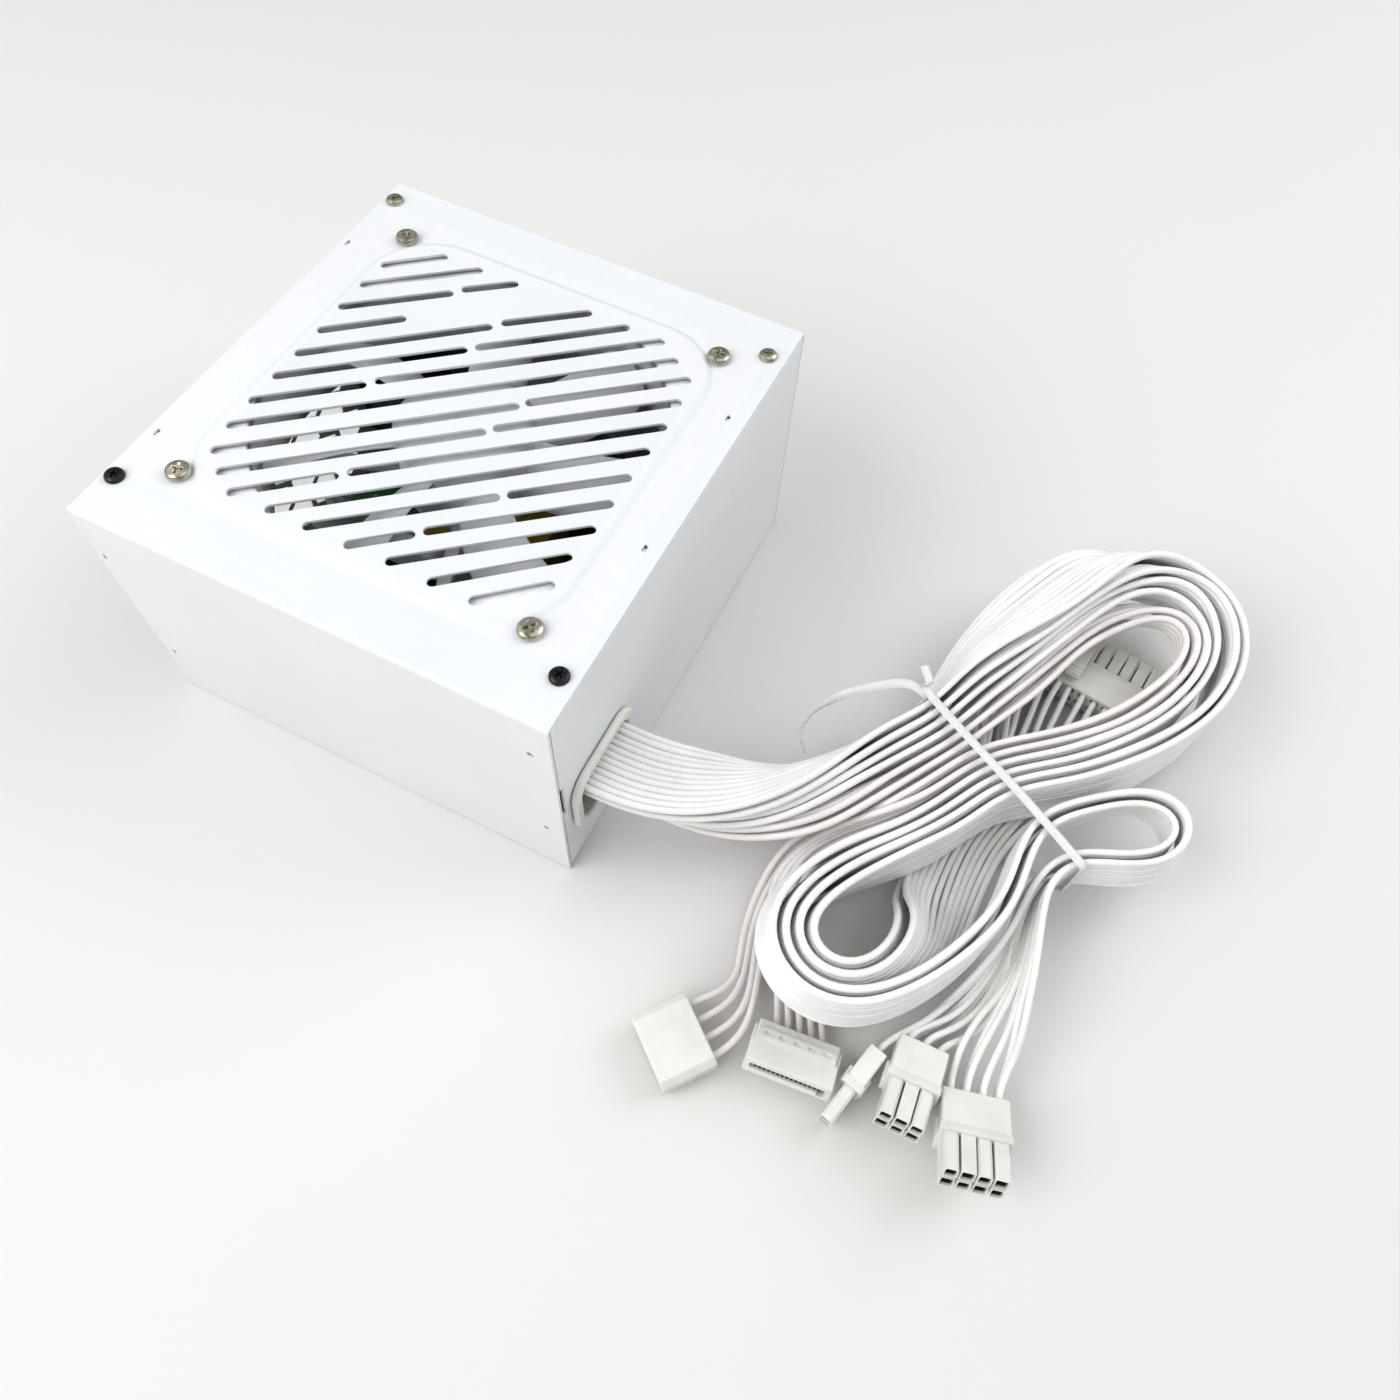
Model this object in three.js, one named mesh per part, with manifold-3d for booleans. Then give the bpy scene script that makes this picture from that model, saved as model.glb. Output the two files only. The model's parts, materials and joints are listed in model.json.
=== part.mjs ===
// ATX power supply unit with its fixed, coiled cable set.
// Millimetres, +Z up. Origin: centre of the case's bottom face. +X: face where the cables leave.
// -X: rear face with the mains inlet and the rocker switch. The fan blows through the top (+Z).
import * as THREE from 'three';
import { mergeVertices } from 'three/addons/utils/BufferGeometryUtils.js';
import Module from 'manifold-3d';

// ---------------------------------------------------------------- driving dimensions
const CASE_L = 140;          // along X
const CASE_W = 150;          // along Y
const CASE_H = 86;           // along Z, without the raised fan panel
const HALF_L = CASE_L / 2;
const HALF_W = CASE_W / 2;
const SHEET = 1.0;           // steel sheet
const GAP = 0.3;             // clearance between neighbouring pieces
const UNDER_COVER = CASE_H - SHEET - GAP;    // highest level of what lies under the cover

const COVER_SCREWS = [[-66.2, 66], [-66.2, -61], [65, -60.5], [64.6, 60.2]];    // [x, y]
const FAN_HOLE = 52.5;       // fan screws' offset from the fan axis in X and Y
const FAN_SCREWS = [[-1, -1], [1, -1], [1, 1], [-1, 1]].map(([x, y]) => [x * FAN_HOLE, y * FAN_HOLE]);

// neck of the cable grommet, and its place in the cable wall
const GROMMET = { y: -54, z: 32, width: 29, height: 24, corner: 6.5 };
// rear openings' centres, and the half sizes of the bodies that pass through them
const INLET = { y: 46, z: 27, halfW: 14, halfH: 10.5 };
const SWITCH = { y: 46, z: 62, halfW: 6.6, halfH: 10 };

const PCB_Z = 8;
const PCB_T = 1.6;
const PCB_TOP = PCB_Z + PCB_T;
const STANDOFFS = [[-55, -60], [44, 62], [-55, 62], [44, -60]];    // [x, y]
const BOARD_SCREWS = STANDOFFS.slice(0, 2);                        // the two that take a screw

const MATERIALS = {
  white_paint: { color: 0xf4f6f8, roughness: 0.5, metalness: 0 },
  white_plastic: { color: 0xf1f1ec, roughness: 0.45, metalness: 0 },
  cable: { color: 0xeeeeec, roughness: 0.5, metalness: 0 },
  pink_cable: { color: 0xe6dcdc, roughness: 0.5, metalness: 0 },
  black_screw: { color: 0x26282a, roughness: 0.4, metalness: 0.8 },
  brass_screw: { color: 0x9a9168, roughness: 0.4, metalness: 0.9 },
  steel: { color: 0xb9bcbf, roughness: 0.35, metalness: 0.9 },
  black_plastic: { color: 0x1b1c1e, roughness: 0.5, metalness: 0 },
  fan_plastic: { color: 0xe4e7ea, roughness: 0.45, metalness: 0 },
  copper: { color: 0xa8643a, roughness: 0.4, metalness: 0.8 },
  pcb: { color: 0x2f5a3c, roughness: 0.6, metalness: 0 },
  aluminium: { color: 0xc3c6c9, roughness: 0.4, metalness: 0.9 },
  yellow_tape: { color: 0xd9c56a, roughness: 0.6, metalness: 0 },
  ferrite: { color: 0x3c4043, roughness: 0.7, metalness: 0.1 },
  blue_sleeve: { color: 0x2c3e66, roughness: 0.4, metalness: 0 },
  sheet_film: { color: 0xe8e2c8, roughness: 0.5, metalness: 0 },
  brass: { color: 0xb59a55, roughness: 0.35, metalness: 0.9 },
};

// ---------------------------------------------------------------- helpers
const wasm = await Module();
wasm.setup();
const root = new THREE.Group();
const radians = THREE.MathUtils.degToRad;

// three.js geometry to manifold solid
function solid(source) {
  let g = source.index ? source.toNonIndexed() : source.clone();
  for (const key of Object.keys(g.attributes)) if (key !== 'position') g.deleteAttribute(key);
  g = mergeVertices(g, 1e-4);
  return new wasm.Manifold(new wasm.Mesh({
    numProp: 3,
    vertProperties: Float32Array.from(g.attributes.position.array),
    triVerts: Uint32Array.from(g.index.array),
  }));
}

// manifold solid to three.js geometry
function geometry(manifold) {
  const mesh = manifold.getMesh();
  const positions = new Float32Array(mesh.numVert * 3);
  for (let i = 0; i < mesh.numVert; i++) {
    for (let j = 0; j < 3; j++) positions[i * 3 + j] = mesh.vertProperties[i * mesh.numProp + j];
  }
  const g = new THREE.BufferGeometry();
  g.setAttribute('position', new THREE.BufferAttribute(positions, 3));
  g.setIndex(new THREE.BufferAttribute(Uint32Array.from(mesh.triVerts), 1));
  g.computeVertexNormals();
  return g;
}

function add(name, piece, material, matrix) {
  const g = piece instanceof THREE.BufferGeometry ? piece : geometry(piece);
  const mesh = new THREE.Mesh(g, new THREE.MeshStandardMaterial(MATERIALS[material]));
  mesh.name = name;
  if (matrix) mesh.applyMatrix4(matrix);
  root.add(mesh);
}

const join = (...parts) => parts.reduce((all, part) => all.add(part));
const cut = (body, ...tools) => tools.reduce((rest, tool) => rest.subtract(tool), body);

function box(x0, x1, y0, y1, z0, z1) {
  const g = new THREE.BoxGeometry(x1 - x0, y1 - y0, z1 - z0);
  return solid(g.translate((x0 + x1) / 2, (y0 + y1) / 2, (z0 + z1) / 2));
}

function cylinderZ(radius, [x, y], z0, z1, segments, topRadius = radius) {
  const g = new THREE.CylinderGeometry(topRadius, radius, z1 - z0, segments);
  return solid(g.rotateX(Math.PI / 2).translate(x, y, (z0 + z1) / 2));
}

function cylinderX(radius, [y, z], x0, x1, segments) {
  const g = new THREE.CylinderGeometry(radius, radius, x1 - x0, segments);
  return solid(g.rotateZ(-Math.PI / 2).translate((x0 + x1) / 2, y, z));
}

function shape(points) {
  const s = new THREE.Shape();
  points.forEach(([x, y], i) => (i ? s.lineTo(x, y) : s.moveTo(x, y)));
  s.closePath();
  return s;
}

const extrude = (points, depth) =>
  new THREE.ExtrudeGeometry(shape(points), { depth, bevelEnabled: false, steps: 1 });

// [x, y] outline pushed along Z
const prismZ = (points, z0, z1) => solid(extrude(points, z1 - z0).translate(0, 0, z0));

// [y, z] outline pushed along X
function prismX(points, x0, x1) {
  const turn = new THREE.Matrix4().set(0, 0, 1, x0, 1, 0, 0, 0, 0, 1, 0, 0, 0, 0, 0, 1);
  return solid(extrude(points, x1 - x0).applyMatrix4(turn));
}

function roundRect(cx, cy, width, height, radius, segments) {
  const points = [];
  for (const [sx, sy, start] of [[1, 1, 0], [-1, 1, 90], [-1, -1, 180], [1, -1, 270]]) {
    for (let i = 0; i <= segments; i++) {
      const angle = radians(start + 90 * i / segments);
      points.push([
        cx + sx * (width / 2 - radius) + radius * Math.cos(angle),
        cy + sy * (height / 2 - radius) + radius * Math.sin(angle),
      ]);
    }
  }
  return points;
}

// slot outline with ends of two segments each, from its centre line's end points
function slotOutline([x0, y0, x1, y1], width) {
  const along = Math.atan2(y1 - y0, x1 - x0);
  const points = [];
  for (const [x, y, start] of [[x1, y1, along - Math.PI / 2], [x0, y0, along + Math.PI / 2]]) {
    for (let i = 0; i <= 2; i++) {
      const angle = start + Math.PI * i / 2;
      points.push([x + width / 2 * Math.cos(angle), y + width / 2 * Math.sin(angle)]);
    }
  }
  return points;
}

// closed turned profile: points are [radius, z]
const turned = (points, segments) =>
  new THREE.LatheGeometry(points.map(p => new THREE.Vector2(...p)), segments).rotateX(Math.PI / 2);

const ring = (inner, outer, z0, z1, segments) =>
  turned([[inner, z0], [outer, z0], [outer, z1], [inner, z1], [inner, z0]], segments);

// extrusion path through given stations, each with its own width direction
class StationPath extends THREE.Curve {
  constructor(stations) {
    super();
    this.points = stations.map(([x, y, z]) => new THREE.Vector3(x, y, z));
    this.widths = stations.map(([, , , x, y, z]) => new THREE.Vector3(x, y, z));
  }

  getSpacedPoints() {
    return this.points.map(p => p.clone());
  }

  computeFrenetFrames() {
    const frames = { tangents: [], normals: [], binormals: [] };
    const last = this.points.length - 1;
    this.points.forEach((here, i) => {
      const before = here.clone().sub(this.points[Math.max(0, i - 1)]).normalize();
      const after = this.points[Math.min(last, i + 1)].clone().sub(here).normalize();
      const tangent = after.add(before).normalize();
      const width = this.widths[i].clone();
      width.addScaledVector(tangent, -width.dot(tangent)).normalize();
      frames.tangents.push(tangent);
      frames.normals.push(width);
      frames.binormals.push(tangent.clone().cross(width));
    });
    return frames;
  }
}

// constant section swept along stations [x, y, z, wx, wy, wz]; w = direction of its width
const sweep = (section, stations) => new THREE.ExtrudeGeometry(shape(section), {
  steps: stations.length - 1, extrudePath: new StationPath(stations), bevelEnabled: false,
});

function strip(stations, width, thickness) {
  const w = width / 2;
  const t = thickness / 2;
  return sweep([[-w, -t], [w, -t], [w, t], [-w, t]], stations);
}

// box through the rear wall on a port's outline, grown by a margin on every side
const portBox = ({ y, z, halfW, halfH }, margin, x0, x1) => box(
  x0, x1, y - halfW - margin, y + halfW + margin, z - halfH - margin, z + halfH + margin);

// rounded prism on the grommet's axis; growth is added to the neck's width and height
const grommetPrism = (growth, corner, x0, x1) => prismX(
  roundRect(GROMMET.y, GROMMET.z, GROMMET.width + growth, GROMMET.height + growth, corner, 3), x0, x1);

// ---------------------------------------------------------------- base tray
const TRAY_SIDE = HALF_W - SHEET - GAP;      // half width of the tray
const VENT_PITCH = 13;
const VENT_R = 6.3;
const VENT_MAX_Y = 24;                       // the vents stop short of the inlet and switch
// chassis screw holes of the rear wall: [distance from the -Y edge, z]
const CHASSIS_HOLES = [[6, 16], [6, 80], [144, 80], [120, 6]];

function rearVents() {
  const vents = [];
  for (let row = 0; row < 6; row++) {
    for (let column = 0; column < 7; column++) {
      const y = -62 + VENT_PITCH * (column + (row % 2) / 2);
      const z = 15 + VENT_PITCH * 0.866 * row;
      if (y > VENT_MAX_Y) continue;
      const hexagon = [];
      for (let k = 0; k < 6; k++) {
        const angle = radians(30 + 60 * k);
        hexagon.push([y + VENT_R * Math.cos(angle), z + VENT_R * Math.sin(angle)]);
      }
      vents.push(prismX(hexagon, -HALF_L - 1, -HALF_L + SHEET + 1));
    }
  }
  return vents;
}

// bottom, rear wall and cable wall, with their folded flanges
function baseTray() {
  const side = TRAY_SIDE;
  const top = UNDER_COVER;
  const topFlange = 10;
  const sideFlange = 9;
  let tray = join(
    box(-HALF_L, HALF_L, -side, side, 0, SHEET),
    box(-HALF_L, -HALF_L + SHEET, -side, side, 0, top),
    box(HALF_L - SHEET, HALF_L, -side, side, 0, top),
    box(-HALF_L, -HALF_L + topFlange, -side, side, top - SHEET, top),
    box(HALF_L - topFlange, HALF_L, -side, side, top - SHEET, top));
  for (const y of [-side, side - SHEET]) {
    tray = join(tray,
      box(-HALF_L, -HALF_L + sideFlange, y, y + SHEET, 0, top),
      box(HALF_L - sideFlange, HALF_L, y, y + SHEET, 0, top),
      box(-HALF_L, HALF_L, y, y + SHEET, 0, 11));
  }
  // pressed board standoffs
  tray = join(tray, ...STANDOFFS.map(p => cylinderZ(4, p, SHEET - 0.2, PCB_Z - GAP, 10, 2.6)));
  return cut(tray,
    ...BOARD_SCREWS.map(p => cylinderZ(1.3, p, 2.2, 12, 8)),
    grommetPrism(2 * GAP, GROMMET.corner + GAP, HALF_L - 3, HALF_L + 1),
    // notch in the cable wall's -Y edge
    box(HALF_L - SHEET - 0.5, HALF_L + 1, -side - 1, -side + 1.4, 36, 52),
    portBox(INLET, GAP, -HALF_L - 1, -HALF_L + 3),
    portBox(SWITCH, GAP, -HALF_L - 1, -HALF_L + 3),
    ...rearVents(),
    ...CHASSIS_HOLES.map(([u, z]) =>
      cylinderX(1.5, [-HALF_W + u, z], -HALF_L - 1, -HALF_L + SHEET + 2, 8)),
    ...COVER_SCREWS.map(p => cylinderZ(1.9, p, top - SHEET - 1, top + 1, 8)));
}
add('base_tray', baseTray(), 'white_paint');

// ---------------------------------------------------------------- top cover
const PANEL = { halfX: 55.5, halfY: 57, corner: 21, rise: 0.7 };    // raised fan panel
const SLOT_W = 2.8;
// slots of the fan panel: [x0, y0, x1, y1] end points of each slot's centre line
const SLOTS = [
  [-51.5, 39.5, -38.5, 50.7], [-52, 29.5, -26.3, 50.7], [-52, 18.8, -28.5, 38],
  [-25, 42, -14, 50.7], [-51.5, 8, -34.5, 22.5], [-51.5, -2.5, -11.2, 31.5],
  [-7.5, 35.5, 11, 50.3], [-51.5, -12.5, -12.5, 20.2], [-8.8, 23.5, 23.5, 50.3],
  [-51.5, -23, -29.5, -4.5], [-26, -0.8, 35, 50], [-51, -33, 42, 45],
  [-49, -42, 11.5, 8.5], [14.5, 11.8, 48.5, 40], [-43.2, -47.2, 8.5, -3.8],
  [11.7, -0.5, 50, 31], [-36.5, -51.5, -17, -35], [-13.5, -31.5, 50.5, 21],
  [-24.5, -51.5, 50.5, 11], [-13, -51.5, 23.5, -21.5], [27, -18.5, 50.5, 0.5],
  [-0.5, -51.5, 11, -41.8], [14.5, -38.6, 50.5, -9.5], [11.5, -51, 50.5, -19],
  [24, -51.5, 49.5, -29.5], [36, -51.5, 50, -39],
];
// small locating slots: [x, y] in the top, [x, z] in the -Y side
const TOP_NICKS = [[64.7, 33.2], [65.2, -17.3], [-67.6, 43], [-67, -43.9]];
const SIDE_NICKS = [[63.8, 69.5], [64.4, 24.8], [-67.4, 67.5], [-66.1, 20.7]];
const NICK = { halfX: 0.5, halfLength: 1.1 };

// fan side and the two long sides
function topCover() {
  const top = CASE_H;
  const panel = roundRect(0, 0, 2 * PANEL.halfX, 2 * PANEL.halfY, PANEL.corner, 5);
  const { halfX, halfLength } = NICK;
  const cover = join(
    box(-HALF_L, HALF_L, -HALF_W, HALF_W, top - SHEET, top),
    box(-HALF_L, HALF_L, -HALF_W, -HALF_W + SHEET, 0, top),
    box(-HALF_L, HALF_L, HALF_W - SHEET, HALF_W, 0, top),
    prismZ(panel, top - 0.5, top + PANEL.rise));
  return cut(cover,
    ...SLOTS.map(ends => prismZ(slotOutline(ends, SLOT_W), top - 3, top + 3)),
    ...COVER_SCREWS.map(p => cylinderZ(1.9, p, top - 2, top + 2, 8)),
    ...FAN_SCREWS.map(p => cylinderZ(2.5, p, top - 3, top + 3, 10)),
    ...TOP_NICKS.map(([x, y]) =>
      box(x - halfX, x + halfX, y - halfLength, y + halfLength, top - 2, top + 1)),
    ...SIDE_NICKS.map(([x, z]) => box(
      x - halfX, x + halfX, -HALF_W - 1, -HALF_W + 0.6, z - halfLength, z + halfLength)));
}
add('top_cover', topCover(), 'white_paint');

// ---------------------------------------------------------------- cover and fan screws
// heights and depth are measured from the cover's top; the cross recess has two equal arms
const COVER_SCREW = {
  headR: 2.8, headTopR: 2.2, headTop: 1.9, shankR: 1.5, shankDepth: 8,
  crossHalfL: 1.5, crossHalfW: 0.35, crossFloor: 1.1,
};
const FAN_SCREW = {
  headR: 3.4, headTopR: 2.8, headTop: 2.3, shankR: 1.9, shankDepth: 12,
  crossHalfL: 1.9, crossHalfW: 0.45, crossFloor: 1.3,
};

function crossScrew([x, y], s) {
  const arm = (halfX, halfY) =>
    box(x - halfX, x + halfX, y - halfY, y + halfY, CASE_H + s.crossFloor, CASE_H + 3);
  return cut(
    join(
      cylinderZ(s.headR, [x, y], CASE_H + GAP, CASE_H + s.headTop, 12, s.headTopR),
      cylinderZ(s.shankR, [x, y], CASE_H - s.shankDepth, CASE_H + 0.6, 6)),
    arm(s.crossHalfL, s.crossHalfW),
    arm(s.crossHalfW, s.crossHalfL));
}
COVER_SCREWS.forEach((p, i) => {
  add('cover_screw_' + (i + 1), crossScrew(p, COVER_SCREW), p[1] < 0 ? 'black_screw' : 'brass_screw');
});
FAN_SCREWS.forEach((p, i) => add('fan_screw_' + (i + 1), crossScrew(p, FAN_SCREW), 'brass_screw'));

// ---------------------------------------------------------------- fan
const FAN_SIZE = 119.4;
const FAN_DEPTH = 25;
const FAN_TOP = UNDER_COVER;
const FAN_BOTTOM = FAN_TOP - FAN_DEPTH;
const FAN_BORE_R = 57.2;
const FAN_PLATE_T = 4;
const ROTOR_R = 55.4;
const ROTOR_Z0 = FAN_BOTTOM + 3.6;
const ROTOR_Z1 = FAN_TOP - 1.4;
const HUB_R = 20;
const CUP_R = HUB_R - 2;                 // inside of the hub cup
const BLADES = 7;
const BLADE_ROOT_R = HUB_R - 0.9;        // the blades start inside the cup's wall
const BLADE_STEPS = 3;
const BLADE_SECTION = [                  // [across the blade, through its thickness]
  [-9.8, 0.9], [-3.5, -0.9], [4.4, -0.9], [10.2, 0.4],
  [10.2, 1.3], [4.4, 0.8], [-3.5, 0.9], [-9.8, 1.8],
];

function fanFrame() {
  const plate = z0 => prismZ(roundRect(0, 0, FAN_SIZE, FAN_SIZE, 6, 2), z0, z0 + FAN_PLATE_T);
  let frame = join(plate(FAN_BOTTOM), plate(FAN_TOP - FAN_PLATE_T),
    cylinderZ(FAN_BORE_R + 1.8, [0, 0], FAN_BOTTOM, FAN_TOP, 36));
  frame = cut(frame, cylinderZ(FAN_BORE_R, [0, 0], FAN_BOTTOM - 1, FAN_TOP + 1, 36));
  // motor plate and four struts
  frame = frame.add(cylinderZ(HUB_R, [0, 0], FAN_BOTTOM, FAN_BOTTOM + 2.4, 20));
  for (let i = 0; i < 4; i++) {
    const strut = new THREE.BoxGeometry(FAN_BORE_R - HUB_R + 3, 4, 3)
      .translate((FAN_BORE_R + HUB_R) / 2, 0, FAN_BOTTOM + 1.5)
      .rotateZ(radians(20 + 90 * i));
    frame = frame.add(solid(strut));
  }
  return cut(frame, ...FAN_SCREWS.map(p => cylinderZ(2.2, p, FAN_BOTTOM - 1, FAN_TOP + 1, 8)));
}

// twisted, swept blade starting at the given angle round the hub
function fanBlade(startAngle) {
  const stations = [];
  for (let k = 0; k <= BLADE_STEPS; k++) {
    const outward = k / BLADE_STEPS;
    const r = BLADE_ROOT_R + (ROTOR_R - BLADE_ROOT_R) * outward;
    const angle = startAngle + 0.16 * outward ** 1.5;
    const pitch = radians(44 - 20 * outward);
    stations.push([
      r * Math.cos(angle), r * Math.sin(angle), (ROTOR_Z0 + ROTOR_Z1) / 2 + 0.2,
      -Math.sin(angle) * Math.cos(pitch), Math.cos(angle) * Math.cos(pitch), Math.sin(pitch),
    ]);
  }
  return solid(sweep(BLADE_SECTION, stations));
}

// hub cup, open towards the motor plate, with its blades
function fanRotor() {
  const z0 = ROTOR_Z0;
  const z1 = ROTOR_Z1;
  const boreR = 1.9;
  let rotor = solid(turned([
    [boreR, z1 - 5], [4.2, z1 - 5], [4.2, z1 - 2], [CUP_R, z1 - 2], [CUP_R, z0],
    [HUB_R, z0], [HUB_R, z1 - 2], [CUP_R, z1], [boreR, z1], [boreR, z1 - 5],
  ], 28));
  for (let i = 0; i < BLADES; i++) rotor = rotor.add(fanBlade(2 * Math.PI * i / BLADES));
  // trims the blade tips round
  return rotor.intersect(cylinderZ(ROTOR_R + 0.6, [0, 0], z0 - 1, z1 + 1, 36));
}

function fanShaft() {
  const z0 = FAN_BOTTOM + 3.2;
  const z1 = ROTOR_Z1 - 0.5;
  return turned([[0, z0], [1.5, z0], [1.5, z1], [0, z1]], 12);
}

// core ring with four arms, each ending in a flat shoe
function fanStator() {
  let stator = solid(ring(4.3, 7, FAN_BOTTOM + 2.7, ROTOR_Z1 - 6, 16));
  const z = FAN_BOTTOM + 11;
  for (let i = 0; i < 4; i++) {
    const angle = radians(45 + 90 * i);
    stator = join(stator,
      solid(new THREE.BoxGeometry(8, 4.5, 8).translate(9.5, 0, z).rotateZ(angle)),
      solid(new THREE.BoxGeometry(1.6, 10, 9).translate(14, 0, z).rotateZ(angle)));
  }
  return stator;
}
add('fan_frame', fanFrame(), 'fan_plastic');
add('fan_rotor', fanRotor(), 'fan_plastic');
add('fan_magnet', ring(16.2, CUP_R - GAP, ROTOR_Z0 + 2, ROTOR_Z1 - 3, 24), 'ferrite');
add('fan_shaft', fanShaft(), 'steel');
add('fan_bearing', ring(1.8, 4.0, FAN_BOTTOM + 2.7, ROTOR_Z1 - 5.6, 16), 'brass');
add('fan_stator', fanStator(), 'copper');

// ---------------------------------------------------------------- mains inlet (rear)
// [name, y, z] of the contact blades, from the inlet's centre
const INLET_BLADES = [['live', -7, -1.5], ['neutral', 7, -1.5], ['earth', 0, 2.5]];
// mouth outline [y, z] from the inlet's centre
const INLET_MOUTH = [[-12.1, -8.2], [12.1, -8.2], [12.1, 3.6], [7.6, 8.2], [-7.6, 8.2], [-12.1, 3.6]];

// box on a contact blade's axis
const bladeBox = ([, dy, dz], halfW, halfH, x0, x1) =>
  portBox({ y: INLET.y + dy, z: INLET.z + dz, halfW, halfH }, 0, -HALF_L + x0, -HALF_L + x1);

function inletBody() {
  const { y, z } = INLET;
  const mouth = INLET_MOUTH.map(([dy, dz]) => [y + dy, z + dz]);
  return cut(
    join(
      prismX(roundRect(y, z, 31, 24, 2.5, 2), -HALF_L - 1.8, -HALF_L - GAP),
      portBox(INLET, 0, -HALF_L - 0.5, -HALF_L + 18)),
    prismX(mouth, -HALF_L - 3, -HALF_L + 15.5),
    ...INLET_BLADES.map(blade => bladeBox(blade, 1 + GAP, 2 + GAP, 15, 19)));
}
add('inlet_body', inletBody(), 'black_plastic');
for (const blade of INLET_BLADES) {
  add('inlet_blade_' + blade[0], bladeBox(blade, 1, 2, 3.5, 24), 'steel');
}

// ---------------------------------------------------------------- rocker switch (rear)
const SWITCH_TILT = 9;       // resting tilt of the rocker, degrees
const ROCKER_W = 10.4;       // along Y
// side profile [x, z] from the rocker's pivot
const ROCKER_PROFILE = [
  [-1.6, -8.35], [-4.1, -8.1], [-2.2, 0], [-4.1, 8.1], [-1.6, 8.35], [3.2, 6], [3.2, -6],
];

function switchHousing() {
  const rim = roundRect(SWITCH.y, SWITCH.z, 15.4, 22.4, 1.5, 2);
  return cut(
    join(
      prismX(rim, -HALF_L - 1.6, -HALF_L - GAP),
      portBox(SWITCH, 0, -HALF_L - 0.5, -HALF_L + 9.4)),
    portBox(SWITCH, -1, -HALF_L - 3, -HALF_L + 7.4));
}

function switchRocker() {
  const g = extrude(ROCKER_PROFILE, ROCKER_W).rotateX(Math.PI / 2).translate(0, ROCKER_W / 2, 0);
  return solid(g.rotateY(radians(SWITCH_TILT)).translate(-HALF_L + 2.2, SWITCH.y, SWITCH.z));
}
add('switch_housing', switchHousing(), 'black_plastic');
add('switch_rocker', switchRocker(), 'black_plastic');

// ---------------------------------------------------------------- board and its parts
const PARTS_Z = PCB_TOP + GAP;           // underside of the parts on the board

function mainBoard() {
  return cut(box(-62, 51, -67, 67, PCB_Z, PCB_TOP),
    ...BOARD_SCREWS.map(p => cylinderZ(1.7, p, PCB_Z - 1, PCB_Z + 3, 8)));
}

function insulationSheet() {
  return cut(box(-60, 50, -70, 70, SHEET + GAP, SHEET + GAP + 0.5),
    ...STANDOFFS.map(p => cylinderZ(4.6, p, 0, 3, 10)));
}

function boardScrew(p) {
  return join(
    cylinderZ(2.8, p, PARTS_Z, PCB_TOP + 2, 10),
    cylinderZ(1.0, p, 3, PCB_TOP + 0.6, 8));
}

// standing plate from y0 to y0 + 2.5 with six level fins between finY0 and finY1
function heatsink(x0, x1, y0, finY0, finY1) {
  let sink = box(x0, x1, y0, y0 + 2.5, PARTS_Z, 52);
  for (let k = 0; k < 6; k++) {
    const z = PARTS_Z + 8 + k * 5.6;
    sink = sink.add(box(x0, x1, finY0, finY1, z, z + 1.6));
  }
  return sink;
}

function mainTransformer() {
  return join(
    box(-16, 20, -14, 16, PARTS_Z + 2, 38),
    box(-10, 14, -17.5, 18.5, PARTS_Z + 6, 34),
    box(-13, 17, -12, 14, PARTS_Z, PARTS_Z + 3));
}

function standbyTransformer() {
  return join(
    box(26, 45, -14, 4, PARTS_Z + 1.5, 30),
    box(28.5, 42.5, -16, 6, PARTS_Z, 27));
}

const torus = (ringR, tubeR, ringSegments) =>
  new THREE.TorusGeometry(ringR, tubeR, 8, ringSegments);

add('main_pcb', mainBoard(), 'pcb');
add('insulation_sheet', insulationSheet(), 'sheet_film');
BOARD_SCREWS.forEach((p, i) => add('board_screw_' + (i + 1), boardScrew(p), 'steel'));
add('heatsink_primary', heatsink(-40, 14, -22, -30, -21.5), 'aluminium');
add('heatsink_secondary', heatsink(-30, 34, 20, 22, 30.5), 'aluminium');
add('main_transformer', mainTransformer(), 'yellow_tape');
add('standby_transformer', standbyTransformer(), 'yellow_tape');
add('bulk_capacitor', cylinderZ(15, [-22, -50], PARTS_Z, 50, 20, 14.4), 'blue_sleeve');
add('emi_choke',
  torus(8.5, 4.2, 16).rotateX(Math.PI / 2).translate(-26, 38, PARTS_Z + 12.9), 'copper');
add('x_capacitor', box(-30, -4, 48, 57, PARTS_Z, 28), 'yellow_tape');
add('bridge_rectifier', box(-38, -16, -34.5, -30.6, PARTS_Z + 2, 32), 'black_plastic');
add('boost_inductor',
  torus(11.5, 5.4, 18).rotateY(Math.PI / 2).translate(14, -52, PARTS_Z + 17), 'copper');
add('output_inductor', torus(9, 4.6, 16).translate(30, 50, PARTS_Z + 4.8), 'copper');
[[44, 20], [44, 34]].forEach((p, i) => {
  add('output_capacitor_' + (i + 1), cylinderZ(5, p, PARTS_Z, 34, 12, 4.8), 'black_plastic');
});

// ---------------------------------------------------------------- cable grommet
// flange outside the wall, neck through it and lip inside
function cableGrommet() {
  return cut(
    join(
      grommetPrism(4, 8, HALF_L + GAP, HALF_L + 2.3),
      grommetPrism(0, GROMMET.corner, HALF_L - 3.5, HALF_L + 0.6),
      grommetPrism(2.6, 7.5, HALF_L - 3.6, HALF_L - SHEET - GAP)),
    grommetPrism(-3, 5, HALF_L - 5, HALF_L + 4));
}
add('cable_grommet', cableGrommet(), 'white_plastic');

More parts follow.
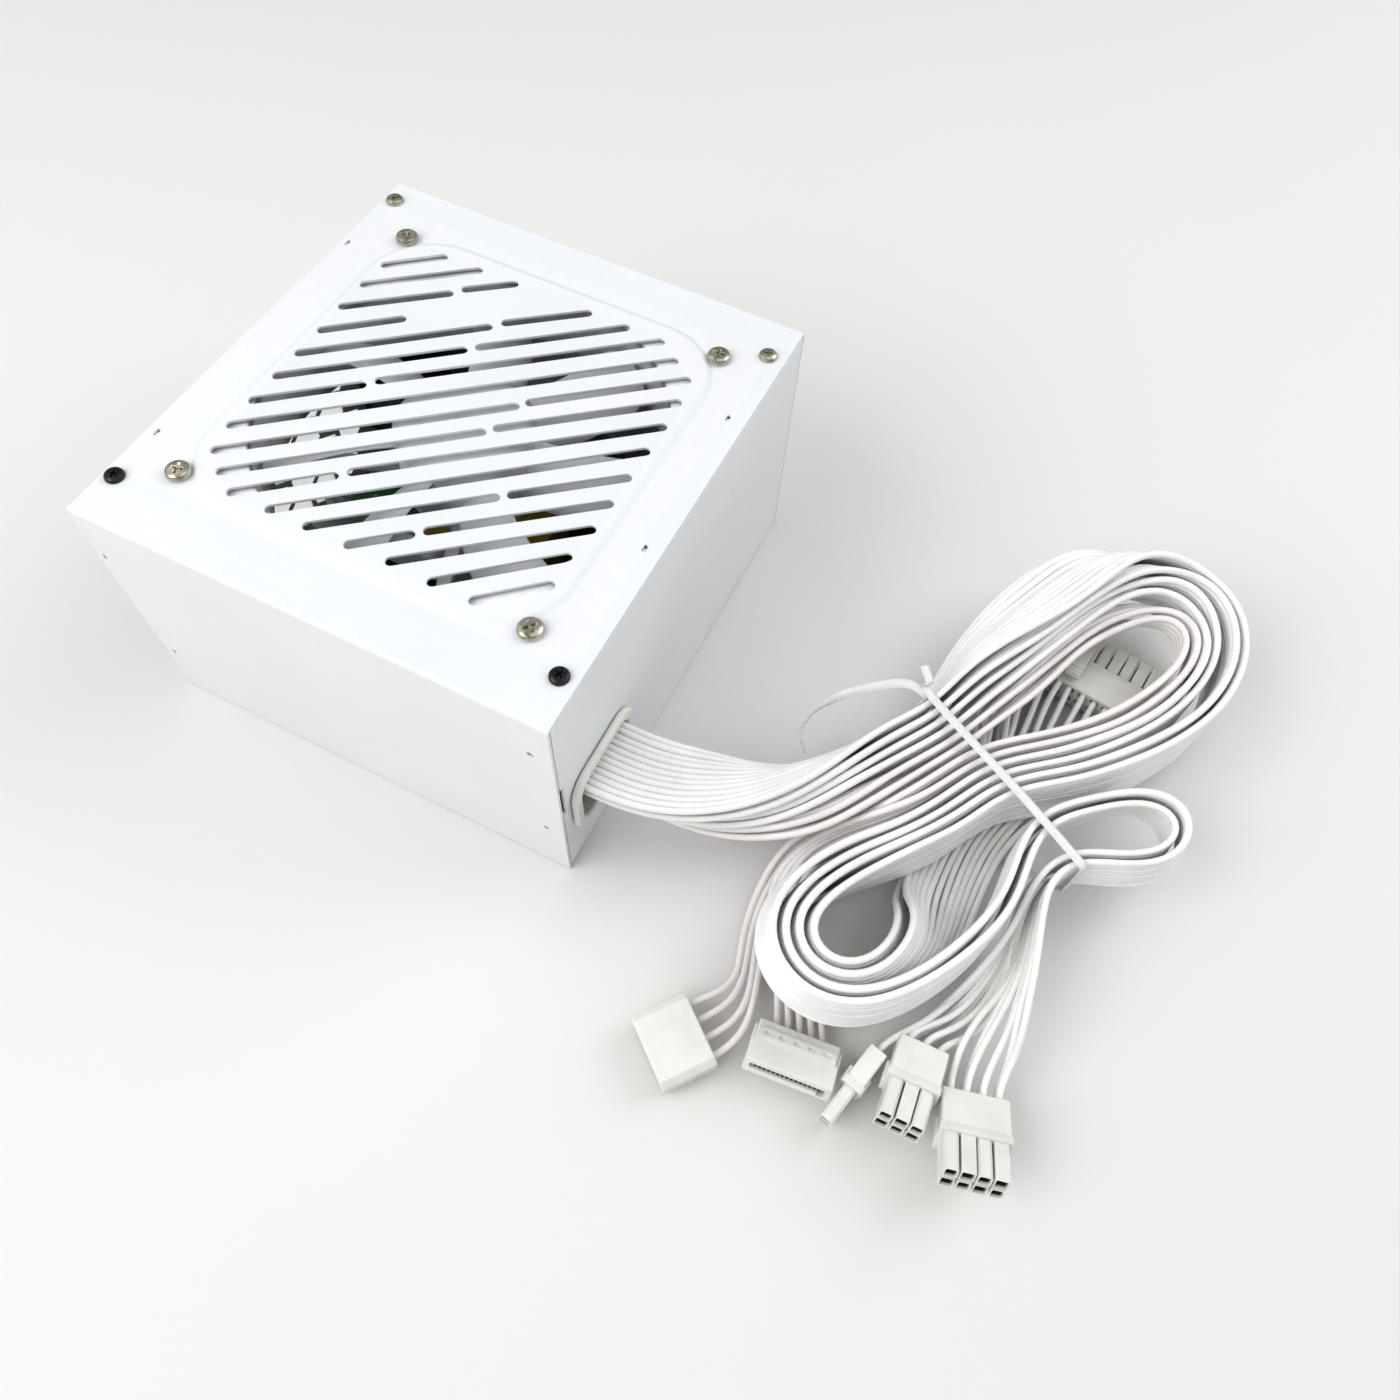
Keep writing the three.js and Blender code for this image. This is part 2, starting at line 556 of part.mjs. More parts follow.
// ---------------------------------------------------------------- plugs
// Local frame of a plug: +X mating direction, +Y along the contact rows, +Z across the rows;
// origin at the wire side.
const PIN_PITCH = 4.2;
const PLUG_ROWS = 2;
const PLUG_BORDER = 5.4;                 // plug size beyond its contact pitches
const PLUG_L = 23;
const PLUG_HALF_H = ((PLUG_ROWS - 1) * PIN_PITCH + PLUG_BORDER) / 2;
const CATCH_H = 1.6;                     // latch catch above the plug's face
const DRIVE_KEY_Y = 8.6;                 // short leg of the drive plug's L-shaped slot
const PERIPHERAL_PITCH = 5.08;
// latch: side of the catch and lever in local Z; pos: origin; dir: mating direction
const PLUGS = [
  { name: 'plug_main', cols: 12, latch: 1, lever: 'latch_main',
    pos: [183.55, 49.66, 5.7], dir: [0.144, 0.990, 0] },
  { name: 'plug_cpu', cols: 4, latch: -1, lever: 'latch_cpu',
    pos: [198.5, -86.6, 8.6], dir: [0.2165, -0.8875, 0.4067] },
  { name: 'plug_gpu_6', cols: 3, latch: -1, lever: 'latch_gpu',
    pos: [181.6, -80.2, 8.8], dir: [0.029, -0.9607, 0.2756] },
  { name: 'plug_gpu_2', cols: 1, pos: [171.2, -85.6, 8.0], dir: [-0.25, -0.967, -0.04] },
  { name: 'plug_drive', build: drivePlug, pos: [150.8, -91.2, 5.2], dir: [0.094, -0.935, 0.342] },
  { name: 'plug_peripheral', build: peripheralPlug,
    pos: [126.0, -101.2, 6.6], dir: [-0.62, -0.78, -0.05] },
];

// frame at a position with X along dir and Z as near to upright as it can be
function plugFrame(position, dir) {
  const x = new THREE.Vector3(...dir).normalize();
  const z = new THREE.Vector3(0, 0, 1);
  z.addScaledVector(x, -z.dot(x)).normalize();
  const y = z.clone().cross(x);
  return new THREE.Matrix4().makeBasis(x, y, z).setPosition(...position);
}

// two-row plug: flange at the wire side, a separate silo per column at the mating side
function rowPlug({ cols, latch }) {
  const halfW = ((cols - 1) * PIN_PITCH + PLUG_BORDER) / 2;
  const halfH = PLUG_HALF_H;
  let plug = join(
    box(0, 12.5, -halfW, halfW, -halfH, halfH),
    box(12, PLUG_L - 0.5, -halfW + 0.8, halfW - 0.8, -0.8, 0.8));
  for (let i = 0; i < cols; i++) {
    const y = (i - (cols - 1) / 2) * PIN_PITCH;
    plug = plug.add(box(12, PLUG_L, y - 1.85, y + 1.85, -halfH + 0.75, halfH - 0.75));
    for (let j = 0; j < PLUG_ROWS; j++) {
      const z = (j - (PLUG_ROWS - 1) / 2) * PIN_PITCH;
      plug = plug.subtract(box(PLUG_L - 7, PLUG_L + 1, y - 1.1, y + 1.1, z - 1.1, z + 1.1));
    }
  }
  if (!latch) return plug;
  const [z0, z1] = latch > 0 ? [halfH - 0.5, halfH + CATCH_H] : [-halfH - CATCH_H, -halfH + 0.5];
  return plug.add(box(8.2, 9.8, -2.2, 2.2, z0, z1));
}

// latch lever over the catch, hooked at its mating end
function latchLever(side) {
  const z0 = PLUG_HALF_H + CATCH_H + GAP;
  const z1 = z0 + 1.2;
  const halfW = 2.4;
  const lever = join(
    box(1.5, 18.5, -halfW, halfW, z0, z1),
    box(16.6, 18.5, -halfW, halfW, z0 - 1.3, z1),
    box(1.5, 3.2, -halfW, halfW, z0, z1 + 0.5));
  return side > 0 ? lever : solid(geometry(lever).rotateX(Math.PI));
}

// flat power plug with an L-shaped slot
function drivePlug() {
  return cut(
    join(
      box(0, 6.2, -11.5, 11.5, -3.4, 3.4),
      box(5.5, 13, -12.2, 12.2, -3.1, 3.1),
      box(3, 5.8, -11, 11, 3.2, 4.0)),
    box(6.5, 14, -10.4, 10.4, -0.9, 1.1),
    box(6.5, 14, DRIVE_KEY_Y, 10.4, -2.2, 1.1));
}

// four-contact plug with two chamfered corners and two grooves in its top
function peripheralPlug() {
  const outline = [[-10.5, -4.3], [10.5, -4.3], [10.5, 2.4], [8.6, 4.3], [-8.6, 4.3], [-10.5, 2.4]];
  let plug = prismX(outline, 0, 16);
  for (let i = 0; i < 4; i++) {
    plug = plug.subtract(cylinderX(1.8, [(i - 1.5) * PERIPHERAL_PITCH, 0], 7, 17, 8));
  }
  return cut(plug, box(-1, 5, -9, -7.4, 4.0, 5), box(-1, 5, 7.4, 9, 4.0, 5));
}

// ---------------------------------------------------------------- cables and tie
const WIRE_PITCH = 1.95;
const RIBBON_T = 1.7;
const TIE_W = 2.4;
const TIE_T = 1.0;
// Cable ribbons. Stations [x, y, z, wx, wy, wz] run from the grommet to the plug;
// w = unit direction across the wires.
const CABLES = [
  { name: 'cable_main_a', wires: 12, material: 'cable', stations: [
    [56.96, -54, 39.5, 0, -1, 0], [76.99, -53.99, 39.36, 0.02, -1, 0],
    [85.95, -52.78, 38.5, 0.162, -0.986, 0.039], [91.79, -50.82, 37.53, 0.301, -0.949, 0.096],
    [96.49, -48.54, 36.59, 0.421, -0.891, 0.168], [100.09, -46.37, 35.75, 0.515, -0.821, 0.248],
    [103.52, -43.95, 34.77, 0.589, -0.738, 0.329], [106.78, -41.37, 33.7, 0.644, -0.635, 0.428],
    [109.88, -38.67, 32.54, 0.671, -0.532, 0.516], [112.83, -35.88, 31.35, 0.667, -0.43, 0.609],
    [115.62, -33.04, 30.2, 0.64, -0.34, 0.689], [118.9, -29.35, 28.91, 0.582, -0.243, 0.776],
    [122.56, -24.78, 27.52, 0.502, -0.141, 0.853], [126.73, -19.38, 25.95, 0.398, -0.05, 0.916],
    [131.77, -12.08, 24.36, 0.259, 0, 0.966], [139.78, -0.75, 22.44, 0.161, 0.06, 0.985],
    [143.41, 3.96, 21.57, 0.1, 0.07, 0.992], [144.93, 6.53, 21.37, 0.05, -0.02, 0.999],
    [145.91, 9.35, 21.59, 0.04, -0.159, 0.986], [146.52, 13.21, 22.47, 0.11, -0.281, 0.953],
    [147.32, 19.84, 24.58, 0.22, -0.35, 0.91], [149.4, 28.1, 27.61, 0.302, -0.465, 0.832],
    [152.99, 36.78, 31.25, 0.372, -0.566, 0.735], [157.51, 45.17, 34.3, 0.501, -0.559, 0.66],
    [162.17, 53.84, 35.98, 0.619, -0.504, 0.603], [167.92, 65.54, 36.49, 0.684, -0.432, 0.588],
    [172.88, 75.35, 35.77, 0.662, -0.391, 0.639], [178.32, 83.38, 34, 0.59, -0.38, 0.712],
    [184.39, 89.15, 31.71, 0.478, -0.374, 0.794], [190.81, 92.63, 29.62, 0.345, -0.368, 0.863],
    [197.97, 94.23, 27.84, 0.218, -0.328, 0.919], [205.45, 93.71, 26.38, 0.12, -0.28, 0.952],
    [211.78, 91.23, 25.28, 0.067, -0.219, 0.973], [217.36, 86.89, 24.26, 0.044, -0.168, 0.985],
    [222.32, 80.19, 23.28, 0.038, -0.105, 0.994], [225.42, 72.27, 22.71, 0.023, -0.042, 0.999],
    [226.54, 62.78, 22.52, 0.01, -0.01, 1], [225.36, 52.41, 22.47, -0.009, -0.011, 1],
    [221.53, 40.79, 22.33, -0.028, -0.001, 1], [214.4, 27.62, 22.22, -0.05, 0.03, 0.998],
    [206.04, 16.74, 21.98, -0.069, 0.03, 0.997], [191.14, 2.72, 21.27, -0.04, 0.01, 0.999],
    [179.06, -6.15, 21.11, 0, 0, 1], [174.01, -12.34, 21.13, 0, 0, 1],
    [166.51, -26.47, 21.52, 0.03, 0.06, 0.998], [162.42, -32.11, 22.24, 0.07, 0.09, 0.993],
    [159.17, -35.9, 22.55, 0, -0.02, 1], [155.9, -39.66, 22.1, -0.06, -0.13, 0.99],
    [146.61, -50.09, 21.04, 0.09, -0.1, 0.991], [141.01, -58.37, 21.17, 0.19, -0.06, 0.98],
    [138.75, -63.91, 21.31, 0.209, -0.05, 0.977], [138.55, -68.88, 21.24, 0.2, 0.01, 0.98],
    [139.87, -72.63, 21.18, 0.17, 0.08, 0.982], [143.3, -76.22, 21.14, 0.101, 0.141, 0.985],
    [147.99, -77.82, 21.09, 0.03, 0.171, 0.985], [153.95, -77.43, 21.09, -0.05, 0.159, 0.986],
    [158.41, -75.24, 21.05, -0.08, 0.161, 0.984], [162.47, -70.87, 20.62, -0.12, 0.229, 0.966],
    [164.88, -66.6, 19.67, -0.179, 0.358, 0.916], [165.81, -63.93, 18.68, -0.27, 0.45, 0.851],
    [166.23, -62.18, 17.8, -0.329, 0.519, 0.789], [166.52, -60.52, 16.71, -0.409, 0.599, 0.689],
    [166.76, -59.04, 15.39, -0.461, 0.671, 0.581], [167.21, -57.04, 13.19, -0.528, 0.688, 0.498],
    [167.64, -55.65, 11.83, -0.602, 0.622, 0.501], [168.14, -54.09, 10.67, -0.7, 0.53, 0.48],
    [168.61, -52.42, 9.67, -0.782, 0.441, 0.441], [169.02, -50.68, 8.78, -0.842, 0.371, 0.391],
    [169.5, -47.98, 7.55, -0.906, 0.279, 0.319], [169.96, -44.3, 6.03, -0.957, 0.189, 0.219],
    [170.5, -38.6, 4.24, -0.989, 0.11, 0.1], [171.11, -31.66, 3.54, -0.997, 0.08, 0.02],
    [171.89, -20.68, 3.45, -0.997, 0.08, -0.01], [173.42, -10.79, 3.39, -0.973, 0.231, 0],
    [176.78, 0.74, 3.4, -0.957, 0.289, 0], [181.56, 24.7, 3.41, -0.982, 0.19, 0],
    [183.4, 48.7, 3.3, -0.99, 0.144, 0],
  ] },
  { name: 'cable_main_b', wires: 12, material: 'cable', stations: [
    [56.98, -54, 36.5, 0, -1, 0], [78, -53.97, 36.31, 0.02, -1, 0.01],
    [86.95, -52.67, 35.29, 0.152, -0.987, 0.049], [92.81, -50.8, 34.13, 0.268, -0.956, 0.119],
    [97.56, -48.74, 33.01, 0.368, -0.907, 0.204], [102.15, -46.27, 31.81, 0.471, -0.827, 0.307],
    [105.68, -44.07, 30.82, 0.533, -0.746, 0.4], [109.08, -41.69, 29.82, 0.565, -0.656, 0.5],
    [112.34, -39.18, 28.89, 0.576, -0.562, 0.594], [116.2, -35.87, 27.85, 0.566, -0.449, 0.692],
    [119.77, -32.37, 27.01, 0.53, -0.337, 0.778], [123.05, -28.67, 26.28, 0.482, -0.241, 0.843],
    [127.4, -23.28, 25.21, 0.391, -0.13, 0.911], [132.75, -16.14, 23.98, 0.27, -0.05, 0.961],
    [141.32, -3.93, 22.33, 0.15, 0.03, 0.988], [146.2, 2.35, 21.41, 0.09, 0.04, 0.995],
    [148.51, 6.77, 21.28, 0.04, -0.06, 0.997], [149.77, 11.58, 21.8, 0.09, -0.18, 0.98],
    [150.54, 17.39, 23.08, 0.2, -0.27, 0.942], [152.14, 24.96, 25.21, 0.298, -0.374, 0.878],
    [154.66, 32.27, 27.63, 0.376, -0.486, 0.789], [158.76, 41, 30.45, 0.485, -0.525, 0.699],
    [163.15, 49.83, 32.28, 0.611, -0.486, 0.626], [168.77, 61.59, 33.11, 0.681, -0.44, 0.585],
    [173.72, 71.43, 32.8, 0.664, -0.422, 0.617], [179.13, 79.59, 31.56, 0.576, -0.413, 0.705],
    [185.21, 85.5, 29.73, 0.46, -0.404, 0.79], [190.81, 88.71, 28.21, 0.336, -0.378, 0.862],
    [197.05, 90.43, 26.88, 0.211, -0.342, 0.916], [204.56, 90.22, 25.62, 0.11, -0.271, 0.956],
    [210.9, 87.75, 24.67, 0.048, -0.21, 0.977], [216.32, 83.14, 23.79, 0.032, -0.137, 0.99],
    [220.35, 77, 23.09, 0.027, -0.084, 0.996], [222.7, 69.92, 22.7, 0.022, -0.031, 0.999],
    [223.35, 61.47, 22.54, 0.01, -0.01, 1], [221.76, 51.21, 22.4, -0.018, -0.011, 1],
    [217.02, 38.92, 22.17, -0.039, 0.009, 0.999], [209.39, 26.14, 21.97, -0.06, 0.03, 0.998],
    [199.99, 14.89, 21.59, -0.069, 0.03, 0.997], [184.18, 1.78, 21.13, -0.02, 0.01, 1],
    [175.56, -5.04, 21.11, 0, 0, 1], [170.84, -11.48, 21.14, 0.01, 0, 1],
    [162.74, -26.43, 21.48, 0.01, 0.03, 1], [154.62, -36.58, 21.56, 0.01, -0.03, 1],
    [142.53, -49.92, 21.48, 0.12, -0.09, 0.989], [137.26, -58.41, 21.49, 0.18, -0.09, 0.98],
    [135.31, -64.08, 21.44, 0.209, -0.05, 0.977], [135.1, -69.06, 21.45, 0.2, 0.03, 0.979],
    [136.68, -73.77, 21.53, 0.15, 0.11, 0.982], [140.58, -78.29, 21.63, 0.101, 0.141, 0.985],
    [144.92, -80.72, 21.65, 0.05, 0.159, 0.986], [149.87, -81.21, 21.64, -0.01, 0.171, 0.985],
    [156.72, -79.85, 21.65, -0.06, 0.159, 0.985], [161.72, -76.58, 21.63, -0.12, 0.14, 0.983],
    [167.61, -69.79, 21.82, -0.25, 0.12, 0.961], [170.09, -65.46, 21.9, -0.31, 0.19, 0.931],
    [171.35, -61.71, 21.34, -0.38, 0.31, 0.871], [171.88, -58.91, 20.41, -0.471, 0.391, 0.791],
    [172.18, -56.22, 19.11, -0.581, 0.431, 0.691], [172.32, -53.66, 17.55, -0.676, 0.418, 0.607],
    [172.38, -51.15, 15.9, -0.779, 0.35, 0.52], [172.34, -49.49, 14.78, -0.844, 0.271, 0.462],
    [172.2, -47.85, 13.65, -0.899, 0.18, 0.4], [171.88, -45.44, 11.88, -0.95, 0.09, 0.3],
    [171.59, -40.51, 8.49, -0.984, 0.09, 0.151], [171.61, -35.75, 7, -0.998, -0.01, 0.07],
    [171.5, -29.76, 6.68, -1, 0, 0.01], [172.3, -16.78, 6.55, -0.99, 0.14, 0],
    [174.71, -6.05, 6.46, -0.96, 0.28, 0], [180, 13.33, 6.6, -0.972, 0.235, 0],
    [183.02, 42.29, 6.92, -0.989, 0.145, 0], [183.39, 48.55, 7.5, -0.99, 0.144, 0],
  ] },
  { name: 'cable_cpu', wires: 8, material: 'cable', stations: [
    [56.99, -54, 33.5, 0, -1, 0], [81.02, -53.83, 33.08, 0.03, -0.999, 0.019],
    [93.92, -51.43, 30.86, 0.175, -0.974, 0.147], [102.66, -48.31, 29.02, 0.314, -0.892, 0.326],
    [110.1, -44.55, 27.86, 0.419, -0.756, 0.504], [116.97, -39.99, 27.17, 0.458, -0.584, 0.67],
    [123.76, -34.04, 26.94, 0.43, -0.4, 0.81], [130.74, -25.53, 26.71, 0.331, -0.2, 0.922],
    [139.76, -12.33, 25.76, 0.181, -0.04, 0.983], [150.04, 2.4, 24.36, 0.06, 0.02, 0.998],
    [152.53, 7.86, 24.34, 0.06, -0.07, 0.996], [155.41, 19.43, 25.68, 0.259, -0.23, 0.938],
    [158.57, 28.87, 27.43, 0.4, -0.375, 0.836], [164.63, 42.54, 29.76, 0.586, -0.433, 0.685],
    [170.74, 56.34, 30.74, 0.681, -0.44, 0.585], [176.58, 67.99, 30.83, 0.635, -0.472, 0.612],
    [182.23, 76.02, 30.37, 0.519, -0.482, 0.706], [188.63, 81.77, 29.53, 0.36, -0.449, 0.818],
    [195.37, 85.07, 28.68, 0.205, -0.382, 0.901], [201.86, 86.02, 28.02, 0.103, -0.301, 0.948],
    [207.51, 84.94, 27.46, 0.039, -0.22, 0.975], [212.62, 81.79, 26.91, 0.013, -0.138, 0.99],
    [217.15, 76.09, 26.32, 0.026, -0.073, 0.997], [219.68, 69.08, 25.95, 0.023, -0.042, 0.999],
    [220.15, 60.64, 25.74, 0.002, -0.021, 1], [218.13, 50.51, 25.51, -0.027, -0.022, 0.999],
    [212.46, 37.59, 25.18, -0.048, 0.009, 0.999], [204.32, 25.2, 24.85, -0.069, 0.03, 0.997],
    [193.8, 13.72, 24.42, -0.05, 0.03, 0.998], [174.46, -1.65, 24.17, 0, 0.01, 1],
    [169.33, -7.76, 24.24, 0.01, 0.01, 1], [159.68, -25.29, 24.61, 0.01, 0.02, 1],
    [151.76, -35.6, 24.88, 0.04, -0.02, 0.999], [140.91, -47.37, 25.08, 0.12, -0.08, 0.99],
    [135.1, -56.7, 25.2, 0.19, -0.08, 0.979], [132.58, -64.28, 25.21, 0.209, -0.04, 0.977],
    [132.55, -70.26, 25.21, 0.2, 0.04, 0.979], [134.7, -75.83, 25.27, 0.15, 0.11, 0.982],
    [138.67, -80.3, 25.31, 0.101, 0.141, 0.985], [143.9, -83.18, 25.32, 0.06, 0.159, 0.985],
    [149.8, -84.15, 25.32, 0, 0.171, 0.985], [156.64, -82.8, 25.32, -0.06, 0.161, 0.985],
    [162.69, -79.31, 25.31, -0.1, 0.139, 0.985], [169.73, -72.22, 25.28, -0.12, 0.09, 0.989],
    [176.37, -62.23, 25.2, -0.09, 0.07, 0.993], [182.01, -49.42, 25.03, -0.05, 0.03, 0.998],
    [184.52, -38.71, 24.83, -0.01, 0.02, 1], [184.7, -26.72, 24.54, 0, 0.03, 1],
    [184.72, -16.73, 24.29, 0, 0.02, 1], [186.81, -10.08, 24.16, 0.02, 0.01, 1],
    [191.78, -3.83, 24.17, 0.03, -0.06, 0.998], [202.6, 6.24, 25.2, 0.072, -0.216, 0.974],
    [210.33, 11.92, 25.55, 0.147, -0.289, 0.946], [215.7, 13.73, 25.38, 0.095, -0.343, 0.934],
    [220.46, 13.44, 25.12, -0.009, -0.348, 0.938], [224, 11.68, 24.88, -0.109, -0.289, 0.951],
    [226.67, 8.52, 24.65, -0.186, -0.186, 0.965], [228.06, 4.54, 24.43, -0.194, -0.079, 0.978],
    [227.79, -0.64, 24.18, -0.163, 0.006, 0.987], [225.23, -6.06, 23.91, -0.119, 0.039, 0.992],
    [220.19, -10.63, 23.59, -0.07, 0.04, 0.997], [203.56, -17.33, 23.18, 0.01, 0.02, 1],
    [198.81, -18.86, 23.23, -0.01, 0, 1], [196.73, -20.97, 23.13, -0.02, -0.05, 0.999],
    [195.57, -25.78, 22.76, 0.01, -0.09, 0.996], [196.28, -37.7, 21.53, 0.08, -0.11, 0.991],
    [197.65, -50.53, 19.85, 0.231, -0.14, 0.963], [197.57, -59.35, 18.05, 0.442, -0.241, 0.864],
    [197.49, -64.14, 16.59, 0.641, -0.261, 0.722], [197.49, -67.89, 15.19, 0.801, -0.21, 0.561],
    [197.53, -71.62, 13.72, 0.92, -0.13, 0.37], [197.66, -76.33, 12.03, 0.985, -0.02, 0.169],
    [197.97, -84.01, 9.8, 0.999, 0.04, 0.02],
  ] },
  { name: 'cable_gpu', wires: 8, material: 'cable', stations: [
    [57.01, -54, 30.5, 0, -1, 0], [81, -53.88, 30.07, 0.01, -1, 0.02],
    [93.92, -51.85, 27.83, 0.132, -0.98, 0.15], [103.72, -48.87, 25.91, 0.259, -0.901, 0.349],
    [112.22, -45.03, 24.98, 0.361, -0.756, 0.546], [120.01, -40.23, 24.83, 0.392, -0.582, 0.713],
    [127.51, -33.65, 25.08, 0.369, -0.379, 0.848], [135.62, -23.5, 25.28, 0.25, -0.18, 0.951],
    [148.97, -4.79, 24.4, 0.09, 0.01, 0.996], [153.84, 2.75, 23.95, 0.05, 0, 0.999],
    [156.63, 10.23, 23.95, 0.12, -0.06, 0.991], [159.46, 20.86, 24.53, 0.311, -0.191, 0.931],
    [163.16, 31.31, 25.61, 0.475, -0.353, 0.806], [169.18, 46.28, 26.88, 0.662, -0.391, 0.639],
    [174.72, 59.27, 27.38, 0.673, -0.452, 0.585], [179.55, 67.97, 27.5, 0.59, -0.504, 0.631],
    [185.12, 74.73, 27.42, 0.44, -0.527, 0.727], [191.17, 79.36, 27.2, 0.269, -0.473, 0.839],
    [198.17, 82.07, 26.95, 0.109, -0.366, 0.924], [203.84, 82.28, 26.74, 0.023, -0.253, 0.967],
    [209.3, 80.11, 26.47, -0.016, -0.138, 0.99], [213.01, 76.56, 26.2, -0.003, -0.074, 0.997],
    [215.91, 70.91, 25.9, 0.023, -0.042, 0.999], [217.07, 63.59, 25.63, 0.012, -0.031, 0.999],
    [215.86, 54.32, 25.34, -0.016, -0.032, 0.999], [211.52, 42.98, 24.96, -0.037, -0.012, 0.999],
    [203.93, 30.18, 24.53, -0.068, 0.019, 0.997], [194.51, 18.99, 24.14, -0.06, 0.03, 0.998],
    [173.26, 1.58, 23.94, 0, 0.01, 1], [167.25, -5.09, 24.03, 0.01, 0.01, 1],
    [156.05, -25.16, 24.41, 0.01, 0.02, 1], [149.4, -33.9, 24.73, 0.06, 0.01, 0.998],
    [138.89, -44.56, 25.33, 0.13, -0.06, 0.99], [132.83, -53.72, 25.68, 0.18, -0.07, 0.981],
    [129.59, -62.09, 25.76, 0.209, -0.05, 0.977], [129.01, -69.04, 25.73, 0.21, 0.01, 0.978],
    [130.4, -74.85, 25.71, 0.18, 0.07, 0.981], [134.16, -80.71, 25.71, 0.131, 0.121, 0.984],
    [139.67, -84.97, 25.7, 0.08, 0.149, 0.986], [146.28, -87.17, 25.7, 0.03, 0.171, 0.985],
    [153.25, -87.13, 25.7, -0.03, 0.171, 0.985], [159.88, -84.96, 25.7, -0.07, 0.161, 0.984],
    [166.44, -80.43, 25.65, -0.1, 0.13, 0.987], [173.67, -72.16, 25.49, -0.11, 0.1, 0.989],
    [180.45, -61.09, 25.3, -0.09, 0.05, 0.995], [186.26, -46.2, 24.89, -0.02, 0.04, 0.999],
    [188.03, -35.37, 24.56, 0, 0.03, 1], [187.86, -17.4, 24.12, 0, 0.03, 1],
    [189.6, -11.69, 23.93, 0.03, 0.02, 0.999], [193.89, -6.2, 23.76, 0.05, -0.04, 0.998],
    [204.66, 3.98, 24.33, 0.099, -0.195, 0.976], [211.69, 8.99, 24.32, 0.174, -0.278, 0.945],
    [216.18, 10.44, 24.04, 0.104, -0.343, 0.934], [219.98, 10.15, 23.8, -0.009, -0.348, 0.938],
    [222.6, 8.76, 23.65, -0.131, -0.256, 0.958], [224.33, 6.18, 23.55, -0.202, -0.112, 0.973],
    [224.98, 2.03, 23.47, -0.174, 0.006, 0.985], [223.48, -2.79, 23.36, -0.119, 0.049, 0.992],
    [219.5, -7.05, 23.19, -0.07, 0.05, 0.996], [209.73, -11.66, 22.94, -0.03, 0.02, 0.999],
    [200.29, -14.89, 23.08, 0.05, 0.02, 0.999], [197.48, -15.93, 23.12, -0.04, -0.02, 0.999],
    [195.22, -17.81, 22.71, -0.139, -0.169, 0.976], [193.16, -22.1, 21.29, -0.09, -0.309, 0.947],
    [192.16, -28.62, 18.99, -0.04, -0.319, 0.947], [192.22, -38.19, 16.1, -0.1, -0.269, 0.958],
    [192.35, -46.8, 13.5, -0.349, -0.299, 0.888], [192.07, -51.5, 11.82, -0.551, -0.231, 0.802],
    [191.56, -55.25, 10.52, -0.708, -0.11, 0.698], [190.77, -58.97, 9.28, -0.829, 0.01, 0.559],
    [190.05, -61.73, 8.36, -0.888, 0.14, 0.439], [189.3, -63.5, 7.8, -0.861, 0.36, 0.36],
    [187.68, -65.95, 7.24, -0.782, 0.571, 0.251], [184.29, -69.6, 7.4, -0.673, 0.733, 0.1],
    [182.84, -70.92, 7.76, -0.643, 0.764, 0.06], [181.49, -72.34, 8.09, -0.791, 0.611, 0.03],
    [180.88, -73.13, 8.2, -0.791, 0.611, 0.02],
  ] },
  { name: 'cable_drive', wires: 5, material: 'pink_cable', stations: [
    [57.02, -54, 27.5, 0, -1, 0], [83.02, -53.89, 26.86, -0.02, -0.999, 0.031],
    [98.96, -51.93, 24.02, 0.081, -0.963, 0.256], [108.84, -49.26, 23.16, 0.194, -0.869, 0.455],
    [118.16, -45.18, 23.54, 0.293, -0.71, 0.641], [126.44, -39.71, 24.68, 0.32, -0.539, 0.779],
    [133.28, -32.56, 25.96, 0.28, -0.36, 0.89], [142.16, -20.5, 26.86, 0.181, -0.14, 0.973],
    [155.67, -0.67, 26.39, 0.06, 0.01, 0.998], [159.84, 8.4, 26.02, 0.12, 0, 0.993],
    [163.38, 18.81, 25.38, 0.336, -0.057, 0.94], [166.5, 27.35, 24.91, 0.497, -0.218, 0.84],
    [171.43, 40.68, 24.64, 0.66, -0.31, 0.684], [177.16, 55.85, 24.81, 0.681, -0.44, 0.585],
    [181.98, 64.56, 25.24, 0.568, -0.549, 0.613], [187.01, 70.45, 25.94, 0.379, -0.606, 0.7],
    [192.25, 74.5, 26.83, 0.19, -0.554, 0.811], [199.05, 77.61, 27.81, 0.017, -0.388, 0.921],
    [203.72, 77.99, 28.24, -0.074, -0.236, 0.969], [208.28, 76.26, 28.51, -0.079, -0.077, 0.994],
    [211.19, 73.34, 28.54, -0.016, -0.032, 0.999], [213.34, 68.51, 28.38, 0.023, -0.042, 0.999],
    [213.9, 62.19, 28.1, 0.005, -0.053, 0.999], [212.1, 53.1, 27.7, -0.026, -0.033, 0.999],
    [206.25, 40.3, 27.15, -0.057, -0.002, 0.998], [197.98, 28.05, 26.63, -0.069, 0.03, 0.997],
    [187.23, 16.84, 26.35, -0.031, 0.031, 0.999], [170.32, 3.28, 26.44, 0, 0.01, 1],
    [164.47, -3.53, 26.53, 0.01, 0.01, 1], [156.27, -18.42, 26.77, 0.03, 0.05, 0.998],
    [153.82, -22.75, 27.23, 0.03, 0.04, 0.999], [152.17, -25.25, 27.14, -0.08, -0.11, 0.991],
    [149.63, -28.13, 26.07, -0.3, -0.22, 0.928], [146.18, -30.93, 23.8, -0.53, -0.17, 0.831],
    [142.25, -33.42, 20.02, -0.719, -0.09, 0.689], [138.54, -36.17, 16.21, -0.685, 0.141, 0.715],
    [135.15, -39.05, 13.93, -0.702, 0.311, 0.641], [132.32, -42.7, 12.06, -0.838, 0.279, 0.469],
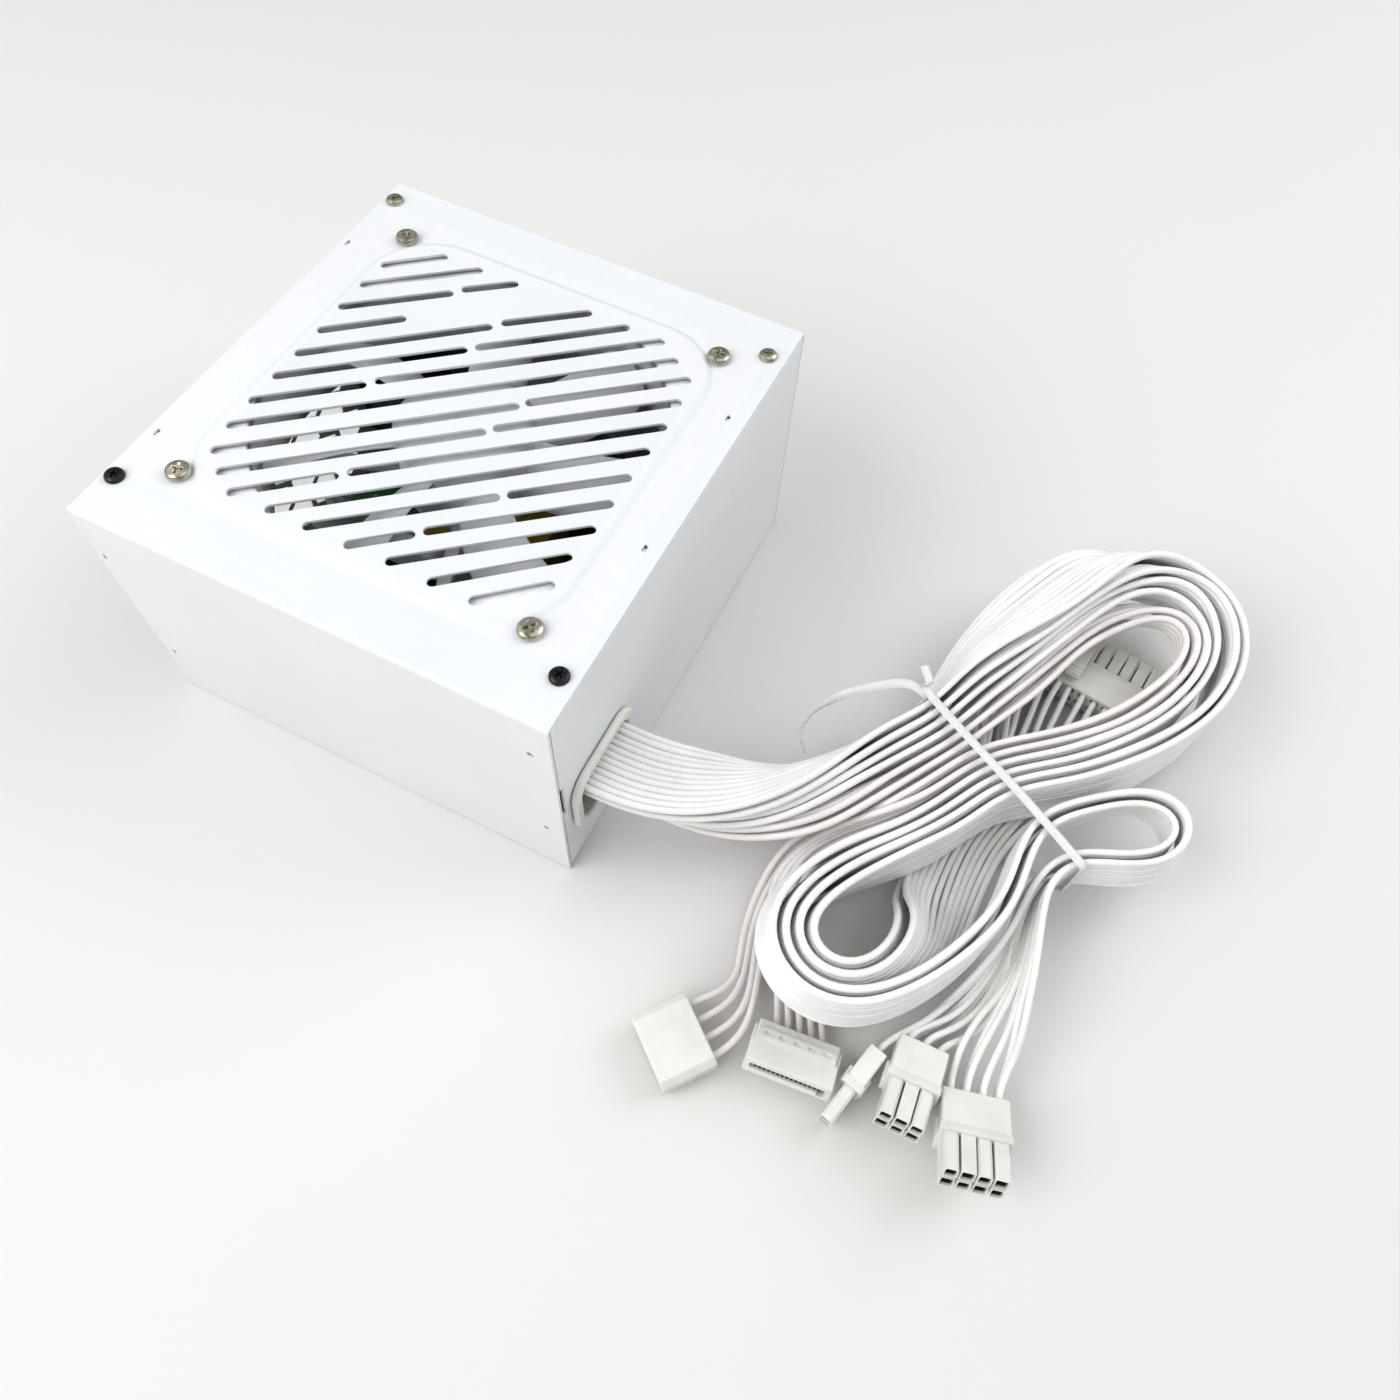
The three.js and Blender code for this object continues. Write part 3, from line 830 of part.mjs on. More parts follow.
    [130.83, -46.12, 10.64, -0.938, 0.16, 0.309], [130.1, -50.73, 8.87, -0.99, -0.02, 0.14],
    [130.57, -55.49, 7.47, -0.975, -0.221, 0.03], [132.61, -61.08, 6.85, -0.892, -0.451, -0.02],
    [139.05, -71.19, 6.77, -0.821, -0.571, 0.01], [150.05, -87.89, 6.5, -0.856, -0.517, 0],
  ] },
  { name: 'cable_peripheral', wires: 4, material: 'pink_cable', stations: [
    [57.04, -54, 24.5, 0, -1, 0], [82.03, -54.06, 23.97, -0.04, -0.999, 0.032],
    [98.96, -53, 21.29, 0, -0.966, 0.259], [109.9, -50.77, 20.77, 0.121, -0.877, 0.466],
    [119.33, -47.27, 21.69, 0.22, -0.738, 0.638], [128.61, -41.72, 23.6, 0.24, -0.579, 0.779],
    [135.04, -35.92, 25.98, 0.18, -0.491, 0.852], [138.59, -31.24, 27.17, 0.261, -0.281, 0.924],
    [144.84, -22.2, 27.2, 0.19, -0.14, 0.972], [157.14, -3.97, 27.32, 0.05, 0, 0.999],
    [162.74, 6.62, 26.74, 0.12, 0.04, 0.992], [166.66, 16.79, 25.23, 0.344, 0.055, 0.937],
    [169.85, 25.14, 23.52, 0.521, -0.103, 0.847], [174.33, 38.57, 22.01, 0.682, -0.234, 0.693],
    [179.16, 53.07, 21.72, 0.694, -0.412, 0.59], [183.32, 61, 22.2, 0.572, -0.562, 0.597],
    [187.65, 66.17, 23.17, 0.363, -0.663, 0.655], [192, 69.64, 24.62, 0.152, -0.656, 0.74],
    [197.51, 72.77, 26.64, -0.028, -0.513, 0.858], [201.82, 74.18, 27.94, -0.18, -0.324, 0.929],
    [205.48, 73.58, 28.84, -0.222, -0.071, 0.972], [208.66, 71.16, 29.43, -0.079, 0.04, 0.996],
    [210.13, 68.36, 29.5, 0.022, -0.031, 0.999], [210.77, 63.12, 29.16, 0.008, -0.084, 0.996],
    [209.29, 55.01, 28.67, -0.034, -0.043, 0.998], [203.96, 43.07, 28.04, -0.056, -0.012, 0.998],
    [195.82, 30.72, 27.41, -0.069, 0.03, 0.997], [185.13, 19.46, 27.2, -0.032, 0.041, 0.999],
    [168.36, 5.8, 27.42, 0.01, 0.01, 1], [162.53, -1.02, 27.52, 0.01, 0.01, 1],
    [151.6, -20.1, 28.09, 0.03, 0.04, 0.999], [150.54, -21.79, 28.07, -0.06, -0.09, 0.994],
    [149.39, -23.35, 27.62, -0.231, -0.271, 0.934], [148.22, -24.65, 26.67, -0.42, -0.39, 0.82],
    [146.14, -26.67, 23.92, -0.607, -0.448, 0.657], [143.19, -29.37, 19.46, -0.658, -0.229, 0.718],
    [141.92, -30.27, 18.19, -0.621, -0.07, 0.781], [139.67, -31.54, 16.69, -0.517, 0.129, 0.846],
    [135.61, -33.73, 14.76, -0.579, 0.24, 0.779], [132.2, -36.5, 12.4, -0.747, 0.219, 0.628],
    [128.56, -41.41, 9.02, -0.874, 0.241, 0.422], [126.65, -46.6, 6.73, -0.966, 0.139, 0.219],
    [125.94, -54.27, 4.68, -1, -0.01, 0.03], [126.59, -63.19, 3.81, -0.991, -0.13, -0.02],
    [129.44, -75.84, 4.37, -0.96, -0.28, 0.01], [131.37, -84.59, 5.15, -0.995, -0.1, 0],
    [131.38, -89.54, 5.81, -0.993, 0.12, 0], [130.45, -93.39, 6.32, -0.937, 0.349, 0],
    [126.57, -100.33, 7, -0.837, 0.548, 0],
  ] },
];
// twist tie, same columns: one free end, round the bundle's waist, the other free end
const TIE = [
  [118.54, -13.97, 13, 0.56, -0.48, 0.68], [115.04, -10.98, 18, 0.48, -0.65, 0.59],
  [116.06, -5.86, 24, -0.43, -0.51, 0.75], [122.02, 0.03, 29.5, -0.67, 0.3, 0.68],
  [130.66, 5.64, 33.5, -0.56, 0.74, 0.38], [138.26, 9.3, 35.2, -0.22, 0.94, 0.24],
  [144.61, 8.87, 33.71, 0.33, 0.91, 0.27], [143.77, 9.99, 26.23, 0.47, 0.88, 0.03],
  [142.78, 10.52, 15.22, 0.47, 0.88, 0], [142.83, 10.49, 9.59, 0.47, 0.88, 0],
  [143.38, 10.2, 9.02, 0.47, 0.88, 0], [163.69, -0.59, 1.27, 0.47, 0.88, 0],
  [185.95, -12.41, 1.33, 0.47, 0.88, 0], [201.9, -20.88, 14.86, 0.47, 0.88, 0],
  [202.02, -20.94, 15.41, 0.47, 0.88, 0], [201.96, -20.91, 31.54, 0.47, 0.88, 0],
  [201.23, -20.53, 32.19, 0.47, 0.88, 0], [178.75, -8.58, 34.02, 0.47, 0.88, 0],
  [145.74, 8.95, 34.85, 0.5, 0.87, 0], [143.91, 11.62, 37, 0.76, 0.64, -0.13],
  [140.52, 15.68, 37.6, 0.76, 0.64, -0.05],
];

for (const { name, wires, material, stations } of CABLES) {
  add(name, strip(stations, wires * WIRE_PITCH, RIBBON_T), material);
}
add('twist_tie', strip(TIE, TIE_W, TIE_T), 'white_plastic');

for (const plug of PLUGS) {
  const frame = plugFrame(plug.pos, plug.dir);
  add(plug.name, plug.build ? plug.build() : rowPlug(plug), 'white_plastic', frame);
  if (plug.lever) add(plug.lever, latchLever(plug.latch), 'white_plastic', frame);
}

export default root;
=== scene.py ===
"""ATX power supply unit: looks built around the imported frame.

The case stands on z = 0, centred on the origin in x and y, with the fan panel facing +Z.
The mains inlet and the switch sit in the -X wall. The cables leave the +X wall, lie coiled
on the floor beyond it and end in six plugs. Lengths are in millimetres up to the setting,
which is in metres.
"""
import bpy
import bmesh
import json
import math
import numpy as np
from mathutils import Vector, Matrix
from mathutils.geometry import tessellate_polygon


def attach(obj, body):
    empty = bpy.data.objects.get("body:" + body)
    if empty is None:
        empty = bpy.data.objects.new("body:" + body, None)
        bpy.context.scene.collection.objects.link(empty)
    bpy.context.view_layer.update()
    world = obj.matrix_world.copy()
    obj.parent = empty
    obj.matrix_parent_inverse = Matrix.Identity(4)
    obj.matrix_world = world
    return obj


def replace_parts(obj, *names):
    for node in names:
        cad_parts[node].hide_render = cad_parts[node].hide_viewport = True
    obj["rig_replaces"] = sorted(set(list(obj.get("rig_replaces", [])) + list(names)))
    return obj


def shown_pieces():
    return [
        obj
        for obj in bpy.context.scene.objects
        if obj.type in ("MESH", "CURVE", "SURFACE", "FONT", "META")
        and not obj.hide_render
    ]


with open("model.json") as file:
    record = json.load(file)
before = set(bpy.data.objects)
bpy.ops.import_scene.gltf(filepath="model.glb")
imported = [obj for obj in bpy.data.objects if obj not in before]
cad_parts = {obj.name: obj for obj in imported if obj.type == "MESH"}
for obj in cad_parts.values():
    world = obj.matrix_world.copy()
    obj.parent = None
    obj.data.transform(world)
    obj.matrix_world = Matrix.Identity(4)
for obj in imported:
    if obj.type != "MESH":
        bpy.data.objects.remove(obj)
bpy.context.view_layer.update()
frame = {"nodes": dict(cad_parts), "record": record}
NODES = frame["nodes"]
MM = 0.001
scene = bpy.context.scene


# ---------------------------------------------------------------- objects and modifiers
def smoothed(obj, angle=35):
    mesh = obj.data
    mesh.polygons.foreach_set("use_smooth", [True] * len(mesh.polygons))
    mesh.set_sharp_from_angle(angle=math.radians(angle))
    return obj


def modify(obj, kind, **settings):
    modifier = obj.modifiers.new(kind.lower(), kind)
    for key, value in settings.items():
        setattr(modifier, key, value)


def place_piece(obj, body, slot, *nodes):
    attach(obj, body)
    if nodes:
        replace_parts(obj, *nodes)


def carve(obj, cutter):
    modify(obj, "BOOLEAN", operation="DIFFERENCE", solver="EXACT", object=cutter)
    bpy.context.view_layer.update()
    depsgraph = bpy.context.evaluated_depsgraph_get()
    old = obj.data
    mesh = bpy.data.meshes.new_from_object(obj.evaluated_get(depsgraph))
    obj.modifiers.clear()
    obj.data = mesh
    bpy.data.meshes.remove(old)
    smoothed(obj)
    bpy.data.objects.remove(cutter)


def round_edges(obj, width, segments, angle):
    mesh = bmesh.new()
    mesh.from_mesh(obj.data)
    bmesh.ops.remove_doubles(mesh, verts=mesh.verts, dist=1e-7)
    bmesh.ops.dissolve_limit(mesh, angle_limit=math.radians(0.5),
                             verts=mesh.verts, edges=mesh.edges)
    sharp = [e for e in mesh.edges
             if len(e.link_faces) == 2 and e.calc_face_angle(0) > math.radians(angle)]
    bmesh.ops.bevel(mesh, geom=sharp, offset=width * MM, offset_type="OFFSET",
                    segments=segments, profile=0.6, affect="EDGES", clamp_overlap=True)
    bmesh.ops.triangulate(mesh, faces=[f for f in mesh.faces if len(f.verts) > 4])
    mesh.to_mesh(obj.data)
    mesh.free()
    smoothed(obj, 30)


# ---------------------------------------------------------------- outlines in a plane
def rect(x0, x1, y0, y1):
    return [(x0, y0), (x1, y0), (x1, y1), (x0, y1)]


def round_rect(cx, cy, width, height, radius, segments=6):
    points = []
    for side_x, side_y, start in ((1, 1, 0), (-1, 1, 90), (-1, -1, 180), (1, -1, 270)):
        for i in range(segments + 1):
            turn = math.radians(start + 90 * i / segments)
            points.append((cx + side_x * (width / 2 - radius) + radius * math.cos(turn),
                           cy + side_y * (height / 2 - radius) + radius * math.sin(turn)))
    return points


def circle(cx, cy, radius, sides, start=0):
    turns = [start + 2 * math.pi * k / sides for k in range(sides)]
    return [(cx + radius * math.cos(t), cy + radius * math.sin(t)) for t in turns]


def stadium(x0, y0, x1, y1, width, segments):
    """slot with round ends centred on the two points"""
    heading = math.atan2(y1 - y0, x1 - x0)
    points = []
    for cx, cy, start in ((x1, y1, heading - math.pi / 2), (x0, y0, heading + math.pi / 2)):
        for i in range(segments + 1):
            turn = start + math.pi * i / segments
            points.append((cx + width / 2 * math.cos(turn), cy + width / 2 * math.sin(turn)))
    return points


def soften(outline, radius, segments=4):
    """rounds each corner of a convex outline"""
    corners = np.asarray(outline, float)
    points = []
    for i, corner in enumerate(corners):
        back = corners[i - 1] - corner
        ahead = corners[(i + 1) % len(corners)] - corner
        back_length, ahead_length = np.linalg.norm(back), np.linalg.norm(ahead)
        back, ahead = back / back_length, ahead / ahead_length
        angle = math.acos(max(-1, min(1, back @ ahead)))
        reach = min(radius / math.tan(angle / 2), 0.45 * back_length, 0.45 * ahead_length)
        start, end = corner + back * reach, corner + ahead * reach
        for k in range(segments + 1):
            t = k / segments
            points.append(tuple((1 - t) ** 2 * start + 2 * t * (1 - t) * corner + t * t * end))
    return points


def area(outline):
    p = np.asarray(outline)
    q = np.roll(p, -1, 0)
    return 0.5 * float((p[:, 0] * q[:, 1] - q[:, 0] * p[:, 1]).sum())


def inset(outline, distance):
    """moves the edges inwards: one distance, or one per edge (edge i leaves corner i)"""
    p = np.asarray(outline, float)
    after = np.broadcast_to(np.asarray(distance, float), (len(p),))
    before = np.roll(after, 1)
    edge0 = p - np.roll(p, 1, 0)
    edge1 = np.roll(p, -1, 0) - p
    n0 = np.c_[-edge0[:, 1], edge0[:, 0]]
    n1 = np.c_[-edge1[:, 1], edge1[:, 0]]
    n0 /= np.linalg.norm(n0, axis=1)[:, None]
    n1 /= np.linalg.norm(n1, axis=1)[:, None]
    det = n0[:, 0] * n1[:, 1] - n0[:, 1] * n1[:, 0]
    straight = np.abs(det) < 0.02
    det = np.where(straight, 1, det)
    offset_x = (before * n1[:, 1] - after * n0[:, 1]) / det
    offset_y = (n0[:, 0] * after - n1[:, 0] * before) / det
    mean = (n0 + n1) / 2 * ((before + after) / 2)[:, None]
    return p + np.where(straight[:, None], mean, np.c_[offset_x, offset_y])


# ---------------------------------------------------------------- curves and placements
def smoothstep(t):
    t = np.clip(t, 0, 1)
    return t ** 2 * (3 - 2 * t)


def catmull(stations, step):
    """smooth curve through the stations, resampled at about this spacing"""
    p = np.asarray(stations, float)
    q = np.vstack([2 * p[0] - p[1], p, 2 * p[-1] - p[-2]])
    points = []
    for i in range(1, len(q) - 2):
        a, b, c, d = q[i - 1:i + 3]
        count = max(1, int(round(np.linalg.norm(c[:3] - b[:3]) / step)))
        for t in np.arange(count) / count:
            points.append(0.5 * ((2 * b) + (-a + c) * t + (2 * a - 5 * b + 4 * c - d) * t * t
                                 + (-a + 3 * b - 3 * c + d) * t ** 3))
    points.append(p[-1])
    return np.array(points)


def hermite(p0, m0, p1, m1, count):
    t = np.linspace(0, 1, count)[:, None]
    return ((2 * t ** 3 - 3 * t ** 2 + 1) * p0 + (t ** 3 - 2 * t ** 2 + t) * m0
            + (-2 * t ** 3 + 3 * t ** 2) * p1 + (t ** 3 - t ** 2) * m1)


def unit_rows(vectors):
    return vectors / np.linalg.norm(vectors, axis=1)[:, None]


def basis(origin, direction):
    """matrix with x along the direction and z as near to up as it can be"""
    x = Vector(direction).normalized()
    up = Vector((0, 0, 1))
    z = (up - x * up.dot(x)).normalized()
    matrix = np.eye(4)
    matrix[:3] = np.column_stack([x, z.cross(x), z, origin])
    return matrix


def shift(x=0, y=0, z=0, turn=0.0):
    c, s = math.cos(turn), math.sin(turn)
    return np.array([[c, -s, 0, x], [s, c, 0, y], [0, 0, 1, z], [0, 0, 0, 1.0]])


def span(sign, inner, outer):
    """a range on the + side, or its mirror image on the - side"""
    return (inner, outer) if sign > 0 else (-outer, -inner)


# slab planes: outline (y, z) with depth along x, and outline (x, z) with depth along -y
ALONG_X = np.array([[0, 0, 1, 0], [1, 0, 0, 0], [0, 1, 0, 0], [0, 0, 0, 1.0]])
ALONG_Y = np.array([[1, 0, 0, 0], [0, 0, -1, 0], [0, 1, 0, 0], [0, 0, 0, 1.0]])


# ---------------------------------------------------------------- mesh building
class Shells:
    """collects several closed shells into one mesh"""

    def __init__(self):
        self.verts, self.faces, self.count = [], [], 0

    def add(self, verts, faces, matrix=None):
        verts = np.asarray(verts, float)
        if matrix is not None:
            verts = (np.c_[verts, np.ones(len(verts))] @ matrix.T)[:, :3]
        self.verts.append(verts)
        self.faces += [tuple(int(i) + self.count for i in face) for face in faces]
        self.count += len(verts)

    def loft(self, rings, joined=False):
        """skins a stack of equal rings; capped unless the last ring joins the first"""
        rings = np.asarray(rings, float)
        count, sides = rings.shape[:2]
        faces = []
        for i in range(count if joined else count - 1):
            a, b = i * sides, (i + 1) % count * sides
            for k in range(sides):
                k2 = (k + 1) % sides
                faces.append((a + k, a + k2, b + k2, b + k))
        if not joined:
            faces.append(range(sides - 1, -1, -1))
            faces.append(range((count - 1) * sides, count * sides))
        self.add(rings.reshape(-1, 3), faces)

    def lathe(self, profile, sides, matrix=None):
        """turns a profile of (r, z) that ends on the axis or closes on itself"""
        closed = profile[0] == profile[-1]
        if closed:
            profile = profile[:-1]
        verts, rings, faces = [], [], []
        for r, z in profile:
            first = len(verts)
            if r < 1e-9:
                rings.append([first] * sides)
                verts.append((0, 0, z))
            else:
                rings.append(list(range(first, first + sides)))
                verts += [(x, y, z) for x, y in circle(0, 0, r, sides)]
        if closed:
            rings.append(rings[0])
        for a, b in zip(rings, rings[1:]):
            for k in range(sides):
                k2 = (k + 1) % sides
                quad = [a[k], a[k2], b[k2], b[k]]
                quad = [v for j, v in enumerate(quad) if v != quad[j - 1]]
                if len(quad) > 2:
                    faces.append(quad)
        self.add(verts, faces, matrix)

    def slab(self, loops, z0, z1, bevel=0.1, matrix=None, steps=2):
        """plate with holes and rounded edges; loops[0] is the outline.
        bevel: one number, or one per loop, each a number or a list with one per edge"""
        bevels = bevel if isinstance(bevel, list) else [bevel] * len(loops)
        bevels = [np.asarray(b, float) for b in bevels]
        loops = [np.asarray(loop if (area(loop) > 0) == (i == 0) else loop[::-1], float)
                 for i, loop in enumerate(loops)]
        verts, rings, count = [], [], 0     # rings[face][step][loop], from the side inwards
        for face_z, inward in ((z1, -1), (z0, 1)):
            face_rings = []
            for k in range(steps + 1):
                turn = math.pi / 2 * k / steps
                drop, shrink = 1 - math.sin(turn), 1 - math.cos(turn)
                row = []
                for loop, edge in zip(loops, bevels):
                    deep = float(edge.max())
                    ring = inset(loop, edge * shrink) if deep * shrink > 0 else loop
                    row.append(np.arange(count, count + len(ring)))
                    verts.append(np.c_[ring, np.full(len(ring), face_z + inward * deep * drop)])
                    count += len(ring)
                face_rings.append(row)
            rings.append(face_rings)
        verts = np.concatenate(verts)
        faces = []
        for i, loop in enumerate(loops):
            chain = [row[i] for row in rings[1][::-1]] + [row[i] for row in rings[0]]
            for a, b in zip(chain, chain[1:]):
                for k in range(len(loop)):
                    k2 = (k + 1) % len(loop)
                    faces.append((a[k], a[k2], b[k2], b[k]))
        for face_rings in rings:
            rows = face_rings[-1]
            flat = np.concatenate(rows)
            polygons = [[(x, y, 0) for x, y, _ in verts[row]] for row in rows]
            faces += [[flat[i] for i in triangle] for triangle in tessellate_polygon(polygons)]
        self.add(verts, faces, matrix)

    def tube(self, path, radius, sides, first_side):
        """round tube; the cross-section is carried along without twist"""
        path = np.asarray(path, float)
        tangent = unit_rows(np.gradient(path, axis=0))
        across = np.zeros_like(path)
        u = np.array(first_side, float)
        for i, t in enumerate(tangent):
            u = u - (u @ t) * t
            u /= np.linalg.norm(u)
            across[i] = u
        other = np.cross(tangent, across)
        turn = 2 * np.pi * np.arange(sides) / sides
        ring = (np.cos(turn)[None, :, None] * across[:, None]
                + np.sin(turn)[None, :, None] * other[:, None])
        self.loft(path[:, None] + ring * radius[:, None, None])

    def sweep(self, path, width, section):
        """section [(along the width, along the normal)] carried along the path"""
        tangent = unit_rows(np.gradient(path, axis=0))
        width = unit_rows(width - (width * tangent).sum(1)[:, None] * tangent)
        normal = np.cross(tangent, width)
        s = np.asarray(section, float)
        self.loft(path[:, None] + s[None, :, :1] * width[:, None]
                  + s[None, :, 1:] * normal[:, None])

    def obj(self, name, mat=None, angle=35):
        mesh = bpy.data.meshes.new(name)
        verts = np.concatenate(self.verts) * MM
        mesh.from_pydata([tuple(v) for v in verts], [], self.faces)
        mesh.validate()
        obj = bpy.data.objects.new(name, mesh)
        scene.collection.objects.link(obj)
        if mat:
            mesh.materials.append(mat)
        work = bmesh.new()
        work.from_mesh(mesh)
        bmesh.ops.recalc_face_normals(work, faces=work.faces)
        work.to_mesh(mesh)
        work.free()
        return smoothed(obj, angle)

    def piece(self, name, slot, *nodes, body="housing", angle=35, weight=80, mat=None):
        """finished piece; weight drives the weighted normals, 0 leaves them out"""
        obj = self.obj(name, MAT[mat or slot], angle)
        if weight:
            modify(obj, "WEIGHTED_NORMAL", keep_sharp=True, weight=weight)
        place_piece(obj, body, slot, *nodes)


# ---------------------------------------------------------------- materials
def material(name, color, rough, metal=0.0, spec=0.5, sss=0.0, mottle=0.03, mottle_scale=60.0,
             grain=900.0, bump=0.15, bump_mm=0.02, stretch=(1, 1, 1), coat=0.0,
             wear=0.0, wear_color=None, speck=None, patches=None):
    """Principled material with slow colour mottling and a fine grain in roughness and bump.

    The scales belong to noise in object space, stretched by `stretch`. wear lightens convex
    edges; speck is (colour, scale, threshold); patches is (colour, scale).
    """
    mat = bpy.data.materials.new(name)
    mat.use_nodes = True
    tree = mat.node_tree
    tree.nodes.clear()

    def node(kind, inputs, **settings):
        made = tree.nodes.new("ShaderNode" + kind)
        for key, value in settings.items():
            setattr(made, key, value)
        for key, value in inputs.items():
            if isinstance(value, bpy.types.NodeSocket):
                tree.links.new(value, made.inputs[key])
            else:
                made.inputs[key].default_value = value
        return made

    output = node("OutputMaterial", {})
    shader = node("BsdfPrincipled", {"Metallic": metal, "Specular IOR Level": spec})
    tree.links.new(shader.outputs[0], output.inputs[0])
    if sss:
        shader.inputs["Subsurface Weight"].default_value = sss
        shader.inputs["Subsurface Radius"].default_value = (1, 0.9, 0.8)
        shader.inputs["Subsurface Scale"].default_value = 0.0015
    if coat:
        shader.inputs["Coat Weight"].default_value = coat
        shader.inputs["Coat Roughness"].default_value = 0.15
    coordinates = node("TexCoord", {})
    mapping = node("Mapping", {"Scale": stretch, 0: coordinates.outputs["Object"]})

    def noise(scale, detail):
        made = node("TexNoise", {"Scale": scale, "Detail": detail, "Roughness": 0.5,
                                 "Vector": mapping.outputs[0]})
        return made.outputs["Fac"]

    def ramp(source, first, last, low=0.35, high=0.65):
        made = node("ValToRGB", {0: source})
        for stop, color_, place in zip(made.color_ramp.elements, (first, last), (low, high)):
            stop.position = place
            stop.color = (*color_, 1)
        return made.outputs[0]

    def mask(source, low, high):
        return ramp(source, (0, 0, 0), (1, 1, 1), low, high)

    def mix(factor, under, over):
        return node("Mix", {0: factor, 6: under, 7: (*over, 1)}, data_type="RGBA").outputs[2]

    base = np.array(color, float)
    surface = ramp(noise(mottle_scale, 4), np.clip(base * (1 - mottle), 0, 1),
                   np.clip(base * (1 + mottle), 0, 1))
    if patches:
        surface = mix(mask(noise(patches[1], 2), 0.45, 0.6), surface, patches[0])
    if speck:
        surface = mix(mask(noise(speck[1], 1), speck[2], speck[2] + 0.03), surface, speck[0])
    if wear:
        geometry = node("NewGeometry", {})
        breakup = noise(400.0, 3)
        product = node("Math", {1: breakup}, operation="MULTIPLY")
        convex = node("MapRange", {0: geometry.outputs["Pointiness"],
                                   "From Min": 0.53, "From Max": 0.62})
        tree.links.new(convex.outputs[0], product.inputs[0])
        amount = node("Math", {0: product.outputs[0], 1: wear},
                      operation="MULTIPLY", use_clamp=True)
        surface = mix(amount.outputs[0], surface, wear_color)
    tree.links.new(surface, shader.inputs["Base Color"])
    grain_noise = noise(grain, 3)
    roughness = node("MapRange", {0: grain_noise, "To Min": max(0.02, rough - 0.08),
                                  "To Max": min(1, rough + 0.08)})
    tree.links.new(roughness.outputs[0], shader.inputs["Roughness"])
    relief = node("Bump", {"Strength": bump, "Distance": bump_mm * MM, "Height": grain_noise})
    tree.links.new(relief.outputs[0], shader.inputs["Normal"])
    return mat


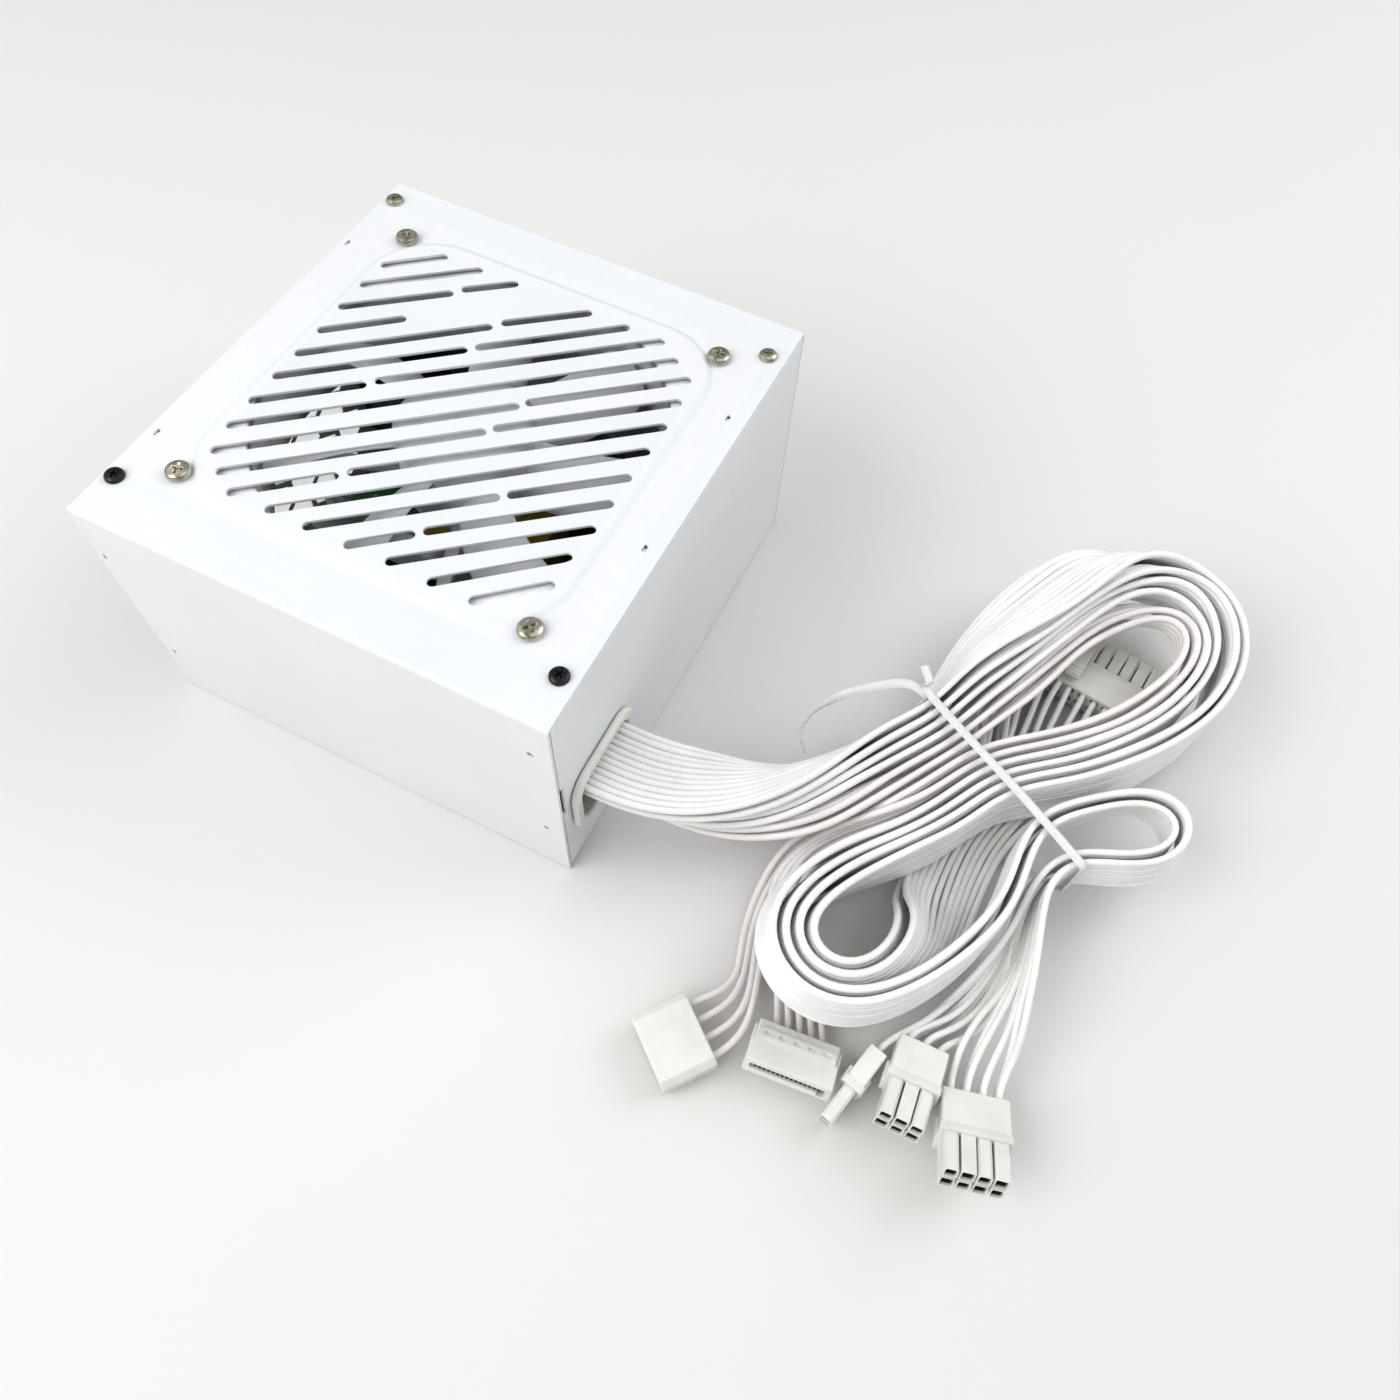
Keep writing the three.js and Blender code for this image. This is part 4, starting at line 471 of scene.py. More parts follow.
MAT = {
    "white_paint": material(
        "powder_coat_white", color=(0.83, 0.845, 0.865), rough=0.42, spec=0.45, mottle=0.012,
        mottle_scale=25, grain=1800, bump=0.35, wear=0.5, wear_color=(0.9, 0.9, 0.9)),
    "white_cable": material(
        "pvc_white", color=(0.935, 0.935, 0.92), rough=0.34, sss=0.2, mottle=0.035,
        mottle_scale=90, grain=500, bump=0.12),
    "drive_cable": material(
        "pvc_pale_pink", color=(0.90, 0.865, 0.86), rough=0.36, sss=0.2, mottle=0.035,
        mottle_scale=90, grain=500, bump=0.12),
    "white_plastic": material(
        "nylon_ivory", color=(0.83, 0.83, 0.795), rough=0.38, sss=0.12, mottle_scale=120,
        grain=1100, bump_mm=0.015, wear=0.25, wear_color=(0.85, 0.85, 0.83)),
    "tie_plastic": material(
        "tie_film_white", color=(0.82, 0.82, 0.82), rough=0.28, sss=0.05, mottle=0.02,
        mottle_scale=200, grain=700, bump=0.2, coat=0.3),
    "black_screw": material(
        "black_oxide", color=(0.035, 0.035, 0.038), rough=0.38, metal=0.7, mottle=0.25,
        mottle_scale=700, grain=2500, bump=0.2, bump_mm=0.01, wear=1.3,
        wear_color=(0.35, 0.35, 0.35)),
    "brass_screw": material(
        "zinc_yellow", color=(0.42, 0.41, 0.33), rough=0.24, metal=1.0, mottle=0.25,
        mottle_scale=420, grain=2500, bump=0.3, bump_mm=0.015,
        patches=((0.64, 0.62, 0.54), 240.0), wear=0.8, wear_color=(0.75, 0.75, 0.68)),
    "steel": material(
        "plated_steel", color=(0.60, 0.61, 0.62), rough=0.28, metal=1.0, mottle=0.08,
        mottle_scale=400, grain=1500, bump=0.2, stretch=(1, 1, 0.15), bump_mm=0.01),
    "fan_plastic": material(
        "fan_plastic_pale", color=(0.93, 0.94, 0.95), rough=0.3, sss=0.05, mottle=0.02,
        bump=0.12),
    "ferrite": material(
        "ferrite_dark", color=(0.035, 0.036, 0.04), rough=0.7, mottle=0.2, mottle_scale=500,
        grain=1600, bump=0.4, bump_mm=0.03),
    "bearing_brass": material(
        "sintered_bronze", color=(0.50, 0.36, 0.17), rough=0.45, metal=1.0, mottle=0.15,
        mottle_scale=900, grain=2000, bump=0.3),
    "copper_winding": material(
        "enamelled_copper", color=(0.50, 0.20, 0.09), rough=0.30, metal=0.35, mottle=0.15,
        mottle_scale=300, bump=0.3, bump_mm=0.03, coat=0.4),
    "black_plastic": material(
        "black_moulded", color=(0.022, 0.022, 0.024), rough=0.48, mottle=0.15,
        mottle_scale=150, grain=1500, bump=0.35, wear=0.35, wear_color=(0.10, 0.10, 0.10)),
    "circuit_board": material(
        "solder_mask_green", color=(0.03, 0.13, 0.06), rough=0.35, mottle=0.15,
        mottle_scale=90, grain=600, bump=0.25, bump_mm=0.03,
        speck=((0.55, 0.52, 0.40), 420.0, 0.66)),
    "sheet_film": material(
        "insulating_film", color=(0.10, 0.10, 0.09), rough=0.4, mottle=0.05, mottle_scale=80,
        grain=300, bump=0.2, bump_mm=0.04),
    "aluminium": material(
        "extruded_aluminium", color=(0.66, 0.67, 0.68), rough=0.33, metal=1.0, mottle=0.05,
        mottle_scale=200, stretch=(0.08, 1, 1), bump=0.3),
    "yellow_tape": material(
        "polyester_tape", color=(0.62, 0.47, 0.10), rough=0.42, mottle=0.08,
        mottle_scale=140, grain=500, bump=0.3, bump_mm=0.03, coat=0.3),
    "blue_sleeve": material(
        "heat_shrink_blue", color=(0.035, 0.06, 0.19), rough=0.26, mottle=0.08,
        mottle_scale=100, grain=350, bump=0.2, bump_mm=0.03, coat=0.3),
    # contacts coloured near black, far below bright tin: painted shade for the shadowed chambers
    # of the plugs
    "terminal": material(
        "contact_tin_painted_shade", color=(0.075, 0.068, 0.042), rough=0.5, metal=0.2, mottle=0.2,
        mottle_scale=700, grain=2000, bump=0.2, bump_mm=0.01),
    # dark gold: partly the comb's own gilt tone, partly painted shade for the dark slot of the
    # drive plug
    "terminal_gilt_painted_shade": material(
        "contact_gilt_painted_shade", color=(0.16, 0.12, 0.05), rough=0.4, metal=0.5, mottle=0.2,
        mottle_scale=700, grain=2000, bump=0.2, bump_mm=0.01),
}
NODE_SLOT = {part["node"]: part["material_slot"] for part in frame["record"]["subparts"]}
for node_name, node_obj in NODES.items():
    node_obj.data.materials.clear()
    node_obj.data.materials.append(MAT[NODE_SLOT[node_name]])
    smoothed(node_obj)


# ---------------------------------------------------------------- case
CASE_X, CASE_Y, CASE_TOP = 70.0, 75.0, 86.0     # outer half sizes and height
SHEET = 1.0
COVER_FOLD_R = 1.3                              # outside radii of the folds
TRAY_FOLD_R = 1.2
TRAY_Y, TRAY_TOP = 73.7, 84.7                   # the tray fits inside the cover
PANEL_RISE = 0.7
FAN_HOLE = 52.5                                 # fan screws at +- this in x and y
FAN_HOLES = [(sx * FAN_HOLE, sy * FAN_HOLE) for sx in (-1, 1) for sy in (-1, 1)]
COVER_SCREWS = [(-66.2, 66), (-66.2, -61), (65, -60.5), (64.6, 60.2)]
TOP_PIPS = [(64.7, 33.2), (65.2, -17.3), (-67.6, 43), (-67, -43.9)]     # x, y
SIDE_PIPS = [(-67.4, 67.5), (-66.1, 20.7)]      # x, z in the -Y wall
SIDE_HOLES = [(63.8, 69.5), (64.4, 24.8)]
# slots over the fan: x, y of the centres of their two round ends
FAN_SLOTS = [
    (-51.5, 39.5, -38.5, 50.7), (-52, 29.5, -26.3, 50.7), (-52, 18.8, -28.5, 38),
    (-25, 42, -14, 50.7), (-51.5, 8, -34.5, 22.5), (-51.5, -2.5, -11.2, 31.5),
    (-7.5, 35.5, 11, 50.3), (-51.5, -12.5, -12.5, 20.2), (-8.8, 23.5, 23.5, 50.3),
    (-51.5, -23, -29.5, -4.5), (-26, -0.8, 35, 50), (-51, -33, 42, 45),
    (-49, -42, 11.5, 8.5), (14.5, 11.8, 48.5, 40), (-43.2, -47.2, 8.5, -3.8),
    (11.7, -0.5, 50, 31), (-36.5, -51.5, -17, -35), (-13.5, -31.5, 50.5, 21),
    (-24.5, -51.5, 50.5, 11), (-13, -51.5, 23.5, -21.5), (27, -18.5, 50.5, 0.5),
    (-0.5, -51.5, 11, -41.8), (14.5, -38.6, 50.5, -9.5), (11.5, -51, 50.5, -19),
    (24, -51.5, 49.5, -29.5), (36, -51.5, 50, -39),
]


def fold(cu, cv, radius, start, end):
    """section of a bent sheet about a centre, between two angles in degrees"""
    turns = [math.radians(start + (end - start) * k / 12) for k in range(13)]
    inner = radius - SHEET
    return ([(cu + radius * math.cos(t), cv + radius * math.sin(t)) for t in turns]
            + [(cu + inner * math.cos(t), cv + inner * math.sin(t)) for t in reversed(turns)])


def panel_outline(grow):
    return round_rect(0, 0, 111 + 2 * grow, 114 + 2 * grow, 21 + grow, 18)


def pip_slot(x, y):
    return rect(x - 0.5, x + 0.5, y - 1.1, y + 1.1)


def build_cover():
    cover = Shells()
    flat_y = CASE_Y - COVER_FOLD_R
    cut = 0.18                      # rounding of the cut edges; the joints to folds have none
    # flat rim round the raised panel
    holes = [circle(x, y, 1.9, 20) for x, y in COVER_SCREWS]
    holes += [pip_slot(*place) for place in TOP_PIPS]
    cover.slab([rect(-CASE_X, CASE_X, -flat_y, flat_y), panel_outline(1.0)] + holes,
               CASE_TOP - SHEET, CASE_TOP, [[0.0, cut, 0.0, cut], 0.0] + [0.12] * len(holes))
    # soft pressed step up to the panel
    step_count = 14
    profile = []
    for k in range(step_count + 1):
        t = k / step_count
        profile.append((1.0 - 2.2 * t, CASE_TOP + PANEL_RISE * (3 * t * t - 2 * t ** 3)))
    profile += [(grow, z - SHEET) for grow, z in reversed(profile)]
    cover.loft([[(x, y, z) for x, y in panel_outline(grow)] for grow, z in profile], True)
    # raised panel with the slots
    cover.slab([panel_outline(-1.2)] + [stadium(*slot, 2.8, 9) for slot in FAN_SLOTS]
               + [circle(x, y, 2.5, 24) for x, y in FAN_HOLES],
               CASE_TOP - 0.3, CASE_TOP + PANEL_RISE,
               [0.0] + [0.22] * len(FAN_SLOTS) + [0.15] * 4)
    # folds along both long edges, and the side walls
    wall_top = CASE_TOP - COVER_FOLD_R
    for side in (-1, 1):
        cover.slab([fold(side * flat_y, wall_top, COVER_FOLD_R, 90, 180 if side < 0 else 0)],
                   -CASE_X, CASE_X, 0.0, ALONG_X)
        holes = []
        if side < 0:
            holes = [pip_slot(*place) for place in SIDE_PIPS]
            holes += [circle(x, z, 1.0, 20) for x, z in SIDE_HOLES]
        cover.slab([rect(-CASE_X, CASE_X, 0, wall_top)] + holes,
                   *span(-side, CASE_Y - SHEET, CASE_Y),
                   [[cut, cut, 0.0, cut]] + [0.12] * len(holes), ALONG_Y)
    cover.piece("cover_folded_sheet", "white_paint", "top_cover")


def inlet_wall_holes():
    """openings in the -X wall as (y, z) outlines"""
    pitch = 13
    hexagons = []
    for j in range(6):
        for i in range(7):
            y = -62 + pitch * (i + (j % 2) / 2)
            if y <= 24:
                hexagons.append(circle(y, 15 + pitch * 0.866 * j, 6.3, 6, math.radians(30)))
    windows = [round_rect(INLET_Y, INLET_Z, 28.6, 21.6, 0.8, 3),
               round_rect(INLET_Y, SWITCH_Z, 13.8, 20.6, 0.6, 3)]
    screws = [circle(y, z, 1.5, 18) for y, z in ((-69, 16), (-69, 80), (69, 80), (45, 6))]
    return hexagons + windows + screws


def build_tray():
    tray = Shells()
    y, top, r = TRAY_Y, TRAY_TOP, TRAY_FOLD_R
    fold_x = CASE_X - r
    tray.slab([rect(-fold_x, fold_x, -y, y)], 0, SHEET, [[0.1, 0, 0.1, 0]])
    holes = inlet_wall_holes()
    tray.slab([rect(-y, y, r, top - r)] + holes, -CASE_X, -CASE_X + SHEET,
              [[0, 0.1, 0, 0.1]] + [0.15] * len(holes), ALONG_X)
    # +X wall: notch in the -Y edge and the cable opening
    wall = [(-y, r), (y, r), (y, top - r), (-y, top - r),
            (-y, 52), (-72.3, 52), (-72.3, 36), (-y, 36)]
    tray.slab([wall, round_rect(CABLE_Y, CABLE_Z, 29.6, 24.6, 6.8, 8)], CASE_X - SHEET, CASE_X,
              [[0, 0.15, 0] + [0.15] * 5, 0.15], ALONG_X)
    for side in (-1, 1):
        tray.slab([fold(side * fold_x, r, r, 270, 180 if side < 0 else 360)],
                  -y, y, 0.0, ALONG_Y)
        tray.slab([fold(side * fold_x, top - r, r, 90, 180 if side < 0 else 0)],
                  -y, y, 0.0, ALONG_Y)
        # flange under the cover
        flange = rect(*span(side, CASE_X - 10, fold_x), -y, y)
        holes = [circle(px, py, 1.9, 16) for px, py in COVER_SCREWS if px * side > 0]
        holes += [rect(px - 0.5, px + 0.5, py + 0.2, py + 1.1)
                  for px, py in TOP_PIPS if px * side > 0]
        edges = [0.1, 0, 0.1, 0.1] if side > 0 else [0.1, 0.1, 0.1, 0]
        tray.slab([flange] + holes, top - SHEET, top, [edges] + [0.05] * 4)
        # flanges inside the cover's side walls, pierced on the -Y side only
        for wall_side in (-1, 1):
            flange = rect(*span(side, CASE_X - 9, CASE_X - 1.0), 1.0, top - 1.0)
            holes = []
            if wall_side < 0 and side < 0:
                holes = [rect(px - 0.5, px + 0.5, pz + 0.2, pz + 1.1) for px, pz in SIDE_PIPS]
            elif wall_side < 0:
                holes = [circle(px, pz, 0.95, 20) for px, pz in SIDE_HOLES]
            tray.slab([flange] + holes, *span(-wall_side, y - SHEET, y),
                      [0.1] + [0.05] * len(holes), ALONG_Y)
    for wall_side in (-1, 1):               # low strips between the flanges
        tray.slab([rect(-CASE_X + 9, CASE_X - 9, 0.5, 11)],
                  *span(-wall_side, y - SHEET, y), 0.1, ALONG_Y)
    for px, py in ((-55, -60), (44, 62), (-55, 62), (44, -60)):     # tapered posts on the floor
        tray.lathe([(0, 7.7), (2.3, 7.7), (2.6, 7.5), (3.2, 3.2), (4.2, 1.1), (4.2, 0.8),
                    (0, 0.8)], 20, shift(px, py))
    # locating pips standing in the cover's small slots
    for pips, z0, z1, matrix in ((SIDE_PIPS, 73.6, 74.55, ALONG_Y),
                                 (TOP_PIPS, 84.6, 85.55, None)):
        for u, v in pips:
            tray.slab([round_rect(u, v - 0.35, 0.6, 1.0, 0.2, 3)], z0, z1, 0.1, matrix)
    tray.piece("tray_folded_sheet", "white_paint", "base_tray")


# ---------------------------------------------------------------- screws
def screw_mesh(name, radius, height, shank, cross, mat):
    """domed head seated on z = 0, threaded shank below, tapered cross recess above"""
    profile = [(0, height), (radius * 0.45, height - 0.04), (radius * 0.72, height * 0.9),
               (radius * 0.9, height * 0.68), (radius * 0.985, height * 0.36),
               (radius, 0.12), (radius - 0.12, 0), (shank, 0)]
    z = 0.0
    for _ in range(8):                      # thread
        profile += [(shank * 0.82, z - 0.25), (shank, z - 0.5)]
        z -= 0.55
    profile += [(shank * 0.6, z - 0.4), (0, z - 0.4)]
    head = Shells()
    head.lathe(profile, 40)
    screw = head.obj(name, mat, 40)
    arm = cross * 0.2
    corners = []
    for z, length, width in ((height * 0.22, 0.35, 0.75), (height + 0.5, 1.12, 1.1)):
        x, y = cross * length, arm * width
        corners += [(-x, -y, z), (x, -y, z), (x, y, z), (-x, y, z)]
    faces = [(3, 2, 1, 0), (4, 5, 6, 7), (0, 1, 5, 4), (1, 2, 6, 5), (2, 3, 7, 6), (3, 0, 4, 7)]
    for turn in (0, math.pi / 2):
        cutter = Shells()
        cutter.add(corners, faces, shift(turn=turn))
        carve(screw, cutter.obj("cutter"))
    round_edges(screw, 0.06, 1, 35)
    mesh = screw.data.copy()
    bpy.data.objects.remove(screw)
    return mesh


def place_screw(name, mesh, matrix, slot, node):
    mesh = mesh.copy()
    matrix[:3, 3] *= MM
    mesh.transform(Matrix(matrix.tolist()))
    obj = bpy.data.objects.new(name, mesh)
    scene.collection.objects.link(obj)
    place_piece(obj, "housing", slot, node)


def build_screws():
    kinds = {slot: screw_mesh(name, radius=2.65, height=1.5, shank=1.4, cross=1.5,
                              mat=MAT[slot])
             for name, slot in (("s0", "black_screw"), ("s1", "brass_screw"))}
    for i, ((x, y), turn) in enumerate(zip(COVER_SCREWS, (0.5, 0.2, 1.1, 0.35)), 1):
        slot = "black_screw" if y < 0 else "brass_screw"
        place_screw(f"screw_cover_{i}", kinds[slot], shift(x, y, CASE_TOP + 0.02, turn),
                    slot, f"cover_screw_{i}")
    mesh = screw_mesh("s2", radius=3.4, height=1.6, shank=1.85, cross=2.0,
                      mat=MAT["brass_screw"])
    places = ((-1, -1, 0.3), (1, -1, 0.9), (1, 1, 0.1), (-1, 1, 0.6))   # x and y side, turn
    for i, (sx, sy, turn) in enumerate(places, 1):
        place_screw(f"screw_fan_{i}", mesh,
                    shift(sx * FAN_HOLE, sy * FAN_HOLE, CASE_TOP + 0.72, turn),
                    "brass_screw", f"fan_screw_{i}")


# ---------------------------------------------------------------- fan
FAN_Z0, FAN_Z1 = 59.7, 84.7
HUB_R, TIP_R = 20.0, 55.6
BLADES = 7
SPAN_STATIONS, CHORD_STATIONS = 15, 19


def build_fan_frame():
    body = Shells()
    holes = [circle(x, y, 2.2, 16) for x, y in FAN_HOLES]
    for z0, z1 in ((FAN_Z0, FAN_Z0 + 3.4), (FAN_Z1 - 3.4, FAN_Z1)):
        body.slab([round_rect(0, 0, 119.4, 119.4, 6, 8), circle(0, 0, 57.2, 96)] + holes,
                  z0, z1, [0.5, 0.6] + [0.2] * 4)
    body.lathe([(57.2, FAN_Z0 + 0.5), (58.8, FAN_Z0 + 0.5), (58.8, FAN_Z1 - 0.5),
                (57.2, FAN_Z1 - 0.5), (57.2, FAN_Z0 + 0.5)], 96)
    for k in range(8):                      # stiffening ribs outside the tube
        body.slab([rect(58.2, 59.4, -0.8, 0.8)], FAN_Z0 + 3, FAN_Z1 - 3, 0.2,
                  shift(turn=math.radians(22.5 + 45 * k)))
    body.lathe([(0, FAN_Z0), (19.4, FAN_Z0), (20, FAN_Z0 + 0.6), (20, FAN_Z0 + 2.0),
                (19.6, FAN_Z0 + 2.4), (7.2, FAN_Z0 + 2.4), (0, FAN_Z0 + 2.4)], 64)
    for i in range(4):                      # struts to the motor plate
        body.slab([rect(19, 58, -2, 2)], FAN_Z0 + 0.05, FAN_Z0 + 3.0, 0.6,
                  shift(turn=math.radians(20 + 90 * i)))
    body.piece("fan_frame_moulding", "fan_plastic", "fan_frame")


def blade_points(start, mid_z):
    """upper then lower surface of one blade, by span station and chord station"""
    upper, lower = [], []
    for k in range(SPAN_STATIONS):
        u = k / (SPAN_STATIONS - 1)
        r = (HUB_R - 0.5) + (TIP_R - HUB_R + 0.5) * u
        lean = start + 0.16 * u ** 1.5
        pitch = math.radians(44 - 20 * u)
        half_chord = 9.9 - (1.2 * (1 - u) ** 2 if u < 0.85 else 2.8 * ((u - 0.85) / 0.15) ** 2)
        for j in range(CHORD_STATIONS):
            s = -1 + 2 * j / (CHORD_STATIONS - 1)
            camber = 1.5 * (1 - s * s) - 0.6
            half_thick = 0.95 * math.sqrt(max(0.0, 1 - s ** 4)) * (1.15 - 0.35 * u) + 0.08
            for points, side in ((upper, 1), (lower, -1)):
                t = camber + side * half_thick
                x = s * half_chord * math.cos(pitch) - t * math.sin(pitch)
                z = s * half_chord * math.sin(pitch) + t * math.cos(pitch)
                angle = lean + x / r
                points.append((r * math.cos(angle), r * math.sin(angle), mid_z + z))
    return upper + lower


def blade_faces():
    chord, under = CHORD_STATIONS, SPAN_STATIONS * CHORD_STATIONS
    faces = []
    for k in range(SPAN_STATIONS - 1):
        for j in range(chord - 1):
            a, b = k * chord + j, (k + 1) * chord + j
            quad = (a, a + 1, b + 1, b)
            faces += [quad, tuple(under + v for v in reversed(quad))]
    for k in range(SPAN_STATIONS - 1):      # leading and trailing edges
        for j in (0, chord - 1):
            a, b = k * chord + j, (k + 1) * chord + j
            faces.append((a, b, under + b, under + a))
    for k in (0, SPAN_STATIONS - 1):        # root and tip
        for j in range(chord - 1):
            a = k * chord + j
            faces.append((a, a + 1, under + a + 1, under + a))
    return faces


def build_fan_rotor():
    rotor = Shells()
    z0, z1, r = FAN_Z0 + 3.6, FAN_Z1 - 1.4, HUB_R
    rotor.lathe([
        (1.9, z1 - 5), (4.2, z1 - 5), (4.2, z1 - 2), (r - 2.2, z1 - 2), (r - 2, z1 - 2.3),
        (r - 2, z0), (r - 0.3, z0), (r, z0 + 0.3), (r, z1 - 2.6), (r - 0.3, z1 - 1.5),
        (r - 1.1, z1 - 0.6), (r - 2.4, z1 - 0.1), (r - 3.2, z1), (11.2, z1),
        (10.9, z1 - 0.25), (10.6, z1 - 0.3), (3.2, z1 - 0.3), (2.6, z1 - 0.5),
        (1.9, z1 - 0.9), (1.9, z1 - 5)], 72)
    for i in range(BLADES):
        rotor.add(blade_points(2 * math.pi * i / BLADES, (z0 + z1) / 2 + 0.2), blade_faces())
    rotor.piece("fan_rotor_moulding", "fan_plastic", "fan_rotor",
                body="rotor", angle=40, weight=0)


# ---------------------------------------------------------------- inlet, switch and bushing
INLET_Y, INLET_Z = 46, 27                   # the switch stands above the inlet
SWITCH_Z = 62
CABLE_Y, CABLE_Z = -54, 32
INLET_MOUTH = [(33.9, 18.8), (58.1, 18.8), (58.1, 30.6), (53.6, 35.2), (38.4, 35.2),
               (33.9, 30.6)]                # y, z


def build_inlet():
    inlet = Shells()
    mouth = soften(INLET_MOUTH, 1.2)
    block = rect(32.2, 59.8, 16.7, 37.3)
    pin_slots = [round_rect(INLET_Y + dy, INLET_Z + dz, 2.4, 4.5, 0.3, 3)
                 for dy, dz in ((-7, -1.5), (7, -1.5), (0, 2.5))]
    inlet.slab([round_rect(INLET_Y, INLET_Z, 31, 24, 2.5, 8), mouth],
               -71.8, -70.3, [0.5, 0.35], ALONG_X)
    inlet.slab([block, mouth], -70.6, -54.6, [0.2, 0.0], ALONG_X)
    inlet.slab([block] + pin_slots, -54.7, -52.2, 0.15, ALONG_X)
    inlet.piece("inlet_moulding", "black_plastic", "inlet_body")


def build_switch():
    bezel = Shells()
    window = round_rect(INLET_Y, SWITCH_Z, 11.2, 18, 0.8, 4)
    block = rect(39.5, 52.5, 52.1, 71.9)
    bezel.slab([round_rect(INLET_Y, SWITCH_Z, 15.4, 22.4, 1.5, 6), window],
               -71.6, -70.3, [0.45, 0.3], ALONG_X)
    bezel.slab([block, window], -70.6, -62.8, [0.15, 0.0], ALONG_X)
    bezel.slab([block], -62.9, -60.8, 0.15, ALONG_X)
    bezel.piece("switch_bezel", "black_plastic", "switch_housing")

    # rocker: (x, z) outline about the pivot with a bowed outer face, tilted at rest
    pivot_x, tilt = -67.8, 0.157080
    outline = [(3.1, -5.9), (3.1, 5.9), (-1.2, 8.3)]
    outline += [(-4.05 + 1.85 * (1 - abs(2 * t - 1) ** 1.6), 8.15 - 16.3 * t)
                for t in np.linspace(0, 1, 17)]
    outline += [(-1.2, -8.3)]
    c, s = math.cos(tilt), math.sin(tilt)
    outline = [(pivot_x + x * c + z * s, SWITCH_Z - x * s + z * c) for x, z in outline]
    rocker = Shells()
    rocker.slab([outline], -51.15, -40.85, 0.3, ALONG_Y)
    rocker.piece("switch_rocker_moulding", "black_plastic", "switch_rocker", body="rocker")


def build_bushing():
    bushing = Shells()

    def ring(width, height, radius):
        return round_rect(CABLE_Y, CABLE_Z, width, height, radius, 10)

    bushing.slab([ring(33, 28, 8), ring(26, 21, 5)], 70.15, 72.3, [1.0, 0.9], ALONG_X, 5)
    bushing.slab([ring(29, 24, 6.5), ring(26, 21, 5)], 66.6, 70.8, [0.3, 0.3], ALONG_X)
    bushing.slab([ring(31.4, 26.4, 7.5), ring(26.4, 21.4, 5)], 66.4, 68.6, [0.7, 0.3],
                 ALONG_X, 3)
    bushing.piece("cable_bushing", "white_plastic", "cable_grommet")


# ---------------------------------------------------------------- cable and tie stations
def stations(text):
    return np.array(text.split(), float).reshape(-1, 6)


